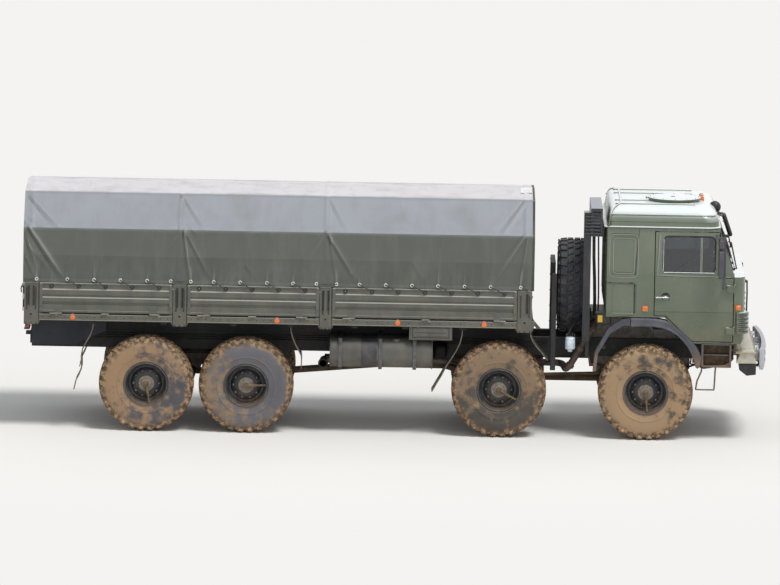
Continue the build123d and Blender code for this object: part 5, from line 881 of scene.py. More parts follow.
@dataclass
class Rim:
    """One steel wheel with its hub, studs and the arm that feeds air to the tyre."""

    name: str
    centre: Point
    body: str
    node: str
    outward: int = -1
    axis: str = "y"
    arm_turn: Optional[float] = None
    # radius, offset outward from the wheel's middle
    barrel: Profile = ((268, -182), (306, -186), (308, -178), (262, -170), (250, -120), (250, 96), (262, 168),
                       (306, 178), (308, 184), (306, 190), (298, 191), (290, 184), (284, 184), (280, 190),
                       (272, 190), (262, 176), (246, 150), (240, 110), (240, 60), (232, 44), (206, 40), (196, 48),
                       (170, 70), (128, 84), (112, 88), (60, 88), (60, 60), (170, 40), (230, 12), (238, -120),
                       (240, -176), (262, -190))
    hub: Profile = ((0, 150), (52, 150), (60, 146), (66, 132), (84, 130), (100, 128), (106, 120), (108, 60),
                    (108, 20), (0, 20))

    def build(self) -> List[bpy.types.Object]:
        """Make the wheel, its hub with studs and its air arm."""
        shape, hub = Shape(), Shape()
        shape.spun(self.barrel, ORIGIN, steps=64, closed=True)
        for owner, count, circle, radius, low, high in (
            (shape, 10, 168, 19, 60, 92), (hub, 10, 168, 9, 90, 106), (hub, 10, 88, 9, 126, 142),
            (shape, 12, 216, 9, 36, 52),
        ):
            foot = circle + ORIGIN[0]
            owner.rod((foot, low, 0), (foot, high, 0), radius, 8, 2.5, copies=around(count))
        hub.spun(self.hub, ORIGIN, steps=40)
        for radius, offset in ((303, 191), (276, 190)):
            hub.spun([(radius - 5, offset - 3), (radius, offset + 3), (radius + 5, offset - 3)], ORIGIN,
                     steps=64, closed=True)
        stand_wheel([shape, hub], self.centre, self.axis, self.outward < 0)
        made = [shape.piece(self.name, RIM_PAINT, self.body, "rim_paint", 32.0, (self.node,)),
                hub.piece(self.name.replace("steel_rim", "bolted_hub"), HUB_STEEL, self.body, "rim_paint", 32.0)]
        if self.arm_turn is not None:
            made.append(self.arm())
        return made

    def arm(self) -> bpy.types.Object:
        """Make the air arm from the hub's middle to the rim's valve."""
        turn = math.radians(self.arm_turn or 0.0)
        shape = Shape()

        def spot(radius: float, offset: float) -> Point:
            """Give a place on the arm's line."""
            return (self.centre[0] + radius * math.cos(turn), self.centre[1] + self.outward * offset,
                    self.centre[2] + radius * math.sin(turn))

        shape.rod(spot(0, 146), spot(0, 176), 40, 20, 4.0)
        shape.rod(spot(0, 174), spot(0, 186), 24, 16, 3.0)
        shape.rod(spot(20, 172), spot(150, 168), 26, 12, 2.0, 17)
        shape.rod(spot(150, 168), spot(236, 166), 12, 10)
        shape.rod(spot(236, 166), spot(262, 178), 15, 10, 3.0)
        return shape.piece(self.name.replace("steel_rim", "air_arm"), AIR_ARM_STEEL, self.body, "rim_paint")


@dataclass
class RunningGear:
    """All eight road wheels and the spare."""

    arm_turns: Dict[int, float] = field(default_factory=lambda: {1: -84.0, 2: -28.0, 3: 2.0, 4: -80.0})
    spare_centre: Point = (-965, -150, 1915)

    def build(self) -> None:
        """Make every tyre and rim."""
        for number, axle in enumerate(AXLE_XS, start=1):
            for side, sign in SIDES.items():
                tag = f"{number}{side}"
                centre = (axle, sign * WHEEL_Y, HUB_Z)
                Tyre(f"treaded_tyre_{tag}", centre, TYRES[number], f"wheel_{tag}", f"tyre_{tag}", sign).build()
                Rim(f"steel_rim_{tag}", centre, f"wheel_{tag}", f"rim_{tag}", sign,
                    arm_turn=self.arm_turns[number]).build()
        Tyre("treaded_tyre_spare", self.spare_centre, SPARE_RUBBER, "chassis", "spare_tyre", 1, "x").build()
        Rim("steel_rim_spare", self.spare_centre, "chassis", "spare_rim", -1, "x").build()


# Tent -------------------------------------------------------------------------------------------


@dataclass(frozen=True)
class Fold:
    """A tension fold of the cover: a ridge with a trough beside it that dies out along its line.

    Places are X from the front axle, and the distance up the cover from its hem.
    """

    start: Tuple[float, float]
    end: Tuple[float, float]
    height: float
    width: float

    def lift(self, x: float, run: float) -> float:
        """Give how far the fold stands out at a place of the cover."""
        across, along = self.end[0] - self.start[0], self.end[1] - self.start[1]
        reach = math.hypot(across, along)
        share = ((x - self.start[0]) * across + (run - self.start[1]) * along) / reach ** 2
        if not -0.15 < share < 1.0:
            return 0.0
        aside = ((x - self.start[0]) * along - (run - self.start[1]) * across) / reach
        width = self.width * (0.55 + 0.6 * max(share, 0.0))
        if abs(aside) > 4.5 * width:
            return 0.0
        fade = math.sqrt(1.0 - share) * min(1.0, 1.0 + share / 0.15)
        return self.height * fade * (math.exp(-(aside / width) ** 2) - 0.55 * math.exp(-(aside / width - 1.7) ** 2))


class Tent:
    """The canvas cover over its four bows, laced down to the bed, with its end panel and rolled curtain."""

    FRONT = -1500.0
    REAR = -8242.0
    BOWS = (-8130.0, -6170.0, -4245.0, -1618.0)
    # the cover's section from the right hem to its crown, as distance from the middle and height
    SECTION = ((1242.0, 1970.0), (1242.0, 2690.0), (813.0, 3120.0), (0.0, 3182.0))
    HEM_Y = SECTION[0][0]
    # how deep each panel sags between two bows: wall, shoulder and top
    SAGS = (7.0, 9.0, 13.0)
    # how much stronger the cloth's relief is drawn than its parts add up to, and its limits
    RELIEF = 1.9
    RELIEF_LIMITS = (-30.0, 26.0)
    GROMMET_RUN = 40.0
    GROMMET_Z = 2012.0
    # the rolled curtain's half width, the height that it hangs from, and how deep it sags between its ties
    CURTAIN_HALF = 815
    CURTAIN_Z = 3092.0
    CURTAIN_SAG = 14.0
    GROMMETS = (-8062, -7658, -7305, -6959, -6605, -6294, -6029, -5727, -5378, -5026, -4681, -4372, -4107, -3803,
                -3458, -3112, -2769, -2420, -2076, -1678)
    # how far ahead of a grommet its hook is
    REACH = (140, 190)
    # the grommets on each side of a middle bow, which a short loop joins
    BOW_LOOPS = ((-6294, -6029), (-4372, -4107))
    CORNER_ROPES = (
        ((-8062, 1240, GROMMET_Z), (-8080, 1256, 2011), (-8170, 1257, 2004), (-8225, 1250, 2003)),
        ((-1678, 1240, GROMMET_Z), (-1664, 1256, 2010), (-1600, 1257, 1990), (-1580, 1254, 1950)),
    )
    ROPE_RADIUS = 6.5
    LOOP_RADIUS = 5.5
    HOOKS = (-7863, -7505, -7152, -6798, -6445, -5916, -5567, -5218, -4869, -4518, -3988, -3635, -3289, -2938, -2587,
             -2241, -1890)

    def __init__(self) -> None:
        """Lay out the section's runs and the folds of both sides."""
        self.runs = [0.0]
        for (y0, z0), (y1, z1) in zip(self.SECTION, self.SECTION[1:]):
            self.runs.append(self.runs[-1] + math.hypot(y1 - y0, z1 - z0))
        self.eave, self.shoulder, self.half = self.runs[1:]
        chance = random.Random(7)
        self.folds = {side: [Fold(fold.start, fold.end, fold.height * chance.uniform(0.75, 1.2), fold.width)
                             for fold in self.fold_rows()] for side in SIDES.values()}

    def fold_rows(self) -> List[Fold]:
        """Give one side's folds: long ones from the bows, short ones over the grommets."""
        eave, low = self.eave, self.GROMMET_RUN
        rows = [
            # start, end, height, width
            ((-8150, eave - 10), (-7690, low), 19, 34), ((-8190, eave - 150), (-8060, 180), 12, 24),
            ((-8205, 330), (-8070, low), 10, 18), ((-8160, 480), (-7900, 150), 8, 26),
            ((-8150, self.shoulder - 110), (-7770, eave + 20), 13, 34),
            ((-8190, eave + 170), (-7990, eave + 30), 8, 22),
            ((-6195, eave - 30), (-6600, low), 6, 40), ((-6120, eave - 40), (-6030, low), 13, 26),
            ((-6080, eave - 60), (-5740, low), 13, 28), ((-6130, self.shoulder - 70), (-5850, eave + 30), 9, 34),
            ((-6060, eave + 60), (-5960, eave - 60), 7, 20),
            ((-4215, eave - 30), (-3810, low), 14, 30), ((-4190, eave - 70), (-4105, low), 9, 24),
            ((-4275, eave - 40), (-4680, low), 5, 38), ((-4200, self.shoulder - 60), (-3960, eave + 30), 8, 34),
            ((-1650, eave - 20), (-2070, low), 10, 32), ((-1600, eave - 60), (-1690, low), 9, 22),
            ((-1640, self.shoulder - 60), (-1930, eave + 20), 8, 32),
            ((-5300, 260), (-5180, low + 60), 5, 30), ((-3100, 330), (-2950, low + 60), 5, 30),
        ]
        folds = [Fold(*row) for row in rows]
        chance = random.Random(23)
        return folds + [Fold((x, self.GROMMET_RUN - 10), (x + 10, 280), 8, 26) for x in self.GROMMETS] + [
            Fold((x + 150 + chance.uniform(-40, 40), 20), (x + 150 + chance.uniform(-60, 60), chance.uniform(130, 300)),
                 chance.uniform(2, 6), chance.uniform(12, 22)) for x in self.GROMMETS]

    def flat_place(self, run: float) -> Tuple[float, float, float, float]:
        """Give the section's place at a run from the hem, and the way it faces there."""
        number = 0 if run < self.eave else 1 if run < self.shoulder else 2
        (y0, z0), (y1, z1) = self.SECTION[number:number + 2]
        share = (run - self.runs[number]) / (self.runs[number + 1] - self.runs[number])
        long = math.hypot(y1 - y0, z1 - z0)
        return y0 + share * (y1 - y0), z0 + share * (z1 - z0), (z1 - z0) / long, (y0 - y1) / long

    def lift(self, x: float, run: float, side: int) -> float:
        """Give how far the cover stands out of its plain section, with its sag between the bows."""
        span = next((pair for pair in zip(self.BOWS, self.BOWS[1:]) if pair[0] <= x <= pair[1]), None)
        total = 0.0
        if span:
            share = (x - span[0]) / (span[1] - span[0])
            panel = 0 if run < self.eave else 1 if run < self.shoulder else 2
            width = self.runs[panel + 1] - self.runs[panel]
            cross = math.sin(math.pi * min(1.0, (run - self.runs[panel]) / (2 * width if panel == 2 else width)))
            total -= self.SAGS[panel] * math.sin(math.pi * share) ** 0.8 * cross
        total += sum(4.0 * math.exp(-((x - bow) / 26.0) ** 2) for bow in self.BOWS)
        total += sum(fold.lift(x, run) for fold in self.folds[side])
        total += 1.6 * noise.noise(Vector((x / 210.0, run / 260.0, side * 3.0)))
        for line in (self.eave, self.shoulder):
            total -= 5.0 * math.exp(-((run - line) / 9.0) ** 2)
        lowest, highest = self.RELIEF_LIMITS
        return max(lowest, min(highest, self.RELIEF * total)) + (2.5 if run < 36.0 else 0.0)

    def place(self, x: float, run: float, side: int, lift: float = 0.0) -> Vector:
        """Give a place on the cover.

        Args:
            x: the place's X.
            run: its distance up from the hem.
            side: -1 on the truck's right, 1 on its left.
            lift: how far it stands off the cloth.

        Returns:
            The place in metres.
        """
        y, z, out_y, out_z = self.flat_place(run)
        off = self.lift(x, run, side) + lift
        if run < 90:
            nearest = min(abs(x - grommet) for grommet in self.GROMMETS)
            z += (1 - run / 90) * (4.0 - 8.0 * min(1.0, nearest / 150.0))
        return at(x, side * (y + off * out_y), z + off * out_z)

    def band(self, shape: Shape, x_limits: Tuple[float, float], run_limits: Tuple[float, float], lift: float,
             sides: Sequence[int] = (-1, 1), tucked: bool = True) -> None:
        """Add a strip of cloth sewn on the cover.

        Args:
            shape: what it is added to.
            x_limits: its two edges.
            run_limits: its two ends, as runs from the hem.
            lift: how far its face stands off the cover.
            sides: the sides it lies on.
            tucked: whether its edges turn down into the cover.
        """
        for side in sides:
            part = bmesh.new()
            steps = max(2, int((run_limits[1] - run_limits[0]) / 30))
            runs = [run_limits[0] + step / steps * (run_limits[1] - run_limits[0]) for step in range(steps + 1)]
            edges = (x_limits[0], x_limits[0] + 3, x_limits[1] - 3, x_limits[1])
            grid = [[part.verts.new(self.place(x, min(run, self.half - 0.01), side,
                                               -4.0 if tucked and column in (0, 3) else lift))
                     for column, x in enumerate(edges)] for run in runs]
            fill_grid(part, grid)
            shape.add(part)

    def cover(self) -> bpy.types.Object:
        """Make the cover, one sheet over the bows from hem to hem."""
        part = bmesh.new()
        half = [0.0, 4.0, 33.0, 38.0]
        for low, high, step in ((38.0, self.eave - 12, 19.0), (self.eave - 12, self.eave + 12, 6.0),
                                (self.eave + 12, self.shoulder - 12, 24.0),
                                (self.shoulder - 12, self.shoulder + 12, 6.0),
                                (self.shoulder + 12, self.half, 54.0)):
            count = max(1, round((high - low) / step))
            half += [low + (number + 1) / count * (high - low) for number in range(count)]
        half[-1] = self.half - 0.001
        path = [(run, -1) for run in half] + [(run, 1) for run in half[-2::-1]]
        columns = round((self.FRONT - self.REAR) / 20.0)
        xs = [self.REAR + number / columns * (self.FRONT - self.REAR) for number in range(columns + 1)]
        # each vertex keeps its fold's lift, which the canvas turns into painted highlight and shade
        fold_shading = part.verts.layers.float.new("crease")
        rows = []
        for x in xs:
            rows.append([part.verts.new(self.place(x, run, side)) for run, side in path])
            for vert, (run, side) in zip(rows[-1], path):
                vert[fold_shading] = sum(fold.lift(x, run) for fold in self.folds[side]) / 10.0
        fill_grid(part, rows)
        return Shape(part).piece("tent_cover", TENT_CANVAS, "chassis", "canvas", 60.0, ["tent"])

    def end_panel(self) -> bpy.types.Object:
        """Make the panel that closes the cover's front end behind the cab."""
        part = bmesh.new()
        count = 36
        loops = []
        for share in (1.0, 0.985, 0.9, 0.78, 0.64, 0.5, 0.36, 0.22, 0.08):
            loop = []
            for side, numbers in ((-1, range(count)), (1, range(count, -1, -1))):
                for number in numbers:
                    y, z, _, _ = self.flat_place(min(number / count, 0.9999) * self.half)
                    dish = 14.0 * math.sin(math.pi * share) + 5.0 * noise.noise(Vector((y * side, z, share)) / 260.0)
                    inset = 6.0 + (dish if share < 0.98 else 0.0)
                    loop.append(part.verts.new(at(self.FRONT - inset, side * (y - 6) * share,
                                                  1972 + (z - 1972) * share)))
            loops.append(loop)
        fill_grid(part, loops)
        return Shape(part).piece("tent_end_panel", END_CANVAS, "chassis", "canvas", 60.0)

    def curtain_sag(self, y: float) -> float:
        """Give how far the rolled curtain hangs down at a place across it."""
        return self.CURTAIN_SAG * math.sin(math.pi * (y + self.CURTAIN_HALF) / (2 * self.CURTAIN_HALF) * 3) ** 2

    def curtain(self) -> bpy.types.Object:
        """Make the rear curtain, rolled up under the last bow."""
        part = bmesh.new()
        turns, columns, drop = 64, 46, 40.0
        rows = []
        for number in range(turns + 6):
            row = []
            for column in range(columns + 1):
                y = -self.CURTAIN_HALF + 2 * self.CURTAIN_HALF * column / columns
                sag = self.curtain_sag(y)
                if number < 6:
                    x, z = -8150.0 - 2 * number, self.CURTAIN_Z - number / 6 * drop
                else:
                    angle = (number - 6) / turns * 2.6 * math.tau
                    radius = 62.0 - 0.62 * (number - 6) + 3.0 * noise.noise(Vector((y / 160.0, angle, 0.0)))
                    x = -8100.0 - radius * math.cos(angle)
                    z = self.CURTAIN_Z - drop - 10 - radius * math.sin(angle)
                row.append(part.verts.new(at(x, y, z - sag)))
            rows.append(row)
        fill_grid(part, rows)
        return Shape(part).piece("tent_curtain", END_CANVAS, "chassis", "canvas", 60.0)

    def sewn(self, name: str, finish: Finish, bands: Iterable[Tuple]) -> bpy.types.Object:
        """Make a piece of strips that are sewn on the cover.

        Args:
            name: the piece's name.
            finish: its finish.
            bands: what each strip's band takes, from its edges on.

        Returns:
            The piece.
        """
        shape = Shape()
        for band in bands:
            self.band(shape, *band)
        return shape.piece(name, finish, "chassis", "canvas", 60.0)

    def ties(self) -> bpy.types.Object:
        """Make the straps that hold the rolled curtain."""
        shape = Shape()
        for y in (-600, 0, 600):
            shape.spun([(70, -14), (73, -14), (73, 14), (70, 14)],
                       (-8100, y, self.CURTAIN_Z - 50 - self.curtain_sag(y)), steps=28, closed=True)
            shape.box((-8174, y - 14, 3040), (-8170, y + 14, 3118), 0.8)
        return shape.piece("tent_curtain_ties", SEAL_RUBBER, "chassis", "canvas")

    def skirt(self) -> bpy.types.Object:
        """Make the cloth that hangs inside the boards and closes the gap under the hem."""
        shape = Shape()
        for side in SIDES.values():
            for rear, front in Bed.BOARDS:
                shape.box((rear - 4, side * 1210, 1920), (front + 4, side * 1214, 1996), 1)
        return shape.piece("tent_inner_skirt", END_CANVAS, "chassis", "canvas")

    def grommets(self) -> bpy.types.Object:
        """Make the rings in the hem."""
        shape = Shape()
        for side in SIDES.values():
            for x in self.GROMMETS:
                y = side * (self.HEM_Y + self.lift(x, self.GROMMET_RUN, side) + 2)
                shape.spun([(11, -3), (15, 3.5), (20, 3.5), (24, -1), (11, -3)], (x, y, self.GROMMET_Z), steps=20,
                           outward=side)
        return shape.piece("tent_grommets", GROMMET_ALLOY, "chassis", "canvas")

    def lacing(self) -> None:
        """Make the ropes: from each grommet down to its hook, round the middle bows, and to the cover's corners."""
        shape = Shape()
        eye = self.GROMMET_Z
        loops = [((first, 1240, eye), (first + 12, 1256, 2010), ((first + last) / 2, 1261, 2006),
                  (last - 12, 1256, 2010), (last, 1240, eye)) for first, last in self.BOW_LOOPS]
        for side in SIDES.values():
            for x, hook in ((x, hook) for x in self.GROMMETS for hook in self.HOOKS
                            if self.REACH[0] < hook - x < self.REACH[1]):
                y = side * (self.HEM_Y + self.lift(x, self.GROMMET_RUN, side))
                shape.tube([(x, y - side * 6, 2014), (x + 5, y + side * 12, 2009), (x + 30, side * 1270, 1996),
                            ((x + hook) / 2, side * 1272, 1968), (hook - 14, side * 1273, 1932),
                            (hook + 2, side * 1262, 1922)], self.ROPE_RADIUS)
            for line in (*loops, *self.CORNER_ROPES):
                shape.tube([(x, side * y, z) for x, y, z in line], self.LOOP_RADIUS)
        shape.piece("tent_lacing", ROPE_FIBRE, "chassis", "canvas")

    def build(self) -> None:
        """Make the cover with all that is sewn and laced to it, its end panel and its curtain."""
        cover, panel, curtain = self.cover(), self.end_panel(), self.curtain()
        top = self.half
        strips = self.sewn("tent_seam_strips", TENT_CANVAS, [
            *(band for bow in self.BOWS[1:3] for band in (((bow - 24, bow + 24), (self.eave - 46, top), 3.5),
                                                          ((bow - 34, bow + 34), (self.eave - 30, top), 1.5))),
            ((self.REAR + 2, self.REAR + 40), (2, top), 2.5),
        ])
        # the dark strip at the front edge is painted shade
        front_shade_strip = self.sewn("tent_front_edge_shade", FRONT_EDGE_SHADE, [((self.FRONT - 34, self.FRONT - 2), (2, top), 3.0)])
        patch = self.sewn("tent_patch", PALE_PATCH, [((-1694, -1536), (self.shoulder + 440, top - 20), 9.0, (-1,))])
        ties, skirt, rings = self.ties(), self.skirt(), self.grommets()
        self.lacing()


# Cab --------------------------------------------------------------------------------------------


def rounded_path(x_limits: Tuple[float, float], z_limits: Tuple[float, float], radius: float) -> Profile:
    """Give a rounded rectangle's corner places, as X and Z, in order round it."""
    return rounded_outline(x_limits, z_limits, (radius,) * 4)


class Cab:
    """What shows on the tilt cab beyond its pressed panels: seals, seams, handles, wipers and roof fittings."""

    # the side wall's distance from the middle at each height
    WALL = ((1301.0, 1200.0), (1722.0, 1222.0), (2815.0, 1150.0))
    SCREEN = ((2192.0, 1146.0), (2815.0, 934.0))
    FLAP_SEAM_Z = 2092
    # each mirror's rear face, half width, bottom and top
    MIRRORS = ((925, 98, 2208, 2573), (925, 78, 2592, 2716))
    MIRROR_Y = 1400
    # the door lock's X and Z
    LOCK = (126, 1908)
    HINGE_ZS = (1480, 2040)
    # the side wall's seams: path as X and Z, width and how far the strip stands off
    SEAMS = (
        (((-126, 2806), (-150, 2500), (-170, 2247), (-172, 1668)), 8, 0.6),
        (((-545, FLAP_SEAM_Z), (-185, FLAP_SEAM_Z)), 9, 0.8),
        (((-437, 1640), (-200, 1662), (-180, 1676), (-180, 2088)), 7, 0.8),
        (((-547, 2818), (930, 2818)), 9, 1.0),
    )
    BOLT_CIRCLE = 318
    WIPER_YS = (-640, 0, 640)
    WIPER_FOOT = 2222

    def wall_y(self, z: float) -> float:
        """Give the side wall's distance from the middle at a height."""
        (z0, y0), (z1, y1) = self.WALL[:2] if z < self.WALL[1][0] else self.WALL[1:]
        return y0 + (z - z0) / (z1 - z0) * (y1 - y0)

    def screen_x(self, z: float) -> float:
        """Give the windscreen's X at a height."""
        (z0, x0), (z1, x1) = self.SCREEN
        return x0 + (z - z0) / (z1 - z0) * (x1 - x0)

    def ribbon(self, shape: Shape, path: Profile, width: float, lift: float, side: int,
               closed: bool = False, sunk: float = 3.0) -> None:
        """Add a flat strip that follows a line on the side wall.

        Args:
            shape: what it is added to.
            path: the line's places, as X and Z.
            width: the strip's width.
            lift: how far its face stands off the wall.
            side: -1 on the truck's right, 1 on its left.
            closed: whether the line ends where it starts.
            sunk: how far its edges go into the wall.
        """
        part = bmesh.new()
        count = len(path)
        rows = []
        for number, (x, z) in enumerate(path):
            before = path[(number - 1) % count] if closed or number else path[number]
            after = path[(number + 1) % count] if closed or number < count - 1 else path[number]
            ahead = Vector((after[0] - before[0], after[1] - before[1])).normalized()
            row = []
            for aside, off in ((-0.5, -sunk), (-0.42, lift), (0.42, lift), (0.5, -sunk)):
                px, pz = x - ahead.y * aside * width, z + ahead.x * aside * width
                row.append(part.verts.new(at(px, side * (self.wall_y(pz) + off), pz)))
            rows.append(row)
        fill_grid(part, rows + rows[:1] if closed else rows)
        shape.add(part)

    def side_trim(self) -> None:
        """Make the seams of both side walls, the pressed grooves in painted shade and the pressed ridges in painted
        highlight, and the rear wall's ribs.
        """
        seams, ridges, grooves = Shape(), Shape(), Shape()
        for side in SIDES.values():
            for path, width, lift in self.SEAMS:
                self.ribbon(seams, path, width, lift, side)
            for path, lift in ((rounded_path((-462, -180), (2226, 2694), 46), 1.0),
                               (rounded_path((-510, -137), (2176, 2742), 62), 2.0)):
                self.ribbon(grooves, path, 9, lift - 2.0, side, True)
                self.ribbon(ridges, [(x, z - 9) for x, z in path], 9, lift + 3.0, side, True)
            y = side * (self.wall_y(self.FLAP_SEAM_Z) + 4)
            for x in (-497, -222):
                seams.rod((x - 22, y, self.FLAP_SEAM_Z), (x + 22, y, self.FLAP_SEAM_Z), 8, 10, 1.5)
        rear = Shape()
        rear.box((-556, -1150, 1660), (-546, 1150, 2796), 4)
        for number in range(9):
            rear.box((-566, -930 + 220 * number, 1760), (-554, -830 + 220 * number, 2700), 5)
        rear.piece("cab_rear_ribs", REAR_ENAMEL, "cab", "green_paint")
        seams.piece("cab_seams", SEAL_RUBBER, "cab", "mirror_black", 40)
        grooves.piece("cab_panel_groove_shade", GROOVE_SHADE_ENAMEL, "cab", "green_paint", 60)
        ridges.piece("cab_panel_ridge_highlights", RIDGE_HIGHLIGHT_ENAMEL, "cab", "green_paint", 60)

    def handle(self, bright: Shape, seals: Shape, side: int) -> None:
        """Add one door's handle over its dished plate, and its lock."""
        face = self.wall_y(1909)
        seals.spun([(0, -2), (40, -2), (52, 2.5), (56, 2.5), (60, -2)], (236, side * face, 1914), steps=32,
                   outward=side)
        grip = ((99, 3, 1908), (112, 16, 1909), (180, 24, 1912), (262, 22, 1910), (287, 4, 1908))
        bright.tube([(x, side * (face + off), z) for x, off, z in grip], 9, 10, radii=(9, 15, 11, 11, 8))
        lock = (self.LOCK[0], side * face, self.LOCK[1])
        bright.spun([(0, 22), (13, 22), (17, 18), (17, -2)], lock, steps=20, outward=side)
        seals.spun([(0, 24), (4, 24), (5, 21)], lock, steps=10, outward=side)

    def hinges(self, plates: Shape, bolts: Shape, side: int) -> None:
        """Add one door's two hinge plates with their bolts."""
        for z in self.HINGE_ZS:
            wall = self.wall_y(z)
            plates.box((1096, side * (wall - 2), z - 26), (1136, side * (wall + 10), z + 26), 3)
            for up in (z - 13, z + 13):
                bolts.rod((1112, side * (wall + 8), up), (1112, side * (wall + 14), up), 6, 6, 1)

    def mirror_faces(self, glass: Shape, seals: Shape, side: int) -> None:
        """Add the glass and the seals of one door's two mirrors, and their arms' feet."""
        middle = side * self.MIRROR_Y
        for rear, half, low, high in self.MIRRORS:
            glass.box((rear - 3, middle - half + 10, low + 12), (rear + 1, middle + half - 10, high - 12), 1.5)
            for inner, outer in ((2 - half, 10 - half), (half - 10, half - 2)):
                seals.box((rear - 5, middle + inner, low + 4), (rear + 6, middle + outer, high - 4), 2)
        for z in (2118, 2736):
            seals.box((990, side * 1150, z - 20), (1052, side * 1176, z + 20), 5)

    def door_trim(self) -> None:
        """Make each door's seals, sill strip, quarter light bar, handle, hinges and mirror glass."""
        for name, side in SIDES.items():
            seals, bright, panels, glass, grooves = Shape(), Shape(), Shape(), Shape(), Shape()
            self.ribbon(seals, rounded_path((196, 884), (2240, 2718), 66), 22, 4.5, side, True)
            for shape, path, width, lift in (
                # paler strips are painted highlight along the window frame; darker strips are painted shade along it
                # and along the crease
                (panels, [(150, 2742), (140, 2500), (122, 2204), (500, 2196), (1090, 2192)], 12, 4.0),
                (grooves, [(134, 2742), (124, 2500), (104, 2190), (500, 2184), (1094, 2180)], 8, 1.0),
                (grooves, [(100, 1722), (1120, 1722)], 7, 1.0),
                (bright, [(206, 2243), (872, 2243)], 12, 7.0),
                (bright, [(200, 2262), (200, 2690)], 6, 5.5),
                (seals, [(699, 2250), (699, 2708)], 7, 3.0),
            ):
                self.ribbon(shape, path, width, lift, side)
            for x in (692, 706):
                self.ribbon(panels, [(x, 2250), (x, 2708)], 12, 2.0, side, sunk=14)
            self.handle(bright, seals, side)
            self.hinges(panels, bright, side)
            self.mirror_faces(glass, seals, side)
            for shape, piece, finish, slot, smooth in (
                (seals, "door_seals", SEAL_RUBBER, "mirror_black", 40),
                (bright, "door_bright_trim", BRIGHT_STEEL, "mirror_black", 40),
                (panels, "door_highlight_lines_and_hinge_plates", RIDGE_HIGHLIGHT_ENAMEL, "green_paint", 50),
                (grooves, "door_panel_groove_shade", GROOVE_SHADE_ENAMEL, "green_paint", 50),
                (glass, "mirror_glass", MIRROR_SILVER, "glass", 35),
            ):
                shape.piece(f"{piece}_{name}", finish, f"cab_door_{name}", slot, smooth)

    def front_trim(self) -> None:
        """Make the wipers, the windscreen's seal, the grab rails and the front's small fittings."""
        black, rails, lenses = Shape(), Shape(), Shape()
        corners = [(-1008, 2266), (-1008, 2744), (1008, 2744), (1008, 2266)]
        for (y0, z0), (y1, z1) in zip(corners, corners[1:] + corners[:1]):
            black.tube([(self.screen_x(z0) - 6, y0, z0), (self.screen_x(z1) - 6, y1, z1)], 15, 8)
        foot = self.WIPER_FOOT
        for y in self.WIPER_YS:
            black.rod((self.screen_x(foot) - 12, y, foot), (self.screen_x(foot) + 30, y, foot + 8), 18, 14, 3)
            tip = (self.screen_x(2520) + 26, y + 330, 2520)
            black.tube([(self.screen_x(foot) + 26, y, foot + 4), (self.screen_x(2370) + 34, y + 160, 2370), tip], 6, 8)
            black.tube([(self.screen_x(2330) + 17, y + 330, 2330), (self.screen_x(2520) + 20, y + 330, 2520),
                        (self.screen_x(2690) + 17, y + 330, 2690)], 7, 6)
        for side in SIDES.values():
            rails.tube([(1284, side * 880, 2120), (1318, side * 880, 2110), (1322, side * 880, 1940),
                        (1318, side * 880, 1560), (1284, side * 880, 1550)], 11, 10)
            black.tube([(1140, side * 1090, 2300), (1168, side * 1088, 2290), (1090, side * 1066, 2640),
                        (1050, side * 1060, 2650)], 10, 8)
            for number in range(5):
                z = 1478 + 54 * number
                black.box((1195, side * 1236, z), (1330, side * 1247, z + 12), 3)
            lenses.spun([(0, 14), (24, 11), (33, 4), (36, -4)], (1196, side * 1222, 1790), steps=24, outward=side)
            lenses.spun([(0, 12), (24, 9), (33, 3), (36, -4)], (-30, side * 1226, 1759), steps=24, outward=side)
        for number in range(5):
            z = 1617 + 72 * number
            black.box((1291, -600, z - 9), (1313, 600, z + 9), 3)
        for y in (-500, 500):
            black.box((1305, y - 60, 2040), (1322, y + 60, 2062), 4)
        black.piece("cab_black_trim", TRIM_BLACK, "cab", "mirror_black")
        rails.piece("cab_grab_rails", TRIM_BLACK, "cab", "mirror_black")
        lenses.piece("cab_lamp_lenses", ORANGE_LENS, "cab", "lamp_orange", 50)

    def roof_trim(self) -> None:
        """Make the roof's lamp feet and the hatch's knob and bolts."""
        black, lens, knob = Shape(), Shape(), Shape()
        for y in (-160, 0, 160):
            black.box((700, y - 34, 3066), (752, y + 34, 3084), 5)
            lens.box((694, y - 27, 3080), (750, y + 27, 3126), 10, segments=3)
        knob.spun([(0, 44), (9, 42), (14, 34), (8, 22), (8, 14), (26, 8), (28, -2)], (330, -300, 3142), "z", 20)
        hatch_x, hatch_y = Roof.HATCH
        for angle in range(0, 360, 30):
            x = hatch_x + self.BOLT_CIRCLE * math.cos(math.radians(angle))
            y = hatch_y + self.BOLT_CIRCLE * math.sin(math.radians(angle))
            knob.rod((x, y, 3138), (x, y, 3146), 7, 6, 1)
        black.piece("roof_lamp_feet", TRIM_BLACK, "cab", "mirror_black")
        lens.piece("roof_lamp_lenses", ORANGE_LENS, "cab", "lamp_orange", 60)
        knob.piece("hatch_knob_and_bolts", BARE_STEEL, "roof_hatch", "mirror_black")

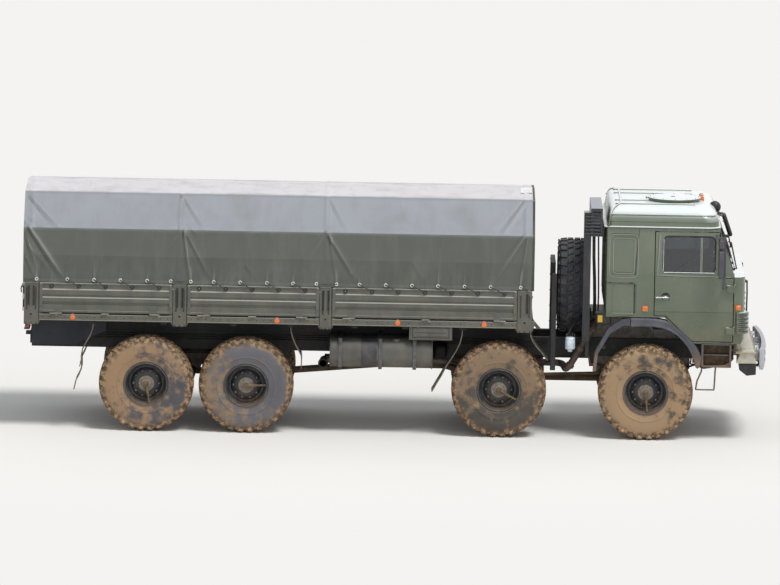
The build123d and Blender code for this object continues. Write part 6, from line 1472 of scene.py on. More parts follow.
    def inside(self) -> None:
        """Make the crew's cushions, sun visors, gauges, a dash plate, the box between the seats and the gear lever."""
        for name, y in (("right", -560), ("left", 560)):
            for part, low, high, lean in (
                ("seat", (-300, y - 245, 1846), (165, y + 245, 1975), 0.0),
                ("back", (-372, y - 235, 1968), (-232, y + 235, 2520), -0.14),
            ):
                made = cushion(low, high, lean).piece(f"{name}_{part}_cushion", SEAT_CLOTH, "cab", "seat_cloth", 80.0)
        fittings, visors = Shape(), Shape()
        for side in SIDES.values():
            visors.box((880, side * 330, 2560), (902, side * 900, 2716), 6, Euler((0, -0.3, 0)))
            visors.rod((888, side * 300, 2716), (888, side * 930, 2716), 6, 8)
        for number in range(5):
            fittings.spun([(0, 3), (34, 3), (40, 9), (44, 0)], (852, 420 + 70 * number, 2062), "x", 24, outward=-1)
        fittings.box((845, -900, 1960), (858, -180, 2080), 6)
        fittings.box((150, -180, 1700), (640, 180, 1905), 18, segments=2)
        fittings.tube([(520, 90, 1905), (512, 92, 2000), (505, 100, 2075)], 8)
        visors.piece("sun_visors", CAB_LINING, "cab", "seat_cloth")
        fittings.piece("dash_fittings", TRIM_BLACK, "cab", "seat_cloth")

    def build(self) -> None:
        """Make all the cab's fittings."""
        for step in (self.side_trim, self.door_trim, self.front_trim, self.roof_trim, self.inside):
            step()


def cushion(low: Point, high: Point, lean: float) -> Shape:
    """Give a crowned cushion with a welt round it and two sewn channels.

    Args:
        low: its lowest corner.
        high: its highest corner.
        lean: how far it leans back, in radians.

    Returns:
        The cushion's shape.
    """
    middle = [(a + b) / 2 for a, b in zip(low, high)]
    half = [(b - a) / 2 for a, b in zip(low, high)]
    thin = half.index(min(half))
    wide = [axis for axis in range(3) if axis != thin]
    part = bmesh.new()
    bmesh.ops.create_cube(part, size=2.0)
    bmesh.ops.subdivide_edges(part, edges=part.edges, cuts=15, use_grid_fill=True)
    for vert in part.verts:
        flat = [vert.co[axis] for axis in wide]
        edge = max(abs(flat[0]), abs(flat[1]))
        corner = math.hypot(*flat)
        pull = 1.0 - 0.05 * (1 - edge ** 4) * (abs(vert.co[thin]) < 0.99) - 0.07 * max(0.0, corner - 1.0)
        crown = 0.72 + 0.28 * math.sqrt(max(0.0, 1 - edge ** 6))
        seam = sum(0.16 * math.exp(-((flat[0] - line) / 0.05) ** 2) for line in (-0.42, 0.42))
        place = [0.0, 0.0, 0.0]
        place[thin] = vert.co[thin] * half[thin] * (crown - (seam if vert.co[thin] > 0.5 else 0.0))
        for axis, value in zip(wide, flat):
            place[axis] = value * half[axis] * pull
        vert.co = Matrix.Rotation(lean, 3, "Y") @ Vector(place) * MM + at(*middle)
    bmesh.ops.smooth_vert(part, verts=part.verts, factor=0.4, use_axis_x=True, use_axis_y=True, use_axis_z=True)
    return Shape(part)


class Roof:
    """The high pressed roof: smooth from its drip edge to its crown, with a hatch hole and a raised rear rim."""

    # height, rear, front, half width, corner radii at the rear and front
    LEVELS = (
        (2816, -517, 904, 1120, 70, 170), (2816, -594, 958, 1172, 60, 180), (2833, -594, 958, 1172, 60, 180),
        (2839, -560, 944, 1156, 60, 182), (2842, -546, 932, 1146, 60, 182), (2900, -538, 926, 1136, 62, 190),
        (2950, -530, 914, 1122, 66, 200), (2990, -522, 896, 1103, 74, 215), (3020, -512, 872, 1076, 84, 235),
        (3046, -498, 836, 1040, 100, 260), (3066, -480, 790, 994, 120, 280), (3080, -455, 728, 936, 140, 290),
        (3088, -425, 650, 860, 160, 290), (3091, -380, 560, 740, 160, 250),
    )
    WALL = 30.0
    HATCH = (351.0, -300.0)
    RIBS = (-760.0, -380.0, 380.0, 760.0)

    def outline(self, level: Sequence[float], wall: float = 0.0) -> Profile:
        """Give the plan outline of one level, as X and Y, moved in by a wall's thickness."""
        _, rear, front, half, rear_radius, front_radius = level
        back, ahead = rear_radius - wall, front_radius - wall
        return rounded_outline((rear + wall, front - wall), (wall - half, half - wall), (ahead, back, back, ahead), 6)

    def ring(self, part: Part, level: Sequence[float], wall: float = 0.0) -> List[Vert]:
        """Add one level's ring of vertices."""
        return [part.verts.new(at(x, y, level[0] - wall)) for x, y in self.outline(level, wall)]

    def shell(self) -> Part:
        """Make the roof's shell, open below and at the hatch."""
        part = bmesh.new()
        outer = [self.ring(part, level) for level in self.LEVELS]
        inner = [self.ring(part, level, self.WALL) for level in self.LEVELS[6:]]
        for rows in (outer, [outer[0], *inner]):
            for first, second in zip(rows, rows[1:]):
                fill_grid(part, [[*first, first[0]], [*second, second[0]]])
        hole = []
        for radius, z in ((341, 3091), (341, 3112), (336, 3116), (321, 3116), (321, 3061)):
            place = Matrix.Translation(at(*self.HATCH, z))
            hole.append(bmesh.ops.create_circle(part, cap_ends=False, segments=48, radius=radius * MM,
                                                matrix=place)["verts"])
        bridge_rings(part, hole)
        for ring, circle in ((outer[-1], hole[0]), (inner[-1], hole[-1])):
            for number, vert in enumerate(ring):
                if not part.edges.get((vert, ring[number - 1])):
                    part.edges.new((vert, ring[number - 1]))
            bridge_rings(part, [ring, circle])
        return part

    def build(self) -> None:
        """Make the roof with its ribs and rim, the mirror that looks down the front, and the search lamp."""
        shape, mirror = Shape(), Shape()
        shape.add(self.shell())
        for y in self.RIBS:
            shape.box((-440, y - 30, 3078), (610, y + 30, 3103), 10, segments=2)
        rim = [(x + 16, side * half, z) for side in (-1, 1) for z, x, _, half, _, _ in
               (self.LEVELS[3:] if side < 0 else self.LEVELS[:2:-1])]
        shape.tube(rim, 13, 8)
        for side in SIDES.values():
            shape.tube([(x, side * (y + 3), z) for x, y, z in ((-530, 1106, 2990), (300, 1106, 2990), (700, 1102, 2990),
                                                            (830, 1070, 2988), (880, 1010, 2984))], 7, 8)
        for y in (-44, 44):
            mirror.rod((866, y - 420, 2960), (1010, y - 420, 2900), 8, 10)
            mirror.rod((1010, y - 420, 2904), (1020, y - 420, 2840), 8, 10)
        mirror.box((1028, -540, 2640), (1082, -300, 2950), 26, Euler((0, -0.34, 0)), 4)
        mirror.spun([(0, 82), (40, 72), (66, 48), (78, 14), (80, -16), (66, -50), (40, -66), (0, -72)],
                    (892, -250, 3006), "y", 28)
        mirror.rod((892, -250, 2960), (884, -250, 2900), 16, 12)
        glass = Shape()
        glass.box((1020, -524, 2660), (1030, -316, 2930), 5, Euler((0, -0.34, 0)))
        glass.piece("front_view_mirror_glass", MIRROR_SILVER, "cab", "mirror_black", 50)
        shape.piece("pressed_roof", ROOF_ENAMEL, "cab", "roof_paint", 42, ("cab_roof",))
        mirror.piece("front_view_mirror", TRIM_BLACK, "cab", "mirror_black", 50)


class Wings:
    """The front wings' bowed arches, the step boxes behind the bumper and the steps that hang below them."""

    UNDER = ((712, 1000), (676, 968), (650, 990), (628, 1060), (596, 1150), (545, 1245), (478, 1330), (396, 1408),
             (300, 1466), (200, 1500), (90, 1514), (-60, 1516), (-214, 1508))
    OVER = ((722, 1140), (706, 1180), (684, 1225), (656, 1265), (618, 1310), (560, 1370), (490, 1435), (410, 1500),
            (325, 1562), (240, 1608), (120, 1630), (-40, 1634), (-214, 1634))

    def arch(self, shape: Shape, side: int) -> None:
        """Add one side's bowed arch, as a bowed band with a rolled outer lip."""
        part = bmesh.new()
        rows = []
        for (ux, uz), (ox, oz) in zip(self.UNDER, self.OVER):
            row = []
            for share, y in ((0.0, 1095), (0.0, 1228), (0.03, 1240), (0.10, 1245), (0.22, 1242), (0.30, 1234),
                             (0.70, 1236), (0.88, 1232), (0.97, 1218), (1.0, 1200), (1.0, 1095)):
                row.append(part.verts.new(at(ux + share * (ox - ux), side * y, uz + share * (oz - uz))))
            rows.append([*row, row[0]])
        fill_grid(part, rows)
        part.faces.new(rows[0][:-1])
        part.faces.new(rows[-1][:-1])
        shape.add(part)

    def steps(self, shape: Shape, mud: Shape, side: int) -> None:
        """Add one side's step box with its treads, and its hanging step."""
        for low, high in (((722, 1180, 1286), (1120, 1235, 1301)), ((722, 1060, 989), (1120, 1235, 1012)),
                          ((722, 1060, 989), (752, 1235, 1301)), ((1092, 1060, 989), (1120, 1232, 1301))):
            shape.box((low[0], side * low[1], low[2]), (high[0], side * high[1], high[2]), 9, segments=2)
        shape.box((740, side * 1068, 1148), (1104, side * 1216, 1160), 3)
        shape.box((722, side * 930, 989), (1120, side * 1066, 1301), 5)
        mud.box((746, side * 1062, 1008), (1098, side * 1074, 1146), 4)
        mud.box((746, side * 1062, 1162), (1098, side * 1070, 1290), 3)
        mud.prism([(750, 1008), (1096, 1008), (1096, 1060), (1040, 1022), (900, 1014)], (side * 1080, side * 1226), 4)
        for foot, knee, hand in ((660, 676, 736), (902, 908, 918)):
            mud.tube([(hand, side * 1180, 1000), (hand - 6, side * 1182, 930), (knee, side * 1180, 800),
                      (foot, side * 1182, 690)], 11, 6)
        mud.box((655, side * 1150, 680), (908, side * 1210, 690), 2)

    def build(self) -> None:
        """Make both wings, which stand for the CAD's plainer ones."""
        shape, mud = Shape(), Shape()
        for side in SIDES.values():
            self.arch(shape, side)
            self.steps(shape, mud, side)
        shape.piece("front_wings", WING_PLASTIC, "cab", "fender_grey", 44, ("cab_wings",))
        mud.piece("muddy_steps", AIR_ARM_STEEL, "cab", "fender_grey", 40)


# Bed and chassis fittings -----------------------------------------------------------------------


class Bed:
    """What shows on the drop-side bed beyond its boards: post slots, hooks, latches, hinges and lamps."""

    POSTS = ((-8228, -8035), (-6262, -6080), (-4323, -4168), (-1713, -1524))
    BOARDS = ((-8029, -6264), (-6076, -4327), (-4164, -1719))
    LATCHES = (-7836, -7155, -6485, -5890, -5211, -4536, -3965, -2923, -1920)
    RAIL_LAMPS = (-7582, -4884, -3291, -2149)
    TAIL_LAMP_YS = (800, 890, 980, 1070)
    PLANKS = 11
    PLANK_PITCH = 205
    RAIL_HOLES = 18

    def posts(self) -> None:
        """Make the posts' slots, bolt holes and gusset feet."""
        dark, plates = Shape(), Shape()
        for side in SIDES.values():
            for rear, front in self.POSTS:
                middle = (rear + front) / 2
                # the slots and bolt holes are black boxes and discs: painted shade in the openings
                for x in (middle - 34, middle + 34) if front < -1600 else (middle + 30,):
                    dark.box((x - 12, side * 1246, 1660), (x + 12, side * 1253, 1925), 5)
                    plates.box((x - 20, side * 1246, 1640), (x - 14, side * 1258, 1940), 2)
                    plates.box((x + 14, side * 1246, 1640), (x + 20, side * 1258, 1940), 2)
                dark.spun([(0, 2), (14, 2), (17, 0)], (middle, side * 1251, 1545), steps=18, outward=side)
                plates.spun([(14, 5), (22, 4), (24, -2)], (middle, side * 1250, 1545), steps=20, outward=side)
                for x, way in ((rear, -1), (front, 1)):
                    if rear != self.POSTS[0][0] or way > 0:
                        plates.prism([(x, 1560), (x + way * 52, 1560), (x + way * 14, 1426), (x, 1426)],
                                     (side * 1226, side * 1236), 2)
                for x in (rear + 26, middle, front - 26):
                    plates.rod((x, side * 1250, 1452), (x, side * 1258, 1452), 11, 6, 2)
                    dark.prism([(x - 15, 1408), (x + 15, 1408), (x, 1432)], (side * 1249, side * 1252))
                plates.box((rear + 4, side * 1240, 1956), (front - 4, side * 1254, 1966), 3)
        dark.piece("post_slots", SEAL_RUBBER, "chassis", "mirror_black")
        plates.piece("post_plates", BOARD_PAINT, "chassis", "board_paint")

    def boards(self) -> None:
        """Make each side board's pressed ribs, frame and hooks, and the latches under it."""
        latches = Shape()
        for number, (rear, front) in enumerate(self.BOARDS, start=1):
            for name, side in SIDES.items():
                ribs, hooks, steel = Shape(), Shape(), Shape()
                for low, high in ((1712, 1782), (1802, 1888)):
                    section = ((1243, low), (1258, low + 4), (1260, high - 17), (1243, high))
                    ribs.prism([(side * y, z) for y, z in section], (rear + 44, front - 44), 0.0, "yz")
                for x in (rear + 8, front - 48):
                    ribs.box((x, side * 1244, 1656), (x + 40, side * 1262, 1956), 4)
                    ribs.box((x, side * 1244, 1574), (x + 40, side * 1251, 1656), 2)
                ribs.box((rear + 10, side * 1244, 1574), (front - 10, side * 1250, 1600), 2)
                ribs.box((rear + 10, side * 1230, 1940), (front - 10, side * 1258, 1964), 5)
                for hook in Tent.HOOKS:
                    if rear < hook < front:
                        steel.spun([(0, 16), (9, 14), (11, 2)], (hook, side * 1250, 1922), steps=14, outward=side)
                        hooks.spun([(12, -4), (12, 13), (25, 13), (29, -4)], (hook, side * 1250, 1922), steps=18,
                                   outward=side)
                for latch in self.LATCHES:
                    if rear < latch < front:
                        latches.box((latch - 40, side * 1248, 1549), (latch + 34, side * 1262, 1567), 3)
                        latches.rod((latch - 52, side * 1262, 1558), (latch + 52, side * 1262, 1558), 9, 10, 2)
                        latches.box((latch + 26, side * 1246, 1526), (latch + 64, side * 1254, 1546), 2)
                tag = f"{number}{name}"
                ribs.piece(f"board_ribs_{tag}", BOARD_PAINT, f"board_{tag}", "board_paint")
                hooks.piece(f"board_hooks_{tag}", SEAL_RUBBER, f"board_{tag}", "mirror_black")
                steel.piece(f"board_steel_{tag}", WORN_STEEL, f"board_{tag}", "board_paint")
        latches.piece("board_latches", WORN_STEEL, "chassis", "board_paint")

    def floor(self) -> None:
        """Make the bed's planks, and the edge rails with their rows of holes."""
        planks, rail, holes = Shape(), Shape(), Shape()
        for number in range(self.PLANKS):
            y = -1125 + self.PLANK_PITCH * number
            planks.box((-8180, y, 1563.5), (-1540, y + 198, 1566.5), 1)
        for side in SIDES.values():
            for low, high in self.BOARDS:
                rail.box((low + 2, side * 1236, 1466), (high - 2, side * 1247, 1546), 4)
                rail.box((low + 2, side * 1240, 1462), (high - 2, side * 1250, 1474), 3)
                # the holes are black discs: painted shade in the openings
                for step in range(self.RAIL_HOLES):
                    x = low + 60 + step * (high - low - 120) / (self.RAIL_HOLES - 1)
                    holes.spun([(0, 1), (7, 1), (8, -1)], (x, side * 1247, 1508), steps=10, outward=side)
        planks.piece("bed_planks", FLOOR_WOOD, "chassis", "floor_wood")
        rail.piece("bed_edge_rails", BOARD_PAINT, "chassis", "board_paint")
        holes.piece("bed_rail_holes", SEAL_RUBBER, "chassis", "mirror_black")

    def tail(self) -> None:
        """Make the tailgate's ribs, latches and chains, the tail lamps' housings and the blank plate."""
        ribs, steel, black = Shape(), Shape(), Shape()
        for low, high in ((1600, 1690), (1780, 1870)):
            ribs.box((-8248, -1080, low), (-8236, 1080, high), 6)
        for y in (-1170, -600, 0, 600, 1130):
            ribs.box((-8246, y, 1570), (-8236, y + 40, 1950), 3)
        for side in SIDES.values():
            steel.box((-8258, side * 1090, 1880), (-8238, side * 1168, 1930), 5)
            steel.tube([(-8262, side * 1100, 1900), (-8272, side * 1110, 1860), (-8264, side * 1116, 1810)], 9, 8)
            black.box((-8226, side * 750, 1318), (-8150, side * 1108, 1334), 4)
            for y in self.TAIL_LAMP_YS:
                black.spun([(24, 0), (38, 6), (42, 0), (42, -20)], (-8206, side * y, 1406), "x", 20)
        black.box((-8226, -240, 1300), (-8216, 240, 1420), 4)
        ribs.piece("tailgate_ribs", BOARD_PAINT, "tail_board", "board_paint")
        steel.piece("tailgate_latches", WORN_STEEL, "tail_board", "board_paint")
        black.piece("tail_lamp_housings", TRIM_BLACK, "chassis", "mirror_black")

    def build(self) -> None:
        """Make all the bed's fittings."""
        for step in (self.posts, self.boards, self.floor, self.tail):
            step()


class Chassis:
    """What shows along the frame: straps, lids, pipes, air tanks, hangers, lamps and the front end."""

    TANK_STRAPS = (-4044, -3515, -3062)
    TRACK_ROD_BACK = 190
    HEADLAMP_YS = (560, 720)
    # the bowed push bar's line, as X and Y, and its tubes' heights
    PUSH_BAR = ((1508, -1120), (1560, -900), (1592, -450), (1600, 0), (1592, 450), (1560, 900), (1508, 1120))
    PUSH_BAR_ZS = (1000, 1090, 1190)
    # each flap's bent line from its top, as X and Z
    FLAPS = (
        ((-7300, 1420), (-7312, 1350), (-7340, 1270), (-7395, 1170), (-7438, 1090), (-7456, 1000), (-7452, 900),
         (-7450, 830), (-7480, 750), (-7520, 670), (-7548, 545)),
        ((-4696, 1420), (-4690, 1360), (-4668, 1280), (-4630, 1190), (-4584, 1110), (-4552, 1050), (-4546, 980),
         (-4552, 875)),
        ((-2430, 1420), (-2436, 1350), (-2460, 1250), (-2510, 1140), (-2570, 1040), (-2640, 930), (-2700, 810),
         (-2770, 690), (-2820, 600)),
        ((-1534, 1420), (-1524, 1350), (-1490, 1280), (-1440, 1210), (-1385, 1150), (-1335, 1090), (-1300, 1042)),
    )

    def tank(self) -> None:
        """Make the fuel tank's straps, end seams and filler cap, and the tool box's lid with its latches."""
        straps, lids, lines = Shape(), Shape(), Shape()
        for x in self.TANK_STRAPS:
            for (y0, z0), (y1, z1) in (((-1198, 900), (-1188, 1268)), ((-1196, 1272), (-440, 1284)),
                                       ((-1180, 880), (-430, 888))):
                straps.box((x - 24, y0, z0), (x + 24, y1, z1), 3)
            straps.rod((x, -1206, 1210), (x, -1206, 1262), 9, 8, 2)
            straps.box((x - 30, -440, 1000), (x + 30, -420, 1280), 4)
        for x in (-4176, -2834):
            straps.box((x, -1192, 894), (x + 8, -430, 1272), 3)
        lids.spun([(0, 36), (44, 36), (50, 30), (50, 4), (58, 0)], (-3300, -1080, 1276), "z", 24)
        lids.box((-3122, -1236, 1298), (-2584, -1226, 1472), 8)
        lids.box((-3076, -1243, 1338), (-2630, -1234, 1434), 8)
        for low, high in (((-3098, -1239, 1316), (-2608, -1234, 1324)), ((-3098, -1239, 1448), (-2608, -1234, 1456)),
                          ((-3098, -1239, 1316), (-3090, -1234, 1456)), ((-2616, -1239, 1316), (-2608, -1234, 1456)),
                          ((-3060, -1245, 1382), (-2646, -1240, 1388))):
            lines.box(low, high, 1)
        for x in (-3020, -2690):
            straps.box((x - 16, -1248, 1450), (x + 16, -1234, 1484), 3)
        straps.tube([(-2880, -1240, 1372), (-2878, -1256, 1368), (-2830, -1256, 1368), (-2828, -1240, 1372)], 6, 6)
        straps.piece("tank_straps", STRAP_STEEL, "chassis", "dark_frame")
        lines.piece("tool_box_lid_lines", SEAL_RUBBER, "chassis", "mirror_black")
        lids.piece("tank_lids", TANK_ALUMINIUM, "chassis", "tank_paint")

    def pipes(self) -> None:
        """Make the exhaust's clamps and outlet, the air tanks, brake chambers, hoses and steering rods."""
        bands, tanks, hoses, rods = Shape(), Shape(), Shape(), Shape()
        for first, last in (((-700, -640, 1406), (-722, -640, 1369)), ((-850, -640, 1152), (-880, -640, 1101)),
                            ((-985, -640, 923), (-1010, -640, 881))):
            bands.rod(first, last, 58, 20, 4)
        hoses.spun([(0, 8), (44, 8), (48, 22), (60, 22), (66, 14), (66, -30)], (-4271, -752, 885), steps=28, outward=-1)
        for x, y, z, long in ((-2620, -560, 1060, 196), (-2620, 560, 1060, 460), (-2620, 620, 820, 460)):
            tanks.spun([(0, 0), (70, 8), (104, 34), (112, 70), (112, long - 70), (104, long - 34), (70, long - 8),
                        (0, long)], (x, y, z), "x", 28)
        for x in (axle - self.TRACK_ROD_BACK for axle in AXLE_XS[:2]):
            rods.rod((x, -770, 640), (x, 770, 640), 22, 14)
            for y in (-770, 770):
                rods.spun([(0, -34), (26, -30), (34, 0), (26, 30), (0, 34)], (x, y, 640), "z", 18)
        for side in SIDES.values():
            rods.prism([(1190, 1000), (1150, 950), (960, 880), (790, 850), (700, 880), (670, 1000)],
                       (side * 344, side * 418), 8)
        rods.rod((-60, -462, 800), (-1800, -462, 735), 21, 14)
        rods.rod((-1850, -462, 735), (-2100, -462, 720), 21, 14)
        for axle in AXLE_XS:
            for side in SIDES.values():
                tanks.spun([(0, -70), (58, -66), (76, -30), (80, 0), (72, 8), (76, 16), (60, 56), (0, 62)],
                           (axle + 165, side * 560, 770), steps=24)
                hoses.tube([(axle + 165, side * 500, 800), (axle + 150, side * 440, 900), (axle + 60, side * 430, 1000),
                            (axle + 40, side * 426, 1090)], 9, 8)
        for y, z in ((-432, 1170), (-434, 1140), (-436, 1200), (432, 1170), (434, 1140)):
            hoses.tube([(-7900, y, z), (-6200, y, z - 6), (-4400, y, z + 4), (-2500, y, z - 5), (-1300, y, z)], 8, 6)
        bands.piece("exhaust_bands", EXHAUST_STEEL, "chassis", "exhaust_steel")
        tanks.piece("air_tanks_and_chambers", CHASSIS_PAINT, "chassis", "dark_frame")
        hoses.piece("brake_lines", SEAL_RUBBER, "chassis", "flap_rubber")
        rods.piece("steering_rods", CHASSIS_PAINT, "chassis", "dark_frame")

    def behind_cab(self) -> None:
        """Make the intake's louvres, the canister, the battery box, the carrier's posts and the hoses."""
        louvres, canister, boxes, cables, posts = Shape(), Shape(), Shape(), Shape(), Shape()
        for number in range(6):
            z = 2712 + 44 * number
            louvres.box((-842, -1106, z), (-640, -1096, z + 24), 4, Euler((0.35, 0, 0)))
        canister.spun([(0, 0), (50, 2), (64, 12), (66, 30), (62, 40), (66, 48), (66, 150), (56, 164), (30, 170),
                       (30, 196), (0, 198)], (-1009, -1120, 1350), "z", 32)
        boxes.box((-676, -1170, 1530), (-480, -1050, 1690), 10)
        boxes.box((-690, -1174, 1676), (-470, -1046, 1696), 4)
        yellow = Shape()
        yellow.box((-652, -1175, 1560), (-590, -1169, 1650), 2)
        for y in (-380, 380):
            for z in range(1350, 2241, 210):
                posts.rod((-1264, y, z), (-1271, y, z), 9, 6, 2)
        posts.box((-1270, -1130, 900), (-1200, -1096, 2190), 6)
        for number in range(4):
            cables.tube([(-1060 + 40 * number, -900 + 90 * number, 1250),
                         (-1000, -860 + 80 * number, 1420 + 20 * number), (-880 + 50 * number, -700, 1560),
                         (-740, -520 + 60 * number, 1640)], 13 - number, 8)
        cables.tube([(-720, -1000, 2690), (-715, -980, 2400), (-700, -930, 2100), (-690, -860, 1800),
                     (-690, -760, 1600)], 22, 12)
        cables.tube([(-660, -960, 2680), (-650, -900, 2300), (-640, -800, 1900), (-640, -700, 1600)], 11, 8)
        louvres.piece("intake_louvres", INTAKE_BLACK, "chassis", "dark_frame")
        canister.piece("filter_canister", CANISTER_TIN, "chassis", "exhaust_steel", 50)
        boxes.piece("battery_box", TRIM_BLACK, "chassis", "dark_frame")
        yellow.piece("warning_patch", YELLOW_PATCH, "chassis", "lamp_mixed")
        posts.piece("carrier_posts", CHASSIS_PAINT, "chassis", "dark_frame")
        cables.piece("engine_hoses", SEAL_RUBBER, "chassis", "flap_rubber", 60)

    def front_end(self) -> None:
        """Make the bumper's plates and brackets, the bowed push bar's facing, tow hooks and headlamps."""
        plates, black, bright, glass = Shape(), Shape(), Shape(), Shape()
        plates.prism([(1236, 1180), (1262, 1206), (1396, 1226), (1428, 1196), (1440, 1156), (1236, 1156)],
                     (-1212, 1212), 4)
        for side in SIDES.values():
            plates.prism([(1184, 1052), (1222, 1140), (1252, 1204), (1405, 1226), (1454, 1050)],
                         (side * 1206, side * 1218), 3)
            black.prism([(1216, 1040), (1452, 1040), (1450, 900), (1330, 885), (1230, 960)],
                        (side * 1150, side * 1204), 4)
            for y in self.HEADLAMP_YS:
                lamp = (1489, side * y, 1118)
                glass.spun([(0, 10), (60, 8), (74, 2), (78, -4)], lamp, "x", 32, outward=-1)
                bright.spun([(78, -6), (84, 8), (92, 2), (92, -14)], lamp, "x", 32, outward=-1)
            black.tube([(1450, side * 420, 1010), (1500, side * 420, 990), (1530, side * 420, 950),
                        (1500, side * 420, 915), (1462, side * 420, 930)], 22, 12)
        for z in self.PUSH_BAR_ZS:
            bright.tube([(x, y, z) for x, y in self.PUSH_BAR], 15, 10)
        for side in SIDES.values():
            bright.tube([(1506, side * 1126, 980), (1508, side * 1128, 1100), (1500, side * 1126, 1220)], 17, 10)
            for y in (300, 700):
                black.box((1560, side * y - 8, 985), (1586, side * y + 8, 1205), 4)
        black.box((1455, -260, 1060), (1462, 260, 1170), 4)
        plates.piece("bumper_plates", BEIGE_PLATE, "chassis", "bumper_paint")
        black.piece("bumper_brackets", TRIM_BLACK, "chassis", "dark_frame")
        bright.piece("push_bar_tubes", WORN_ALLOY, "chassis", "exhaust_steel", 60)
        glass.piece("headlamp_glass", WHITE_LENS, "chassis", "lamp_mixed", 60)

    def hangings(self) -> None:
        """Make the bent mud flaps, the rear side plates and the rail lamps' lenses."""
        flaps, edges, plate, lenses = Shape(), Shape(), Shape(), Shape()
        for side in SIDES.values():
            for line in self.FLAPS:
                back = [(x - 11, z - 3) for x, z in reversed(line)]
                flaps.prism([*line, *back], (side * 862, side * 1218), 0.0)
                edges.tube([(x - 5, side * 1214, z) for x, z in line], 8, 6)
            plate.prism([(-8140, 1060), (-8140, 1410), (-7150, 1410), (-7150, 1250), (-7420, 1130), (-7560, 1060)],
                        (side * 640, side * 652), 3)
            for x in Bed.RAIL_LAMPS:
                lenses.spun([(0, 7), (22, 6), (33, 4), (36, -2)], (x, side * 1247, 1506), steps=24, outward=side)
        flaps.piece("bent_mud_flaps", FLAP_RUBBER, "chassis", "flap_rubber", 60, ("mudflaps",))
        edges.piece("flap_dusty_edges", DUSTY_EDGE, "chassis", "flap_rubber", 60)
        plate.piece("rear_side_plates", SKY_TINTED_BLACK, "chassis", "dark_frame")
        lenses.piece("rail_lamp_lenses", ORANGE_LENS, "chassis", "lamp_orange", 50)

    def build(self) -> None:
        """Make all the chassis fittings."""
        for step in (self.tank, self.pipes, self.behind_cab, self.front_end, self.hangings):
            step()


# Finishes of the CAD's own nodes --------------------------------------------------------------

NODE_FINISHES: Dict[str, Finish] = {
    "cab_shell": CAB_ENAMEL, "cab_roof": ROOF_ENAMEL, "service_lid": CAB_ENAMEL, "hatch_lid": ROOF_ENAMEL,
    "door_r": CAB_ENAMEL, "door_l": CAB_ENAMEL, "cab_wings": WING_PLASTIC, "rear_wings": WING_PLASTIC,
    "windscreen": WINDOW_GLASS, "door_glass_r": WINDOW_GLASS, "door_glass_l": WINDOW_GLASS,
    "mirrors_r": MIRROR_HOUSING, "mirrors_l": MIRROR_HOUSING, "cab_interior": SEAT_CLOTH, "cab_lamps": ORANGE_LENS,
    "bumper": BUMPER_PAINT, "engine": BARE_STEEL, "exhaust": EXHAUST_STEEL, "fuel_tank": TANK_ALUMINIUM,
    "tool_boxes": TANK_ALUMINIUM, "spare_tyre": SPARE_RUBBER, "spare_rim": RIM_PAINT,
    # bed_floor takes the near-black chassis paint, which is painted shade under the bed
    "spare_carrier": CHASSIS_PAINT, "air_intake": INTAKE_BLACK, "bed_floor": CHASSIS_PAINT,
    "bed_frame": BOARD_PAINT, "tailgate": BOARD_PAINT, "tent": TENT_CANVAS, "mudflaps": FLAP_RUBBER,
    "chassis_lamps": LAMP_PLASTIC, "frame": CHASSIS_PAINT,
}
PREFIX_FINISHES: Dict[str, Finish] = {
    "side_board": BOARD_PAINT, "rim_": RIM_PAINT,
}


def finish_of(node: str) -> Finish:
    """Give the finish of one CAD node by its name."""
    if node.startswith("tyre_"):
        return TYRES[int(node[5])]
    if node in NODE_FINISHES:
        return NODE_FINISHES[node]
    return next((finish for start, finish in PREFIX_FINISHES.items() if node.startswith(start)), CHASSIS_PAINT)


def dress_nodes() -> None:
    """Give every CAD node its finish."""
    for name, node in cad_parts.items():
        node.data.materials.clear()
        node.data.materials.append(finish_of(name).build())
        LOG.info("node %s: %s", name, finish_of(name).name)


# Studio -----------------------------------------------------------------------------------------

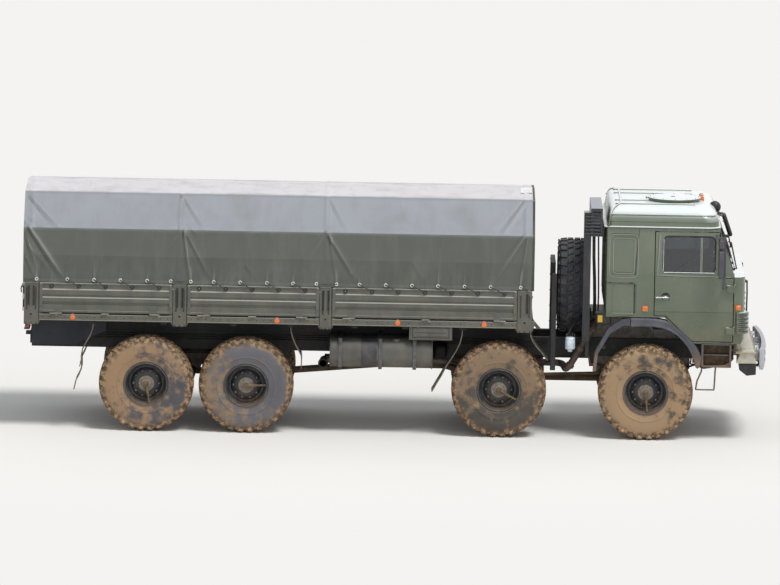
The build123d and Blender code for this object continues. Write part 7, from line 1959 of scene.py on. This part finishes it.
@dataclass
class Studio:
    """Pale floor, overcast light and the long lens at the photograph's angle."""

    elevation: float = 7.8
    roll: float = 1.05
    distance: float = 120.0
    view_width: float = 10.29
    sensor: float = 36.0
    aim: Point = (-3400, -1200, 1908)
    floor_half: float = 150.0

    def make_floor(self) -> None:
        """Lay the pale floor, which isn't part of the truck."""
        shape = bmesh.new()
        bmesh.ops.create_grid(shape, x_segments=1, y_segments=1, size=self.floor_half)
        mesh = bpy.data.meshes.new("studio_floor")
        shape.to_mesh(mesh)
        shape.free()
        mesh.materials.append(self.floor_material())
        new_object("studio_floor", mesh)

    def floor_material(self) -> Material:
        """Give the floor's pale paint, which runs out into a white background away from the truck."""
        material = FLOOR_FINISH.build()
        tree = material.node_tree
        output = next(node for node in tree.nodes if node.bl_idname == "ShaderNodeOutputMaterial")
        place = coordinates(tree, tuple(at(-3300, 0, 0)), (0.55, 1, 0))
        reach = add_node(tree, "VectorMath", {0: place}, operation="LENGTH").outputs["Value"]
        away = ramp(tree, reach, 2.5, 9.0)
        seen = arithmetic(tree, "MULTIPLY", away, add_node(tree, "LightPath").outputs["Is Camera Ray"])
        white = add_node(tree, "Emission", {"Color": linear("#F4F3F1"), "Strength": 1.0})
        mixed = add_node(tree, "MixShader", {0: seen, 1: output.inputs[0].links[0].from_socket, 2: white.outputs[0]})
        tree.links.new(mixed.outputs[0], output.inputs[0])
        return material

    def make_world(self) -> None:
        """Light the truck as an even overcast sky does, with white for the camera, through glass and in gloss."""
        world = bpy.data.worlds.new("overcast")
        bpy.context.scene.world = world
        world.use_nodes = True
        tree = world.node_tree
        tree.nodes.clear()
        rays = add_node(tree, "LightPath").outputs
        clear = arithmetic(tree, "MAXIMUM", rays["Is Camera Ray"], rays["Is Transmission Ray"])
        plain_seen = arithmetic(tree, "MAXIMUM", clear, rays["Is Glossy Ray"])
        sky = add_node(tree, "Background", {"Color": linear("#EEF2F8"), "Strength": 0.5})
        plain = add_node(tree, "Background", {"Color": linear("#FFFFFF"), "Strength": 1.0})
        mixed = add_node(tree, "MixShader", {0: plain_seen, 1: sky.outputs[0], 2: plain.outputs[0]})
        add_node(tree, "OutputWorld", {"Surface": mixed.outputs[0]})

    def make_lamps(self) -> None:
        """Let a broad soft sun fall from ahead and above, and hang a weak wide lamp in front."""
        for name, kind, place, target, size, power in (
            ("soft_sun", "SUN", (3.5, -3.8, 10.0), (0, 0, 0), math.radians(18), 2.2),
            ("front_fill", "AREA", (2.0, -14.0, 6.0), (0, 0, 1.2), 8.0, 160.0),
        ):
            lamp = bpy.data.lights.new(name, kind)
            lamp.energy = power
            if kind == "SUN":
                lamp.angle = size
            else:
                lamp.size = size
            holder = new_object(name, lamp)
            holder.location = place
            holder.rotation_euler = (Vector(target) - Vector(place)).to_track_quat("-Z", "Y").to_euler()

    def make_camera(self) -> None:
        """Stand the camera where the photographer stood, far off to the truck's right."""
        camera = bpy.data.cameras.new("long_lens")
        camera.sensor_width = self.sensor
        camera.lens = self.sensor * self.distance / self.view_width
        camera.clip_end = 4 * self.distance
        lift = math.radians(self.elevation)
        back = Vector((0, -math.cos(lift), math.sin(lift)))
        holder = new_object("long_lens", camera)
        holder.location = at(*self.aim) + back * self.distance
        turn = (-back).to_track_quat("-Z", "Y").to_matrix() @ Matrix.Rotation(math.radians(self.roll), 3, "Z")
        holder.rotation_euler = turn.to_euler()
        bpy.context.scene.camera = holder

    def build(self) -> None:
        """Set up the whole studio."""
        bpy.context.scene.view_settings.view_transform = "Standard"
        self.make_floor()
        self.make_world()
        self.make_lamps()
        self.make_camera()


def main() -> None:
    """Build every sub-assembly in order."""
    logging.basicConfig(level=logging.INFO, format="%(message)s")
    dress_nodes()
    RunningGear().build()
    Tent().build()
    Cab().build()
    Roof().build()
    Wings().build()
    Bed().build()
    Chassis().build()
    Studio().build()


if __name__ == "__main__":
    main()
